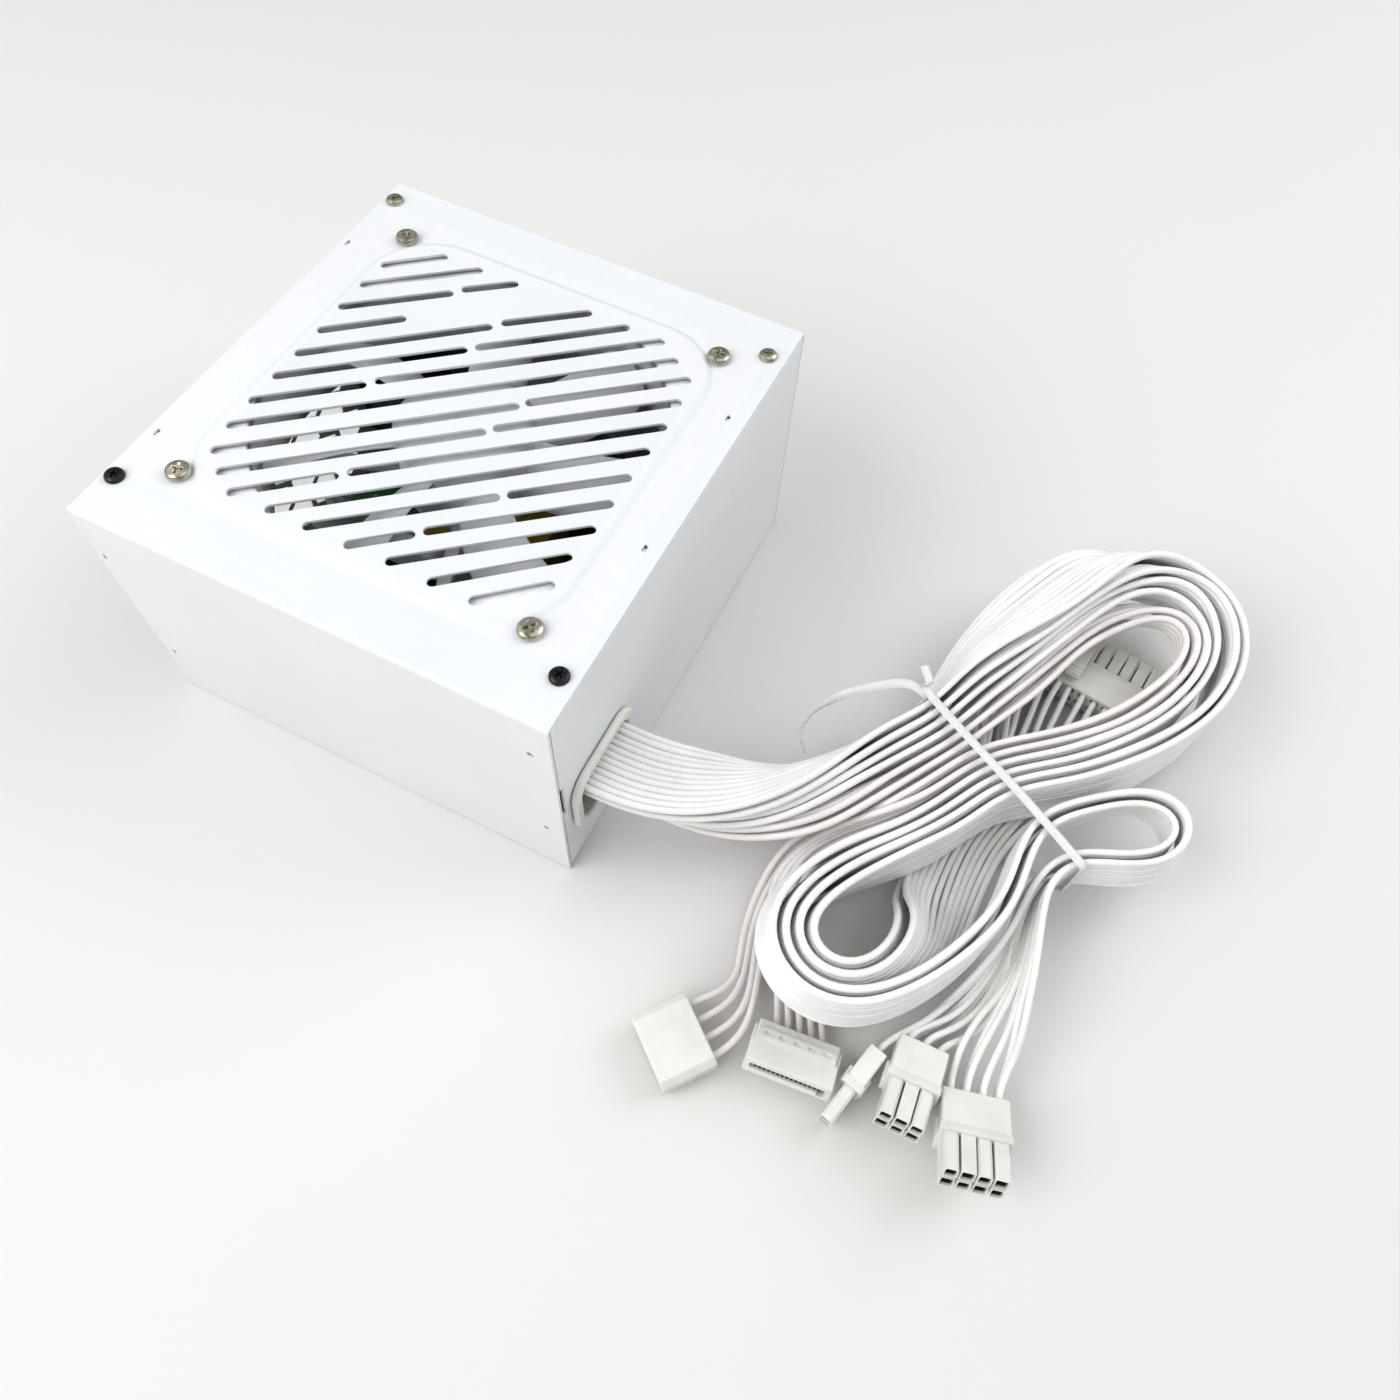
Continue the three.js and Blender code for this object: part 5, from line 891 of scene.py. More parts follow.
# Centre line of each flat cable from the case to its plug, every few millimetres.
# Each station is x y z of the centre, then x y z of the width direction.
PATHS = {
    "cable_main_a": stations("""
56.96 -54 39.5 0 -1 0  61.97 -53.98 39.52 0 -1 0  66.98 -53.99 39.52 0 -1 0
71.98 -54.01 39.48 -.01 -1 0  76.99 -53.99 39.36 .02 -1 0  81.98 -53.56 39 .08 -.997 .016
86.94 -52.51 38.35 .184 -.982 .047  91.79 -50.82 37.53 .301 -.949 .096
96.49 -48.54 36.59 .421 -.891 .168  100.96 -45.78 35.51 .533 -.803 .266
105.17 -42.68 34.25 .616 -.692 .376  109.12 -39.34 32.84 .662 -.563 .494
112.83 -35.88 31.35 .667 -.43 .609  116.3 -32.31 29.93 .633 -.321 .705
119.53 -28.6 28.67 .572 -.226 .789  122.56 -24.78 27.52 .502 -.141 .853
125.54 -20.93 26.38 .43 -.07 .9  128.47 -17 25.34 .349 -.03 .937
131.23 -12.91 24.51 .271 -.01 .963  133.93 -8.75 23.82 .219 .01 .976
136.75 -4.67 23.15 .19 .03 .981  139.78 -.75 22.44 .161 .06 .985
142.84 3.15 21.7 .12 .08 .99  145.33 7.45 21.39 .03 -.06 .998  146.41 12.25 22.21 .09 -.26 .961
146.93 17.02 23.63 .18 -.32 .93  147.67 21.7 25.23 .249 -.368 .896
148.84 26.29 26.91 .288 -.433 .854  150.33 30.78 28.7 .318 -.507 .801
152.17 35.09 30.54 .359 -.553 .752  154.73 40.13 32.6 .42 -.574 .703
157.05 44.32 34.05 .487 -.565 .666  159.39 48.59 35.14 .559 -.531 .636
161.71 52.96 35.87 .609 -.504 .612  163.98 57.41 36.3 .653 -.471 .593
166.18 61.92 36.49 .673 -.452 .585  168.35 66.45 36.47 .692 -.421 .587
170.55 70.96 36.24 .681 -.41 .607  172.88 75.35 35.77 .662 -.391 .639
175.45 79.52 35.02 .629 -.389 .673  178.32 83.38 34 .59 -.38 .712
181.54 86.8 32.77 .536 -.374 .757  185.14 89.67 31.44 .467 -.373 .801
189.12 91.92 30.12 .381 -.365 .849  193.42 93.45 28.91 .298 -.359 .884
197.97 94.23 27.84 .218 -.328 .919  202.64 94.18 26.9 .159 -.3 .941
207.31 93.19 26.06 .1 -.262 .96  211.78 91.23 25.28 .067 -.219 .973
215.87 88.29 24.54 .055 -.179 .982  219.41 84.56 23.86 .042 -.147 .988
222.32 80.19 23.28 .038 -.105 .994  224.5 75.34 22.87 .025 -.063 .998
225.87 70.19 22.64 .022 -.031 .999  226.49 64.9 22.54 .01 -.01 1  226.42 59.63 22.51 0 0 1
225.77 54.45 22.48 -.009 0 1  224.6 49.42 22.44 -.018 -.011 1  223.03 44.55 22.38 -.019 -.001 1
221.12 39.87 22.32 -.029 .01 1  218.93 35.35 22.27 -.04 .02 .999
216.49 30.99 22.24 -.041 .03 .999  213.86 26.8 22.21 -.05 .03 .998
211.01 22.78 22.15 -.06 .03 .998  207.97 18.94 22.06 -.06 .03 .998
204.71 15.31 21.92 -.069 .03 .997  201.31 11.84 21.74 -.068 .019 .997
197.84 8.43 21.56 -.059 .019 .998  194.22 5.16 21.39 -.049 .009 .999
190.34 2.13 21.25 -.04 .01 .999  186.22 -.7 21.16 -.02 .01 1  182.14 -3.6 21.12 -.01 .01 1
178.33 -6.85 21.11 0 0 1  175.09 -10.65 21.12 0 0 1  172.6 -14.99 21.15 .01 .01 1
170.41 -19.49 21.22 .01 .02 1  168.05 -23.9 21.37 .02 .04 .999
165.41 -28.14 21.68 .05 .08 .996  162.42 -32.11 22.24 .07 .09 .993
159.17 -35.9 22.55 0 -.02 1  155.9 -39.66 22.1 -.06 -.13 .99
152.58 -43.36 21.47 -.01 -.11 .994  149.21 -47.05 21.17 .05 -.1 .994
145.98 -50.87 21.02 .1 -.1 .99  143.06 -54.93 21.03 .161 -.08 .984
140.54 -59.25 21.21 .2 -.06 .978  138.75 -63.91 21.31 .209 -.05 .977
138.55 -68.88 21.24 .2 .01 .98  140.42 -73.47 21.17 .151 .1 .983
145.08 -77.12 21.12 .07 .159 .985  149.99 -77.92 21.07 0 .171 .985
154.91 -77.15 21.1 -.06 .159 .985  159.18 -74.6 21.02 -.09 .17 .981
162.47 -70.87 20.62 -.12 .229 .966  164.88 -66.6 19.67 -.179 .358 .916
166.23 -62.18 17.8 -.329 .519 .789  166.89 -58.36 14.67 -.48 .691 .541
167.89 -54.89 11.22 -.65 .58 .49  169.02 -50.68 8.78 -.842 .371 .391
169.75 -46.15 6.77 -.938 .23 .259  170.24 -41.49 5.02 -.979 .14 .15
170.67 -36.64 3.89 -.992 .1 .07  171.11 -31.66 3.54 -.997 .08 .02
171.49 -26.67 3.52 -.998 .06 0  171.81 -21.68 3.46 -.998 .07 -.01
172.32 -16.7 3.41 -.99 .14 0  173.2 -11.77 3.39 -.976 .219 0  174.45 -6.92 3.39 -.96 .28 0
175.89 -2.13 3.4 -.954 .298 0  177.36 2.66 3.4 -.957 .289 0  178.74 7.47 3.39 -.963 .27 0
179.84 12.42 3.37 -.972 .235 0  180.65 17.5 3.36 -.977 .213 0  181.33 22.64 3.39 -.98 .2 0
181.87 27.81 3.45 -.984 .179 0  182.35 33.01 3.53 -.986 .168 0  182.75 38.22 3.58 -.988 .157 0
183.1 43.46 3.5 -.989 .145 0  183.4 48.7 3.3 -.99 .144 0"""),
    "cable_main_b": stations("""
56.98 -54 36.5 0 -1 0  61.98 -53.98 36.52 0 -1 0  66.99 -53.99 36.52 0 -1 0
71.99 -54.01 36.48 -.01 -1 0  77 -54 36.36 .01 -1 0  81.99 -53.62 35.99 .07 -.997 .017
86.95 -52.67 35.29 .152 -.987 .049  91.84 -51.17 34.34 .249 -.963 .101
96.62 -49.19 33.25 .347 -.919 .185  101.24 -46.8 32.05 .448 -.847 .286
105.68 -44.07 30.82 .533 -.746 .4  109.91 -41.07 29.59 .572 -.634 .52
113.91 -37.89 28.46 .58 -.511 .634  117.66 -34.5 27.49 .557 -.4 .728
121.11 -30.92 26.72 .509 -.299 .807  124.3 -27.14 25.98 .458 -.199 .866
127.4 -23.28 25.21 .391 -.13 .911  130.43 -19.37 24.48 .321 -.08 .944
133.31 -15.32 23.86 .261 -.04 .964  136.08 -11.18 23.33 .209 -.02 .978
139.5 -6.29 22.68 .169 .01 .986  142.55 -2.37 22.09 .14 .04 .989
145.62 1.54 21.5 .1 .05 .994  148.14 5.84 21.25 .04 -.03 .999
149.59 10.6 21.65 .08 -.161 .984  150.3 15.46 22.6 .171 -.251 .953
151.01 20.26 23.84 .241 -.301 .923  152.14 24.96 25.21 .298 -.374 .878
153.62 29.57 26.71 .344 -.456 .821  155.41 34.03 28.23 .388 -.507 .77
157.45 38.41 29.67 .446 -.524 .726  159.63 42.75 30.91 .514 -.525 .679
161.83 47.16 31.86 .58 -.503 .641  164.01 51.63 32.51 .626 -.482 .613
166.19 56.14 32.9 .662 -.46 .592  168.34 60.68 33.1 .681 -.44 .585
170.51 65.21 33.11 .684 -.432 .588  172.76 69.68 32.93 .671 -.43 .604
175.21 74 32.53 .641 -.42 .643  177.95 78.07 31.89 .595 -.422 .684
181.02 81.75 31.01 .545 -.412 .731  184.47 84.94 29.95 .471 -.406 .783
188.33 87.5 28.85 .393 -.396 .83  192.54 89.37 27.8 .297 -.377 .877
197.05 90.43 26.88 .211 -.342 .916  201.72 90.6 26.07 .141 -.301 .943
206.42 89.75 25.34 .089 -.25 .964  210.9 87.75 24.67 .048 -.21 .977
214.89 84.64 24.02 .033 -.158 .987  218.24 80.66 23.46 .03 -.116 .993
220.79 76.03 23.02 .026 -.073 .997  222.47 70.97 22.74 .023 -.042 .999
223.28 65.7 22.6 .011 -.021 1  223.3 60.43 22.52 .001 -.011 1  222.66 55.24 22.46 -.009 -.011 1
221.48 50.22 22.38 -.018 -.011 1  219.86 45.38 22.29 -.028 -.011 1
217.88 40.73 22.21 -.028 -.001 1  215.65 36.24 22.13 -.039 .009 .999
213.19 31.92 22.07 -.049 .02 .999  209.96 26.94 21.98 -.06 .03 .998
207.05 22.98 21.89 -.06 .03 .998  203.94 19.2 21.77 -.069 .03 .997
200.66 15.59 21.62 -.069 .03 .997  197.23 12.16 21.46 -.059 .019 .998
193.62 8.9 21.31 -.049 .02 .999  189.84 5.82 21.2 -.03 .02 .999
185.83 2.92 21.14 -.02 .02 1  181.73 .05 21.12 -.01 .01 1  177.76 -3 21.11 -.01 0 1
174.21 -6.52 21.11 0 0 1  171.34 -10.61 21.13 0 0 1  169.01 -15.04 21.17 .01 .01 1
166.8 -19.53 21.25 .01 .02 1  164.35 -23.89 21.38 .01 .03 1  161.6 -28.07 21.55 .01 .03 1
158.55 -32.04 21.63 0 0 1  155.3 -35.84 21.58 .01 -.03 1  151.88 -39.5 21.52 .03 -.04 .999
148.41 -43.1 21.49 .06 -.06 .996  145.05 -46.82 21.48 .09 -.08 .993
141.93 -50.72 21.48 .13 -.09 .987  139.15 -54.89 21.5 .16 -.09 .983
136.84 -59.32 21.48 .19 -.09 .978  135.31 -64.08 21.44 .209 -.05 .977
135.1 -69.06 21.45 .2 .03 .979  136.68 -73.77 21.53 .15 .11 .982
139.82 -77.64 21.62 .11 .141 .984  143.98 -80.38 21.65 .07 .159 .985
148.87 -81.25 21.64 0 .171 .985  153.84 -80.66 21.64 -.04 .171 .984
158.53 -78.99 21.65 -.09 .151 .984  162.44 -75.89 21.63 -.13 .14 .982
165.79 -72.17 21.69 -.2 .13 .971  168.71 -68.12 21.91 -.28 .13 .951
170.8 -63.6 21.71 -.339 .249 .907  171.88 -58.91 20.41 -.471 .391 .791
172.28 -54.51 18.09 -.643 .432 .633  172.37 -50.32 15.34 -.813 .311 .492
171.88 -45.44 11.88 -.95 .09 .3  171.58 -41.38 8.98 -.98 .1 .17
171.62 -36.74 7.18 -.997 .01 .08  171.52 -31.77 6.7 -1 -.02 .02  171.55 -26.76 6.68 -1 .03 0
171.79 -21.76 6.62 -.998 .07 -.01  172.3 -16.78 6.55 -.99 .14 0  173.18 -11.86 6.5 -.976 .219 0
174.43 -7.01 6.46 -.963 .271 0  175.87 -2.22 6.46 -.957 .289 0  177.34 2.57 6.5 -.957 .289 0
178.72 7.38 6.55 -.963 .27 0  179.82 12.32 6.59 -.972 .235 0  180.64 17.39 6.61 -.977 .214 0
181.31 22.53 6.6 -.98 .2 0  181.86 27.7 6.59 -.984 .179 0  182.34 32.91 6.6 -.986 .168 0
182.74 38.12 6.69 -.988 .157 0  183.09 43.34 7 -.989 .145 0  183.39 48.55 7.5 -.99 .144 0"""),
    "cable_cpu": stations("""
56.99 -54 33.5 0 -1 0  62 -53.99 33.52 0 -1 0  67.01 -53.99 33.52 0 -1 0
72.01 -54.01 33.48 -.01 -1 0  77.02 -54.02 33.36 0 -1 0  82.02 -53.74 32.98 .04 -.999 .018
87 -53.05 32.26 .081 -.995 .055  91.95 -51.96 31.28 .143 -.983 .119
96.86 -50.53 30.21 .218 -.956 .196  101.7 -48.72 29.2 .304 -.903 .305
106.43 -46.54 28.37 .377 -.826 .418  110.99 -44.01 27.75 .428 -.735 .525
115.32 -41.2 27.29 .451 -.633 .629  119.35 -38.12 27.05 .452 -.528 .719
123.06 -34.76 26.95 .438 -.418 .796  126.42 -31.05 26.88 .4 -.32 .859
129.53 -27.13 26.78 .349 -.23 .908  132.52 -23.12 26.57 .3 -.16 .94
135.39 -19.02 26.27 .251 -.1 .963  138.13 -14.84 25.95 .209 -.06 .976
140.86 -10.66 25.62 .169 -.03 .985  143.73 -6.58 25.23 .14 0 .99
146.7 -2.57 24.79 .11 .03 .993  149.52 1.55 24.41 .07 .02 .997
151.83 5.98 24.28 .05 -.03 .998  153.35 10.74 24.55 .1 -.12 .988
154.46 15.59 25.11 .189 -.17 .967  155.68 20.38 25.84 .272 -.241 .932
157.17 25.14 26.71 .345 -.322 .882  158.94 29.8 27.62 .41 -.386 .826
160.92 34.36 28.49 .47 -.425 .773  162.98 38.88 29.26 .54 -.445 .715
165.03 43.45 29.87 .596 -.433 .676  167.06 48.05 30.3 .642 -.431 .634
169.09 52.67 30.59 .671 -.43 .604  171.16 57.25 30.77 .681 -.44 .585
173.31 61.8 30.86 .673 -.452 .585  175.6 66.25 30.86 .652 -.46 .602
178.13 70.53 30.75 .61 -.475 .635  180.99 74.53 30.51 .551 -.484 .68
184.22 78.13 30.13 .475 -.476 .74  187.85 81.23 29.63 .378 -.457 .805
191.88 83.67 29.09 .281 -.418 .864  196.27 85.32 28.58 .185 -.372 .91
200.92 86.01 28.11 .114 -.312 .943  205.65 85.54 27.65 .051 -.242 .969
210.17 83.61 27.18 .016 -.179 .984  214.09 80.34 26.73 .02 -.116 .993
217.15 76.09 26.32 .026 -.073 .997  219.17 71.16 26.03 .023 -.042 .999
220.12 65.93 25.85 .012 -.031 .999  220.15 60.64 25.74 .002 -.021 1
219.43 55.49 25.63 -.008 -.021 1  218.13 50.51 25.51 -.027 -.022 .999
216.38 45.73 25.38 -.028 -.011 1  214.3 41.15 25.27 -.038 -.001 .999
211.97 36.72 25.16 -.048 .009 .999  209.43 32.45 25.05 -.059 .019 .998
206.67 28.36 24.94 -.06 .03 .998  203.71 24.43 24.83 -.069 .03 .997
200.57 20.68 24.7 -.069 .03 .997  197.27 17.11 24.56 -.06 .03 .998
193.8 13.72 24.42 -.05 .03 .998  190.17 10.48 24.31 -.04 .02 .999
186.37 7.41 24.23 -.03 .02 .999  182.36 4.5 24.18 -.02 .01 1  178.31 1.55 24.16 -.01 .01 1
174.46 -1.65 24.17 0 .01 1  171.05 -5.3 24.2 .01 .01 1  168.3 -9.48 24.26 .01 .01 1
165.57 -14.83 24.36 .01 .02 1  163.29 -19.29 24.46 .01 .02 1  160.77 -23.61 24.56 .01 .02 1
157.99 -27.77 24.68 .01 .02 1  155 -31.79 24.79 .02 .01 1  151.76 -35.6 24.88 .04 -.02 .999
148.26 -39.18 24.93 .06 -.04 .997  144.77 -42.77 24.99 .08 -.06 .995
141.53 -46.58 25.06 .12 -.07 .99  138.58 -50.63 25.14 .149 -.08 .986
136 -54.92 25.19 .18 -.09 .98  133.91 -59.46 25.21 .199 -.07 .977
132.58 -64.28 25.21 .209 -.04 .977  132.41 -69.27 25.21 .209 .03 .977
133.75 -74.07 25.25 .17 .09 .981  136.49 -78.23 25.3 .131 .121 .984
140.3 -81.45 25.32 .09 .149 .985  144.86 -83.49 25.32 .05 .159 .986
149.8 -84.15 25.32 0 .171 .985  154.74 -83.43 25.32 -.05 .171 .984
159.36 -81.53 25.32 -.08 .151 .985  163.47 -78.69 25.3 -.1 .13 .987
167.09 -75.24 25.28 -.11 .11 .988  170.36 -71.44 25.28 -.12 .09 .989
173.31 -67.4 25.27 -.11 .08 .991  175.89 -63.11 25.21 -.09 .07 .993
178.2 -58.67 25.14 -.08 .05 .996  180.26 -54.1 25.09 -.07 .04 .997
182.01 -49.42 25.03 -.05 .03 .998  183.41 -44.61 24.95 -.03 .02 .999
184.39 -39.7 24.85 -.01 .02 1  184.86 -34.72 24.74 0 .02 1  184.86 -29.72 24.62 0 .03 1
184.59 -24.72 24.49 -.01 .03 1  184.48 -19.72 24.36 -.01 .02 1  185.08 -14.76 24.24 0 .02 1
186.81 -10.08 24.16 .02 .01 1  189.71 -6.01 24.13 .03 -.03 .999
193.22 -2.44 24.24 .03 -.09 .996  196.87 .93 24.52 .035 -.153 .988
200.43 4.3 24.95 .051 -.196 .979  204.06 7.5 25.34 .093 -.228 .969
207.88 10.44 25.54 .135 -.258 .957  212.05 12.72 25.51 .139 -.309 .941
216.65 13.82 25.33 .086 -.353 .932  221.38 13.14 25.06 -.029 -.339 .94
225.49 10.26 24.76 -.152 -.237 .96  227.84 5.58 24.48 -.194 -.101 .976
228 .37 24.23 -.173 -.005 .985  226.3 -4.39 24 -.128 .039 .991
223.28 -8.27 23.77 -.1 .05 .994  219.35 -11.12 23.55 -.07 .04 .997
214.82 -13.15 23.36 -.05 .03 .998  210.14 -14.93 23.23 -.03 .02 .999
205.48 -16.76 23.17 -.01 .02 1  200.66 -18.09 23.22 .01 .01 1
196.73 -20.97 23.13 -.02 -.05 .999  195.57 -25.78 22.76 .01 -.09 .996
195.58 -30.77 22.29 .03 -.1 .994  196.03 -35.72 21.76 .06 -.11 .992
196.69 -40.65 21.17 .1 -.11 .989  197.31 -45.58 20.54 .16 -.11 .981
197.65 -50.53 19.85 .231 -.14 .963  197.66 -55.45 18.97 .331 -.2 .922
197.55 -60.32 17.79 .48 -.25 .841  197.48 -65.08 16.25 .68 -.25 .69
197.51 -69.75 14.45 .871 -.17 .461  197.6 -74.43 12.67 .969 -.06 .24
197.76 -79.2 11.15 .996 .01 .09  197.97 -84.01 9.8 .999 .04 .02"""),
    "cable_gpu": stations("""
57.01 -54 30.5 0 -1 0  62.01 -53.99 30.52 0 -1 0  67.01 -53.99 30.52 0 -1 0
72.01 -54.01 30.48 -.01 -1 0  77.01 -54.03 30.36 0 -1 .01  82 -53.81 29.98 .02 -1 .019
86.98 -53.22 29.26 .06 -.996 .066  91.94 -52.3 28.27 .111 -.986 .121
96.87 -51.09 27.19 .164 -.964 .209  101.78 -49.57 26.23 .228 -.923 .309
106.61 -47.71 25.5 .291 -.859 .421  111.3 -45.52 25.04 .351 -.775 .525
115.78 -43 24.83 .378 -.677 .631  120.01 -40.23 24.83 .392 -.582 .713
123.95 -37.16 24.93 .389 -.478 .787  127.51 -33.65 25.08 .369 -.379 .848
130.74 -29.83 25.22 .33 -.29 .899  133.81 -25.89 25.28 .281 -.221 .934
136.82 -21.9 25.26 .239 -.16 .958  139.73 -17.83 25.16 .201 -.11 .973
142.55 -13.71 24.99 .161 -.06 .985  145.42 -9.62 24.76 .13 -.03 .991
148.37 -5.59 24.46 .1 0 .995  151.83 -.7 24.11 .07 .02 .997  154.28 3.65 23.92 .06 0 .998
156.07 8.31 23.91 .09 -.04 .995  157.38 13.14 24.04 .17 -.08 .982
158.63 17.97 24.31 .259 -.139 .956  160.04 22.8 24.71 .352 -.221 .91
161.68 27.57 25.19 .423 -.301 .855  163.53 32.24 25.71 .494 -.352 .795
165.44 36.9 26.18 .562 -.381 .734  167.33 41.57 26.58 .619 -.389 .683
169.18 46.28 26.88 .662 -.391 .639  171.07 50.97 27.11 .681 -.41 .607
173.04 55.61 27.28 .684 -.432 .588  175.16 60.18 27.4 .673 -.452 .585
177.48 64.6 27.48 .636 -.482 .603  180.11 68.78 27.5 .578 -.511 .637
183.12 72.63 27.47 .498 -.527 .689  186.53 76.04 27.37 .402 -.518 .755
190.36 78.87 27.23 .288 -.482 .828  194.57 80.99 27.08 .188 -.422 .887
199.1 82.24 26.92 .098 -.345 .934  203.84 82.28 26.74 .023 -.253 .967
208.44 80.65 26.52 -.014 -.159 .987  212.35 77.38 26.25 -.002 -.085 .996
215.15 72.9 26 .014 -.053 .999  216.69 67.81 25.78 .023 -.042 .999
217.06 62.54 25.6 .003 -.032 .999  216.53 57.34 25.44 -.007 -.032 .999
215.3 52.35 25.27 -.027 -.022 .999  213.58 47.57 25.11 -.036 -.022 .999
211.52 42.98 24.96 -.037 -.012 .999  209.21 38.55 24.81 -.047 -.001 .999
206.67 34.28 24.66 -.058 .009 .998  203.93 30.18 24.53 -.068 .019 .997
200.99 26.26 24.39 -.069 .03 .997  197.84 22.53 24.26 -.06 .03 .998
194.51 18.99 24.14 -.06 .03 .998  191.01 15.63 24.04 -.05 .03 .998
187.37 12.43 23.96 -.031 .031 .999  183.57 9.39 23.92 -.02 .02 1
179.59 6.46 23.91 -.01 .02 1  175.57 3.48 23.92 0 .01 1  171.78 .23 23.96 0 .01 1
168.43 -3.48 24.01 .01 .01 1  165.66 -7.64 24.07 .01 .01 1  162.92 -12.97 24.16 .01 .01 1
160.66 -17.43 24.24 .01 .02 1  158.19 -21.78 24.34 .01 .02 1  155.49 -25.99 24.43 .01 .02 1
152.6 -30.07 24.54 .03 .01 1  149.4 -33.9 24.73 .06 .01 .998
145.8 -37.36 24.96 .08 -.02 .997  142.18 -40.81 25.15 .1 -.05 .994
138.89 -44.56 25.33 .13 -.06 .99  135.92 -48.58 25.51 .159 -.07 .985
133.3 -52.84 25.66 .18 -.07 .981  131.14 -57.34 25.74 .199 -.07 .977
129.59 -62.09 25.76 .209 -.05 .977  128.94 -67.04 25.74 .21 -.01 .978
129.47 -72 25.72 .2 .04 .979  131.26 -76.65 25.71 .17 .09 .981
134.16 -80.71 25.71 .131 .121 .984  137.95 -83.95 25.7 .1 .139 .985
142.41 -86.18 25.7 .06 .159 .985  147.27 -87.3 25.7 .02 .171 .985
152.26 -87.27 25.7 -.02 .171 .985  157.12 -86.13 25.71 -.06 .171 .983
161.64 -84 25.7 -.08 .151 .985  165.69 -81.09 25.66 -.1 .13 .987
169.27 -77.6 25.59 -.11 .12 .987  172.47 -73.76 25.52 -.11 .1 .989
175.39 -69.7 25.44 -.1 .09 .991  178.07 -65.48 25.36 -.09 .07 .993
180.45 -61.09 25.3 -.09 .05 .995  182.5 -56.53 25.24 -.07 .05 .996
184.36 -51.88 25.12 -.04 .05 .998  185.99 -47.16 24.93 -.03 .05 .998
187.18 -42.31 24.76 -.01 .03 1  187.89 -37.37 24.62 0 .03 1  188.11 -32.37 24.48 0 .03 1
187.95 -27.38 24.36 0 .02 1  187.68 -22.39 24.25 -.01 .02 1  187.86 -17.4 24.12 0 .03 1
189.18 -12.59 23.96 .02 .03 .999  191.84 -8.39 23.81 .05 -.01 .999
195.33 -4.8 23.76 .05 -.07 .996  198.98 -1.41 23.9 .053 -.132 .99
202.51 2 24.17 .078 -.175 .981  206.14 5.24 24.39 .121 -.207 .971
210.03 8.05 24.39 .162 -.247 .955  214.33 10.06 24.16 .15 -.321 .935
219.98 10.15 23.8 -.009 -.348 .938  223.89 7.13 23.58 -.198 -.165 .966
224.98 2.03 23.47 -.174 .006 .985  223.48 -2.79 23.36 -.119 .049 .992
220.26 -6.45 23.22 -.08 .05 .996  216.17 -9.05 23.07 -.051 .05 .997
211.6 -10.95 22.97 -.03 .03 .999  206.95 -12.78 22.88 -.02 .02 1
202.22 -14.39 22.97 .05 .03 .998  197.48 -15.93 23.12 -.04 -.02 .999
194.19 -19.44 22.2 -.13 -.25 .96  192.72 -23.94 20.64 -.07 -.321 .944
192.16 -28.62 18.99 -.04 -.319 .947  192.08 -33.38 17.45 -.05 -.289 .956
192.22 -38.19 16.1 -.1 -.269 .958  192.37 -43 14.74 -.22 -.29 .931
192.32 -47.75 13.17 -.391 -.291 .873  191.97 -52.44 11.49 -.59 -.21 .78
191.2 -57.12 9.9 -.773 -.04 .633  190.05 -61.73 8.36 -.888 .14 .439
187.68 -65.95 7.24 -.782 .571 .251  184.29 -69.6 7.4 -.673 .733 .1
180.88 -73.13 8.2 -.791 .611 .02"""),
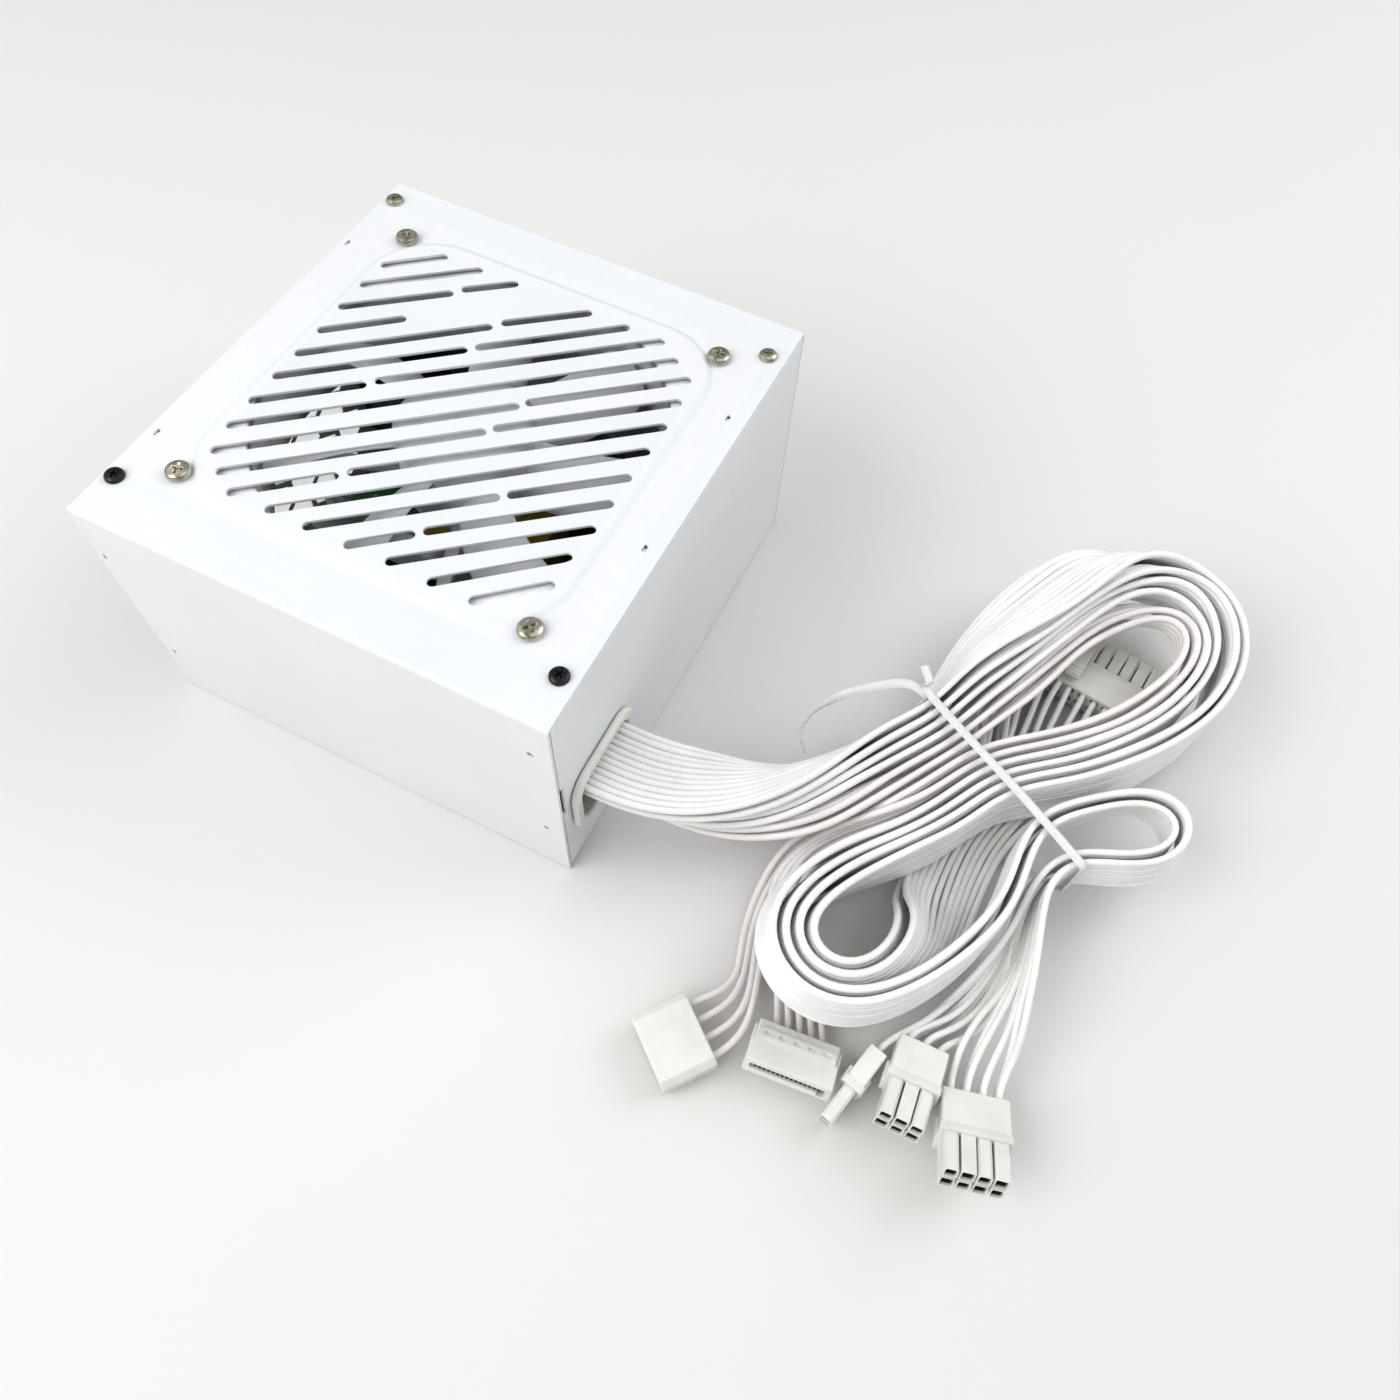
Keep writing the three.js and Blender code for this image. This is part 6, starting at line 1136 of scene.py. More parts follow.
    "cable_drive": stations("""
57.02 -54 27.5 0 -1 0  62.02 -53.99 27.52 0 -1 0  67.03 -53.99 27.52 0 -1 0
72.03 -54.01 27.47 -.01 -1 0  77.03 -54.06 27.36 -.01 -1 .01  82.02 -53.94 26.97 -.02 -.999 .031
87.01 -53.6 26.27 -.01 -.997 .071  91.98 -53.06 25.35 .02 -.99 .138
96.96 -52.3 24.38 .061 -.974 .217  101.94 -51.27 23.63 .112 -.943 .315
106.89 -49.9 23.23 .164 -.894 .417  111.72 -48.18 23.16 .224 -.827 .516
116.37 -46.1 23.38 .273 -.746 .608  120.78 -43.73 23.84 .3 -.659 .689
124.89 -40.95 24.43 .319 -.569 .758  128.66 -37.73 25.06 .31 -.48 .82
132.04 -34.1 25.71 .3 -.39 .87  135.09 -30.18 26.29 .261 -.311 .914
138.04 -26.16 26.66 .229 -.229 .946  140.99 -22.13 26.83 .199 -.169 .965
143.87 -18.04 26.88 .16 -.12 .98  146.69 -13.9 26.86 .13 -.08 .988
150.11 -8.97 26.75 .09 -.03 .996  152.98 -4.88 26.58 .07 0 .998
155.67 -.67 26.39 .06 .01 .998  157.98 3.76 26.21 .07 .01 .998  159.84 8.4 26.02 .12 0 .993
161.43 13.13 25.78 .21 -.01 .978  163.05 17.86 25.45 .316 -.048 .948
164.71 22.62 25.13 .415 -.137 .9  166.5 27.35 24.91 .497 -.218 .84
168.33 32.07 24.77 .567 -.268 .779  170.09 36.83 24.69 .627 -.298 .72
171.76 41.64 24.64 .669 -.319 .672  173.43 46.45 24.64 .696 -.348 .628
175.2 51.21 24.7 .7 -.39 .598  177.16 55.85 24.81 .681 -.44 .585
179.39 60.34 24.98 .643 -.49 .589  181.98 64.56 25.24 .568 -.549 .613
184.99 68.39 25.63 .461 -.593 .661  188.44 71.71 26.18 .323 -.606 .727
192.25 74.5 26.83 .19 -.554 .811  196.4 76.68 27.48 .079 -.457 .886
200.89 77.98 28 -.026 -.337 .941  205.61 77.56 28.37 -.089 -.173 .981
209.85 74.95 28.55 -.043 -.044 .998  212.68 70.53 28.46 .012 -.031 .999
213.87 65.36 28.25 .014 -.053 .999  213.71 60.12 28 -.005 -.053 .999
212.69 55.05 27.78 -.025 -.043 .999  211.06 50.22 27.57 -.036 -.022 .999
209.03 45.62 27.38 -.046 -.023 .999  206.74 41.17 27.18 -.056 -.012 .998
204.23 36.89 26.99 -.067 .008 .998  201.52 32.76 26.82 -.068 .019 .997
198.59 28.82 26.66 -.069 .03 .997  195.47 25.07 26.53 -.06 .03 .998
192.15 21.52 26.43 -.051 .041 .998  188.67 18.14 26.36 -.041 .03 .999
185.04 14.93 26.33 -.031 .031 .999  181.27 11.86 26.33 -.011 .02 1
177.35 8.88 26.35 0 .02 1  173.37 5.87 26.4 0 .01 1  169.59 2.59 26.45 .01 .01 1
166.22 -1.09 26.5 .01 .01 1  162.91 -6.1 26.57 .01 .01 1  160.62 -10.54 26.66 .01 .01 1
158.28 -14.96 26.67 0 0 1  155.78 -19.28 26.85 .04 .08 .996  153.3 -23.6 27.26 .01 0 1
150.29 -27.46 26.41 -.249 -.209 .946  146.88 -30.43 24.32 -.479 -.189 .857
143.49 -32.63 21.38 -.682 -.11 .723  140.46 -34.71 17.99 -.722 -.01 .692
137.17 -37.24 15.21 -.671 .24 .701  133.91 -40.41 13.16 -.752 .311 .581
131.48 -44.37 11.35 -.891 .23 .391  130.24 -48.86 9.56 -.979 .05 .2
130.24 -53.58 7.95 -.988 -.14 .06  131.42 -58.33 7.01 -.937 -.349 -.01
133.56 -62.84 6.84 -.871 -.491 -.02  136.22 -67.07 6.89 -.829 -.559 0
139.05 -71.19 6.77 -.821 -.571 .01  141.94 -75.28 6.61 -.816 -.577 0
144.76 -79.4 6.53 -.837 -.548 0  147.45 -83.62 6.5 -.849 -.529 0
150.05 -87.89 6.5 -.856 -.517 0"""),
    "cable_peripheral": stations("""
57.04 -54 24.5 0 -1 0  62.04 -53.99 24.52 0 -1 0  67.04 -53.99 24.52 0 -1 0
72.04 -54.01 24.47 -.01 -1 0  77.04 -54.08 24.36 -.02 -1 .01  82.03 -54.06 23.97 -.04 -.999 .032
87.01 -53.9 23.3 -.059 -.996 .074  91.98 -53.66 22.44 -.05 -.988 .144
96.97 -53.23 21.59 -.02 -.975 .222  101.96 -52.55 20.99 .03 -.948 .318
106.94 -51.54 20.75 .081 -.91 .407  111.84 -50.18 20.85 .143 -.854 .5
116.59 -48.46 21.29 .202 -.781 .591  121.12 -46.42 22.01 .239 -.706 .666
125.39 -43.97 22.85 .251 -.632 .733  130.15 -40.52 24.03 .219 -.566 .795
133.73 -37.31 25.39 .17 -.53 .831  136.88 -33.67 26.73 .22 -.4 .89
139.68 -29.57 27.29 .27 -.21 .94  142.45 -25.41 27.26 .24 -.14 .961
145.44 -21.4 27.21 .169 -.139 .976  148.35 -17.34 27.31 .119 -.119 .986
151.15 -13.19 27.42 .09 -.08 .993  153.93 -9.04 27.43 .07 -.04 .997
156.62 -4.82 27.35 .05 0 .999  159.18 -.53 27.19 .06 .01 .998  161.52 3.88 26.95 .09 .02 .996
163.49 8.46 26.56 .15 .05 .987  165.26 13.1 25.93 .261 .07 .963
167 17.71 25.03 .373 .036 .927  168.78 22.34 24.05 .479 -.042 .877
170.54 27.01 23.22 .55 -.133 .824  172.2 31.78 22.61 .613 -.195 .765
173.74 36.62 22.15 .663 -.225 .714  175.21 41.5 21.84 .697 -.267 .666
176.7 46.39 21.68 .716 -.317 .622  178.4 51.19 21.68 .7 -.39 .598
180.39 55.82 21.82 .665 -.463 .586  182.79 60.17 22.12 .594 -.545 .592
185.67 64.1 22.66 .473 -.624 .622  189.05 67.43 23.6 .291 -.677 .676
192.76 70.14 24.9 .115 -.649 .752  196.7 72.37 26.36 -.007 -.545 .839
200.92 74.03 27.69 -.146 -.374 .916  206.35 73.13 29.03 -.197 -.028 .98
209.75 69.36 29.51 0 0 1  210.77 64.17 29.24 .017 -.084 .996
210.31 58.98 28.89 -.014 -.053 .998  208.96 54.04 28.62 -.034 -.043 .998
207.09 49.34 28.37 -.045 -.033 .998  204.9 44.84 28.13 -.055 -.023 .998
202.48 40.49 27.9 -.065 -.013 .998  199.86 36.29 27.67 -.067 .008 .998
197.03 32.27 27.48 -.068 .019 .997  193.97 28.46 27.33 -.06 .03 .998
190.71 24.85 27.24 -.051 .041 .998  187.27 21.43 27.2 -.041 .041 .998
183.68 18.18 27.2 -.022 .041 .999  179.95 15.07 27.23 -.012 .031 .999
176.13 12.04 27.29 -.001 .02 1  172.18 9.02 27.35 0 .02 1  168.36 5.8 27.42 .01 .01 1
164.9 2.19 27.48 .01 .01 1  161.98 -1.86 27.53 .01 .01 1  159.47 -6.19 27.61 .01 .02 1
157.11 -10.59 27.67 0 0 1  154.6 -14.92 27.68 .01 .02 1  152.11 -19.24 28.02 .05 .07 .996
149.39 -23.35 27.62 -.231 -.271 .934  146.63 -26.21 24.66 -.58 -.45 .68
144.25 -28.47 20.89 -.662 -.351 .662  141.22 -30.7 17.63 -.589 0 .808
137.2 -32.81 15.54 -.51 .23 .829  132.82 -35.9 12.9 -.719 .22 .659
129.97 -39.15 10.4 -.824 .241 .513  127.77 -43.05 8.19 -.91 .22 .35
126.46 -47.52 6.41 -.974 .121 .191  125.97 -52.31 5.08 -.997 .02 .07
126.03 -57.23 4.21 -.999 -.05 0  126.46 -62.2 3.83 -.993 -.12 -.02
127.23 -67.14 3.83 -.982 -.19 -.01  128.36 -72.01 4.07 -.966 -.259 0
129.72 -76.8 4.45 -.963 -.271 0  130.92 -81.64 4.85 -.982 -.19 0
131.5 -86.57 5.4 -1 -.03 0  131.04 -91.49 6.08 -.973 .231 0
129.2 -96.09 6.62 -.878 .479 0  126.57 -100.33 7 -.837 .548 0"""),
}
# the twist tie round the waist of the coil, in the same columns
TIE = stations("""
118.54 -13.97 13 .56 -.48 .68  115.04 -10.98 18 .48 -.65 .59  116.06 -5.86 24 -.43 -.51 .75
122.02 .03 29.5 -.67 .3 .68  130.66 5.64 33.5 -.56 .74 .38  138.26 9.3 35.2 -.22 .94 .24
144.61 8.87 33.71 .33 .91 .27  143.77 9.99 26.23 .47 .88 .03  142.78 10.52 15.22 .47 .88 0
142.83 10.49 9.59 .47 .88 0  143.38 10.2 9.02 .47 .88 0  163.69 -.59 1.27 .47 .88 0
185.95 -12.41 1.33 .47 .88 0  201.9 -20.88 14.86 .47 .88 0  202.02 -20.94 15.41 .47 .88 0
201.96 -20.91 31.54 .47 .88 0  201.23 -20.53 32.19 .47 .88 0  178.75 -8.58 34.02 .47 .88 0
145.74 8.95 34.85 .5 .87 0  143.91 11.62 37 .76 .64 -.13  140.52 15.68 37.6 .76 .64 -.05""")

# ---------------------------------------------------------------- cables
WIRE_R, WIRE_PITCH = 0.965, 1.95
PATH_STEP = 2.6
WAIST, LONG_AXIS = Vector((172.0, -5.0)), Vector((0.469, 0.883))    # of the coil, in x and y
CELL = 4.2                                      # pitch of the power plugs' contacts
DRIVE_PITCH, PERIPHERAL_PITCH = 3.3, 5.08
WIRE_SIDES = 12

# plug frames: the origin is on the wire end and x points to the mating end
PLUGS = {
    "plug_main": dict(M=basis((183.55, 49.66, 5.7), (0.144, 0.990, 0)), columns=12, latch=1),
    "plug_cpu": dict(M=basis((198.5, -86.6, 8.6), (0.2165, -0.8875, 0.4067)),
                     columns=4, latch=-1),
    "plug_gpu_6": dict(M=basis((181.6, -80.2, 8.8), (0.029, -0.9607, 0.2756)),
                       columns=3, latch=-1),
    "plug_gpu_2": dict(M=basis((171.2, -85.6, 8.0), (-0.25, -0.967, -0.04)),
                       columns=1, latch=0),
}
DRIVE_M = basis((150.8, -91.2, 5.2), (0.094, -0.935, 0.342))
PERIPHERAL_M = basis((126.0, -101.2, 6.6), (-0.62, -0.78, -0.05))


def wander(count, seed):
    """slow random drift along a wire: 0.1 mm over knots 38 mm apart"""
    knot_gap = 38
    knots = np.random.default_rng(seed).normal(0, 1, int(count * PATH_STEP / knot_gap) + 4)
    x = np.arange(count) * PATH_STEP / knot_gap
    i = x.astype(int)
    return 0.10 * (knots[i] + (knots[i + 1] - knots[i]) * smoothstep(x - i))


def loosen(path):
    """parts and lifts the strands in both loops of the coil by a smooth map of space;
    it leaves the case, the tie and the plugs alone"""
    start, path = path, path.copy()
    axis_x, axis_y = LONG_AXIS
    x, y = path[:, 0] - WAIST[0], path[:, 1] - WAIST[1]
    along = x * axis_x + y * axis_y
    across = x * axis_y - y * axis_x
    # loop centre along and across the axis, distance where the effect starts and is full, phase
    for centre_a, centre_b, near, far, phase in ((58.0, 0.0, 18, 44, 0.4),
                                                 (-52.0, 4.0, 16, 40, 2.1)):
        amount = (smoothstep((along * np.sign(centre_a) - near) / (far - near))
                  * smoothstep((path[:, 0] - 108) / 22))
        if centre_a < 0:
            amount = amount * smoothstep((path[:, 1] + 66) / 22)
        da, db = (along - centre_a) / 1.9, across - centre_b
        r = np.hypot(da, db) + 1e-6
        theta = np.arctan2(db, da)
        push = (0.95 * np.sin(0.62 * r + phase + 1.3 * np.sin(theta + phase))
                + 0.35 * np.sin(0.27 * r + 2 * theta))
        amount = amount * smoothstep((r - 4) / 12)
        scale = amount * push / r
        move_a, move_b = da * scale * 1.2, db * scale
        path[:, 0] += move_a * axis_x + move_b * axis_y
        path[:, 1] += move_a * axis_y - move_b * axis_x
        path[:, 2] += amount * (1.1 + 1.3 * np.sin(0.95 * r + 2.2 * np.sin(theta + phase))
                                + 0.8 * np.sin(3 * theta + 0.4 * r))
    change = path - start
    blur = np.exp(-0.5 * (np.arange(-9, 10) / 3.6) ** 2)
    blur /= blur.sum()
    for j in range(3):                       # strands that run across the pattern stay straight
        change[:, j] = np.convolve(np.pad(change[:, j], 9, mode="edge"), blur, "valid")
    return start + change


def even_out(path, end, passes):
    for _ in range(passes):
        path[1:end] = 0.25 * path[:end - 1] + 0.5 * path[1:end] + 0.25 * path[2:end + 1]


def build_cable(node, slot, fan_length, slack, ends, seed):
    """round wires side by side. ends holds (plug matrix, y, z) of each wire's contact;
    the wires part over the last fan_length"""
    rows = catmull(PATHS[node], PATH_STEP)
    centre, width = rows[:, :3], unit_rows(rows[:, 3:])
    run = np.r_[0, np.cumsum(np.linalg.norm(np.diff(centre, axis=0), axis=1))]
    normal = np.cross(unit_rows(np.gradient(centre, axis=0)), width)
    cable = Shells()
    for i, (matrix, y, z) in enumerate(ends):
        strand = centre + width * ((i - (len(ends) - 1) / 2) * WIRE_PITCH)
        strand = strand + normal * wander(len(centre), seed * 100 + i)[:, None]
        target = (matrix @ np.array([0, y, z, 1]))[:3]
        direction = matrix[:3, 0]
        parting = run[-1] - fan_length * (1 + 0.12 * math.sin(2.4 * i + seed))
        k = int(np.searchsorted(run, parting))
        # the wires keep to the bent centre line and open up towards their contacts
        u = (run[k:] - run[k]) / (run[-1] - run[k])
        opening = strand[k:] + (target - direction * 3.0 - strand[-1]) * smoothstep(u)[:, None]
        sway = slack * np.sin(np.pi * u) ** 1.2
        side = np.random.default_rng(seed * 1000 + i).normal(0, 1, 2)
        opening = (opening + normal[k:] * (sway * side[0] * 1.2)[:, None]
                   + width[k:] * (sway * side[1] * 0.8)[:, None])
        # the last stretch turns straight into the contact
        turn = int(len(opening) * 0.62)
        heading = opening[turn] - opening[turn - 1]
        heading /= np.linalg.norm(heading)
        reach = np.linalg.norm(target - opening[turn])
        tail = hermite(opening[turn], heading * reach, target, direction * reach,
                       max(5, int(reach / 1.6)))
        path = np.vstack([strand[:k], opening[:turn], tail,
                          target + direction * 2.5, target + direction * 6.0])
        even_out(path, k - 7, 9)
        even_out(path, len(path) - 3, 3)
        path = loosen(path)
        # the insulation is squeezed at the tie and swells a little away from it
        from_waist = np.abs((path[:, 0] - WAIST[0]) * LONG_AXIS[0]
                            + (path[:, 1] - WAIST[1]) * LONG_AXIS[1])
        swell = (np.clip((from_waist - 16) / 22, 0, 1) * np.clip((path[:, 0] - 104) / 20, 0, 1)
                 * np.clip((k + 6 - np.arange(len(path))) / 12.0, 0, 1))
        cable.tube(path, WIRE_R + 0.15 * smoothstep(swell), WIRE_SIDES, width[0])
    cable.piece(f"{node}_wires", slot, node, angle=80, weight=0)


def cell_place(columns, i, j):
    """y, z of the contact in column i, row j"""
    return (i - (columns - 1) / 2) * CELL, (j - 0.5) * CELL


def build_cables():
    def contact(plug, i, j):
        return (PLUGS[plug]["M"], *cell_place(PLUGS[plug]["columns"], i, j))

    main_a, main_b = [[contact("plug_main", i, j) for i in range(12)] for j in range(2)]
    cpu = [contact("plug_cpu", i // 2, i % 2) for i in range(8)]
    # six wires go to the large graphics plug and two to the small one
    gpu = [contact("plug_gpu_6", i // 2, i % 2) for i in reversed(range(6))]
    gpu += [contact("plug_gpu_2", 0, j) for j in (1, 0)]
    drive = [(DRIVE_M, (i - 2) * DRIVE_PITCH, 0.0) for i in reversed(range(5))]
    peripheral = [(PERIPHERAL_M, (i - 1.5) * PERIPHERAL_PITCH, 0.0)
                  for i in reversed(range(4))]
    cables = (                              # node, slot, fan length, slack, contacts
        ("cable_main_a", "white_cable", 52, 0.35, main_a),
        ("cable_main_b", "white_cable", 52, 0.35, main_b),
        ("cable_cpu", "white_cable", 38, 0.6, cpu),
        ("cable_gpu", "white_cable", 30, 0.5, gpu),
        ("cable_drive", "drive_cable", 26, 0.25, drive),
        ("cable_peripheral", "drive_cable", 26, 0.4, peripheral),
    )
    for seed, cable in enumerate(cables, 1):
        build_cable(*cable, seed)


def build_tie():
    """flat strip with a wire core"""
    rows = catmull(TIE, 1.0)
    half_width, half_thick, core_height, core_width = 1.35, 0.22, 0.34, 0.42
    section = []
    for k in range(20):
        turn = 2 * math.pi * k / 20
        w, h = math.cos(turn), math.sin(turn)
        core = core_height * math.copysign(math.exp(-(half_width * w / core_width) ** 2), h)
        section.append((half_width * math.copysign(abs(w) ** 0.5, w),
                        half_thick * h + core * (abs(h) > 1e-6)))
    tie = Shells()
    tie.sweep(rows[:, :3], rows[:, 3:], section)
    tie.piece("tie_strip", "tie_plastic", "twist_tie", angle=50, weight=0)


# ---------------------------------------------------------------- plugs
def build_row_plug(node):
    """two rows of chambers: one block on the wire side, separate towers on the mating side"""
    spec = PLUGS[node]
    columns, latch = spec["columns"], spec["latch"]
    width, height, length = (columns - 1) * CELL + 5.4, CELL + 5.4, 23.0
    plug = Shells()
    matrix = spec["M"] @ ALONG_X
    cells = [(i, j, *cell_place(columns, i, j)) for i in range(columns) for j in range(2)]
    plug.slab([round_rect(0, 0, width, height, 0.7, 5)]
              + [circle(y, z, 1.42, 16) for _, _, y, z in cells],
              0, 12.5, [0.45] + [0.3] * len(cells), matrix, 3)
    # step round the wire half
    plug.slab([round_rect(0, 0, width + 0.9, height + 0.3, 0.9, 5),
               round_rect(0, 0, width - 0.6, height - 0.6, 0.6, 5)],
              10.4, 12.6, [0.3, 0.0], matrix)
    for side in (-1, 1):                    # small side ears
        plug.slab([round_rect(side * (width / 2 + 0.35), -0.2, 0.9, 2.6, 0.3, 3)],
                  7.2, 12.4, 0.25, matrix)
    # thin web joining the towers
    plug.slab([round_rect(0, 0, width - 1.6, 1.5, 0.3, 3)], 12.0, length - 1.2, 0.15, matrix)
    for i, j, y, z in cells:
        square = (i + j) % 2 == 0           # the other towers have two cut corners
        half_w, half_h, cut = 1.86, 1.9, 0.75
        bore = 1.5 if square else 1.4
        mid = z + (-0.05 if j == 0 else 0.05)
        if square:
            tower = rect(y - half_w, y + half_w, mid - half_h, mid + half_h)
        else:
            s = 1 if j else -1
            tower = [(y - half_w, mid - half_h * s), (y + half_w, mid - half_h * s),
                     (y + half_w, mid + (half_h - cut) * s), (y + half_w - cut, mid + half_h * s),
                     (y - half_w + cut, mid + half_h * s), (y - half_w, mid + (half_h - cut) * s)]
        chamber = soften(rect(y - bore, y + bore, z - bore, z + bore), 0.2 if square else 0.55, 3)
        plug.slab([soften(tower, 0.22, 3), chamber], 12.2, length, [0.12, 0.1], matrix)
        # floor of the chamber
        plug.slab([rect(y - 1.6, y + 1.6, z - 1.6, z + 1.6)], 12.3, 13.6, 0.1, matrix)
    if latch:                               # post under the lever
        plug.slab([round_rect(0, latch * (height / 2 + 0.55), 4.4, 2.2, 0.3, 3)],
                  8.2, 9.8, 0.3, matrix)
    plug.piece(f"{node}_moulding", "white_plastic", node)


def build_lever(key, plug):
    spec = PLUGS[plug]
    z = (CELL + 5.4) / 2 + 1.6 + 0.3        # face of the lever towards the plug
    # outline in the (x, z) plane: thin arm, hook, thumb end
    outline = [(1.5, z + 0.05), (8.0, z), (10.0, z), (16.5, z), (16.9, z - 1.25),
               (17.7, z - 1.3), (18.5, z - 0.2), (18.5, z + 0.9), (18.1, z + 1.15),
               (10.4, z + 1.15), (8.6, z + 1.15), (6.6, z + 1.1)]
    for k in range(3):                      # finger ridges
        x = 6.0 - 1.5 * k
        outline += [(x, z + 1.15), (x - 0.3, z + 1.65), (x - 0.8, z + 1.65), (x - 1.1, z + 1.2)]
    outline += [(1.5, z + 1.1)]
    if spec["latch"] < 0:
        outline = [(x, -z) for x, z in outline][::-1]
    lever = Shells()
    lever.slab([outline], -2.4, 2.4, 0.22, spec["M"] @ ALONG_Y)
    lever.piece(f"latch_{key}_lever", "white_plastic", f"latch_{key}", body=f"lever_{key}")


def build_terminals():
    metal = Shells()
    for spec in PLUGS.values():
        matrix = spec["M"] @ ALONG_X
        for i in range(spec["columns"]):
            for j in range(2):              # open box with a solid core part of the way up
                y, z = cell_place(spec["columns"], i, j)
                metal.slab([round_rect(y, z, 2.7, 2.7, 0.25, 2),
                            round_rect(y, z, 2.0, 2.0, 0.2, 2)], 13.7, 22.3, 0.1, matrix)
                metal.slab([round_rect(y, z, 2.4, 2.4, 0.2, 2)], 13.7, 18.5, 0.1, matrix)
    for i in range(4):
        y = (i - 1.5) * PERIPHERAL_PITCH
        metal.slab([circle(y, 0, 1.75, 16), circle(y, 0, 1.2, 16)], 8.4, 15.2, 0.08,
                   PERIPHERAL_M @ ALONG_X)
    # the contacts carry a near-black colour as painted shade, so the chambers of the plugs read
    # dark
    metal.piece("plug_terminals", "steel", mat="terminal", weight=50)


def build_drive_plug():
    """block over the wires, wide mating half with an L-shaped slot, and the contact comb"""
    matrix = DRIVE_M @ ALONG_X
    plug = Shells()
    plug.slab([round_rect(0, 0, 23, 6.8, 0.8, 5)]
              + [circle((i - 2) * DRIVE_PITCH, 0, 1.25, 14) for i in range(5)],
              0, 6.2, [0.4] + [0.25] * 5, matrix)
    slot = [(-10.4, -0.9), (8.6, -0.9), (8.6, -2.2), (10.4, -2.2), (10.4, 1.1), (-10.4, 1.1)]
    plug.slab([round_rect(0, 0, 24.4, 6.2, 0.7, 5), slot], 5.8, 13, [0.35, 0.2], matrix)
    plug.slab([round_rect(0, 0, 23.6, 5.4, 0.5, 4)], 5.5, 6.6, 0.2, matrix)
    # top cap with five windows
    plug.slab([rect(2.6, 5.9, -11, 11)]
              + [round_rect(4.3, (i - 2) * 4.1, 1.2, 1.9, 0.25, 3) for i in range(5)],
              3.2, 4.0, [0.25] + [0.15] * 5, DRIVE_M)
    for side in (-1, 1):
        plug.slab([round_rect(side * 11.9, 0, 0.9, 4.2, 0.3, 3)], 1.2, 5.6, 0.25, matrix)
    plug.piece("plug_drive_moulding", "white_plastic", "plug_drive")

    # the comb is coloured dark gilt: its own gilt tone plus painted shade standing for the slot
    comb = Shells()
    comb.slab([round_rect(0, 0.1, 20.9, 2.1, 0.1, 2)], 6.7, 9.0, 0.05, matrix)
    for i in range(15):
        comb.slab([round_rect((i - 7) * 1.27, -0.55, 0.7, 0.5, 0.1, 2)], 8.5, 12.3, 0.08, matrix)
    comb.piece("plug_drive_contacts", "bearing_brass", mat="terminal_gilt_painted_shade", weight=0)


def build_peripheral_plug():
    """four round contacts in a body with two chamfered corners"""
    matrix = PERIPHERAL_M @ ALONG_X
    centres = [(i - 1.5) * PERIPHERAL_PITCH for i in range(4)]
    outline = soften([(-10.5, -4.3), (10.5, -4.3), (10.5, 2.4), (8.6, 4.3), (-8.6, 4.3),
                      (-10.5, 2.4)], 0.5)
    plug = Shells()
    plug.slab([outline] + [circle(y, 0, 1.85, 20) for y in centres],
              0, 16, [0.5] + [0.35] * 4, matrix, 3)
    for y in centres:
        plug.slab([circle(y, 0, 2.3, 16)], 7.0, 8.4, 0.1, matrix)
    plug.piece("plug_peripheral_moulding", "white_plastic", "plug_peripheral")


def round_carried_nodes():
    """rounds the edges of the frame's own nodes that no piece replaces"""
    replaced = set()
    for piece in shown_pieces():
        replaced |= set(piece.get("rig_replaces", []))
    for name, obj in NODES.items():
        if name not in replaced:
            modify(obj, "BEVEL", width=0.25 * MM, segments=2, limit_method="ANGLE",
                   angle_limit=math.radians(50))
            modify(obj, "WEIGHTED_NORMAL", keep_sharp=True)


build_cover()
build_tray()
build_screws()
build_fan_frame()
build_fan_rotor()
build_inlet()
build_switch()
build_bushing()
build_cables()
build_tie()
for plug_node in PLUGS:
    build_row_plug(plug_node)
for lever_key, lever_plug in (("main", "plug_main"), ("cpu", "plug_cpu"), ("gpu", "plug_gpu_6")):
    build_lever(lever_key, lever_plug)
build_terminals()
build_drive_plug()
build_peripheral_plug()
round_carried_nodes()

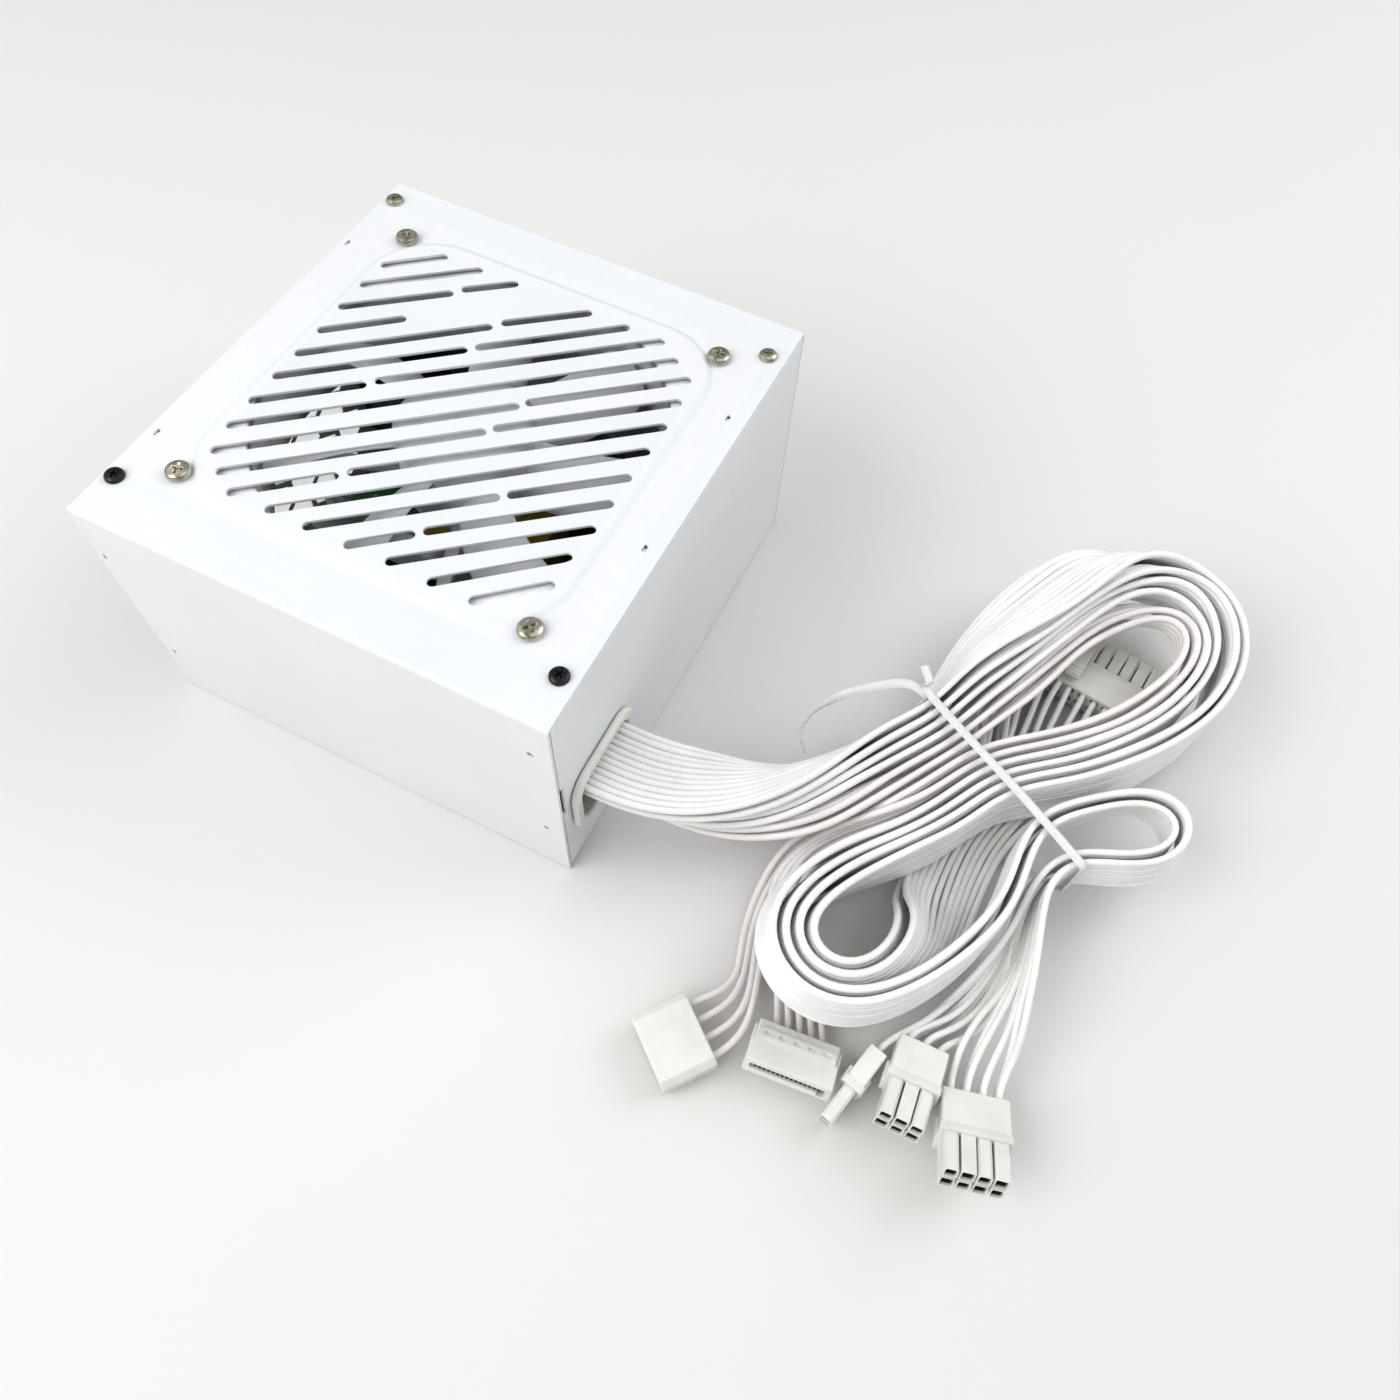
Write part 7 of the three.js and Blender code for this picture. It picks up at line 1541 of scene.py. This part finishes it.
# ---------------------------------------------------------------- setting, in metres
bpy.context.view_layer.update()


def build_floor():
    mesh = bpy.data.meshes.new("floor")
    mesh.from_pydata([(x, y, 0) for x, y in rect(-6, 6, -6, 6)], [], [(0, 1, 2, 3)])
    floor = bpy.data.objects.new("floor", mesh)
    scene.collection.objects.link(floor)
    floor.location = (0, 0, -0.0002)
    mesh.materials.append(material(
        "floor_paper", color=(0.815, 0.812, 0.8), rough=0.75, spec=0.2, mottle=0.003,
        mottle_scale=4, grain=120, bump=0.02))


def build_world():
    world = bpy.data.worlds.new("studio")
    scene.world = world
    world.use_nodes = True
    background = world.node_tree.nodes["Background"]
    background.inputs["Color"].default_value = (1.0, 1.0, 1.0, 1)
    background.inputs["Strength"].default_value = 0.55


def area_light(name, location, target, side, power, color=(1, 1, 1)):
    light = bpy.data.lights.new(name, "AREA")
    light.shape = "RECTANGLE"
    light.size = light.size_y = side
    light.energy = power
    light.color = color
    obj = bpy.data.objects.new(name, light)
    scene.collection.objects.link(obj)
    obj.location = location
    obj.rotation_mode = "QUATERNION"
    obj.rotation_quaternion = (Vector(target) - Vector(location)).to_track_quat("-Z", "Y")


def build_camera():
    camera = bpy.data.cameras.new("camera")
    obj = bpy.data.objects.new("camera", camera)
    scene.collection.objects.link(obj)
    camera.sensor_width = 36
    camera.lens = 27.92
    camera.clip_start = 0.01
    camera.clip_end = 50
    right = (0.8970137, 0.4399967, 0.0420627)
    down = (0.4014493, -0.7711971, -0.4940582)
    forward = (-0.1849454, 0.4600630, -0.8684108)
    place = (0.14438, -0.16805, 0.30738)
    rows = [(r, -d, -f, p) for r, d, f, p in zip(right, down, forward, place)]
    obj.matrix_world = Matrix((*rows, (0, 0, 0, 1)))
    scene.camera = obj


build_floor()
build_world()
area_light("key", location=(-0.55, -0.85, 0.95), target=(0.06, 0, 0.05), side=1.0, power=9.7)
area_light("top", location=(0.33, 0.12, 1.25), target=(0.1, 0, 0.05), side=0.9, power=1.5)
area_light("rim", location=(0.75, 0.65, 0.8), target=(0.15, 0.03, 0.03), side=0.8, power=4.6,
           color=(0.96, 0.98, 1.0))
area_light("fill", location=(-0.75, -0.15, 0.85), target=(-0.1, -0.1, 0.0), side=0.9,
           power=1.25)
build_camera()
scene.view_settings.view_transform = "Standard"
scene.view_settings.look = "None"
scene.view_settings.exposure = 0
scene.view_settings.gamma = 0.75
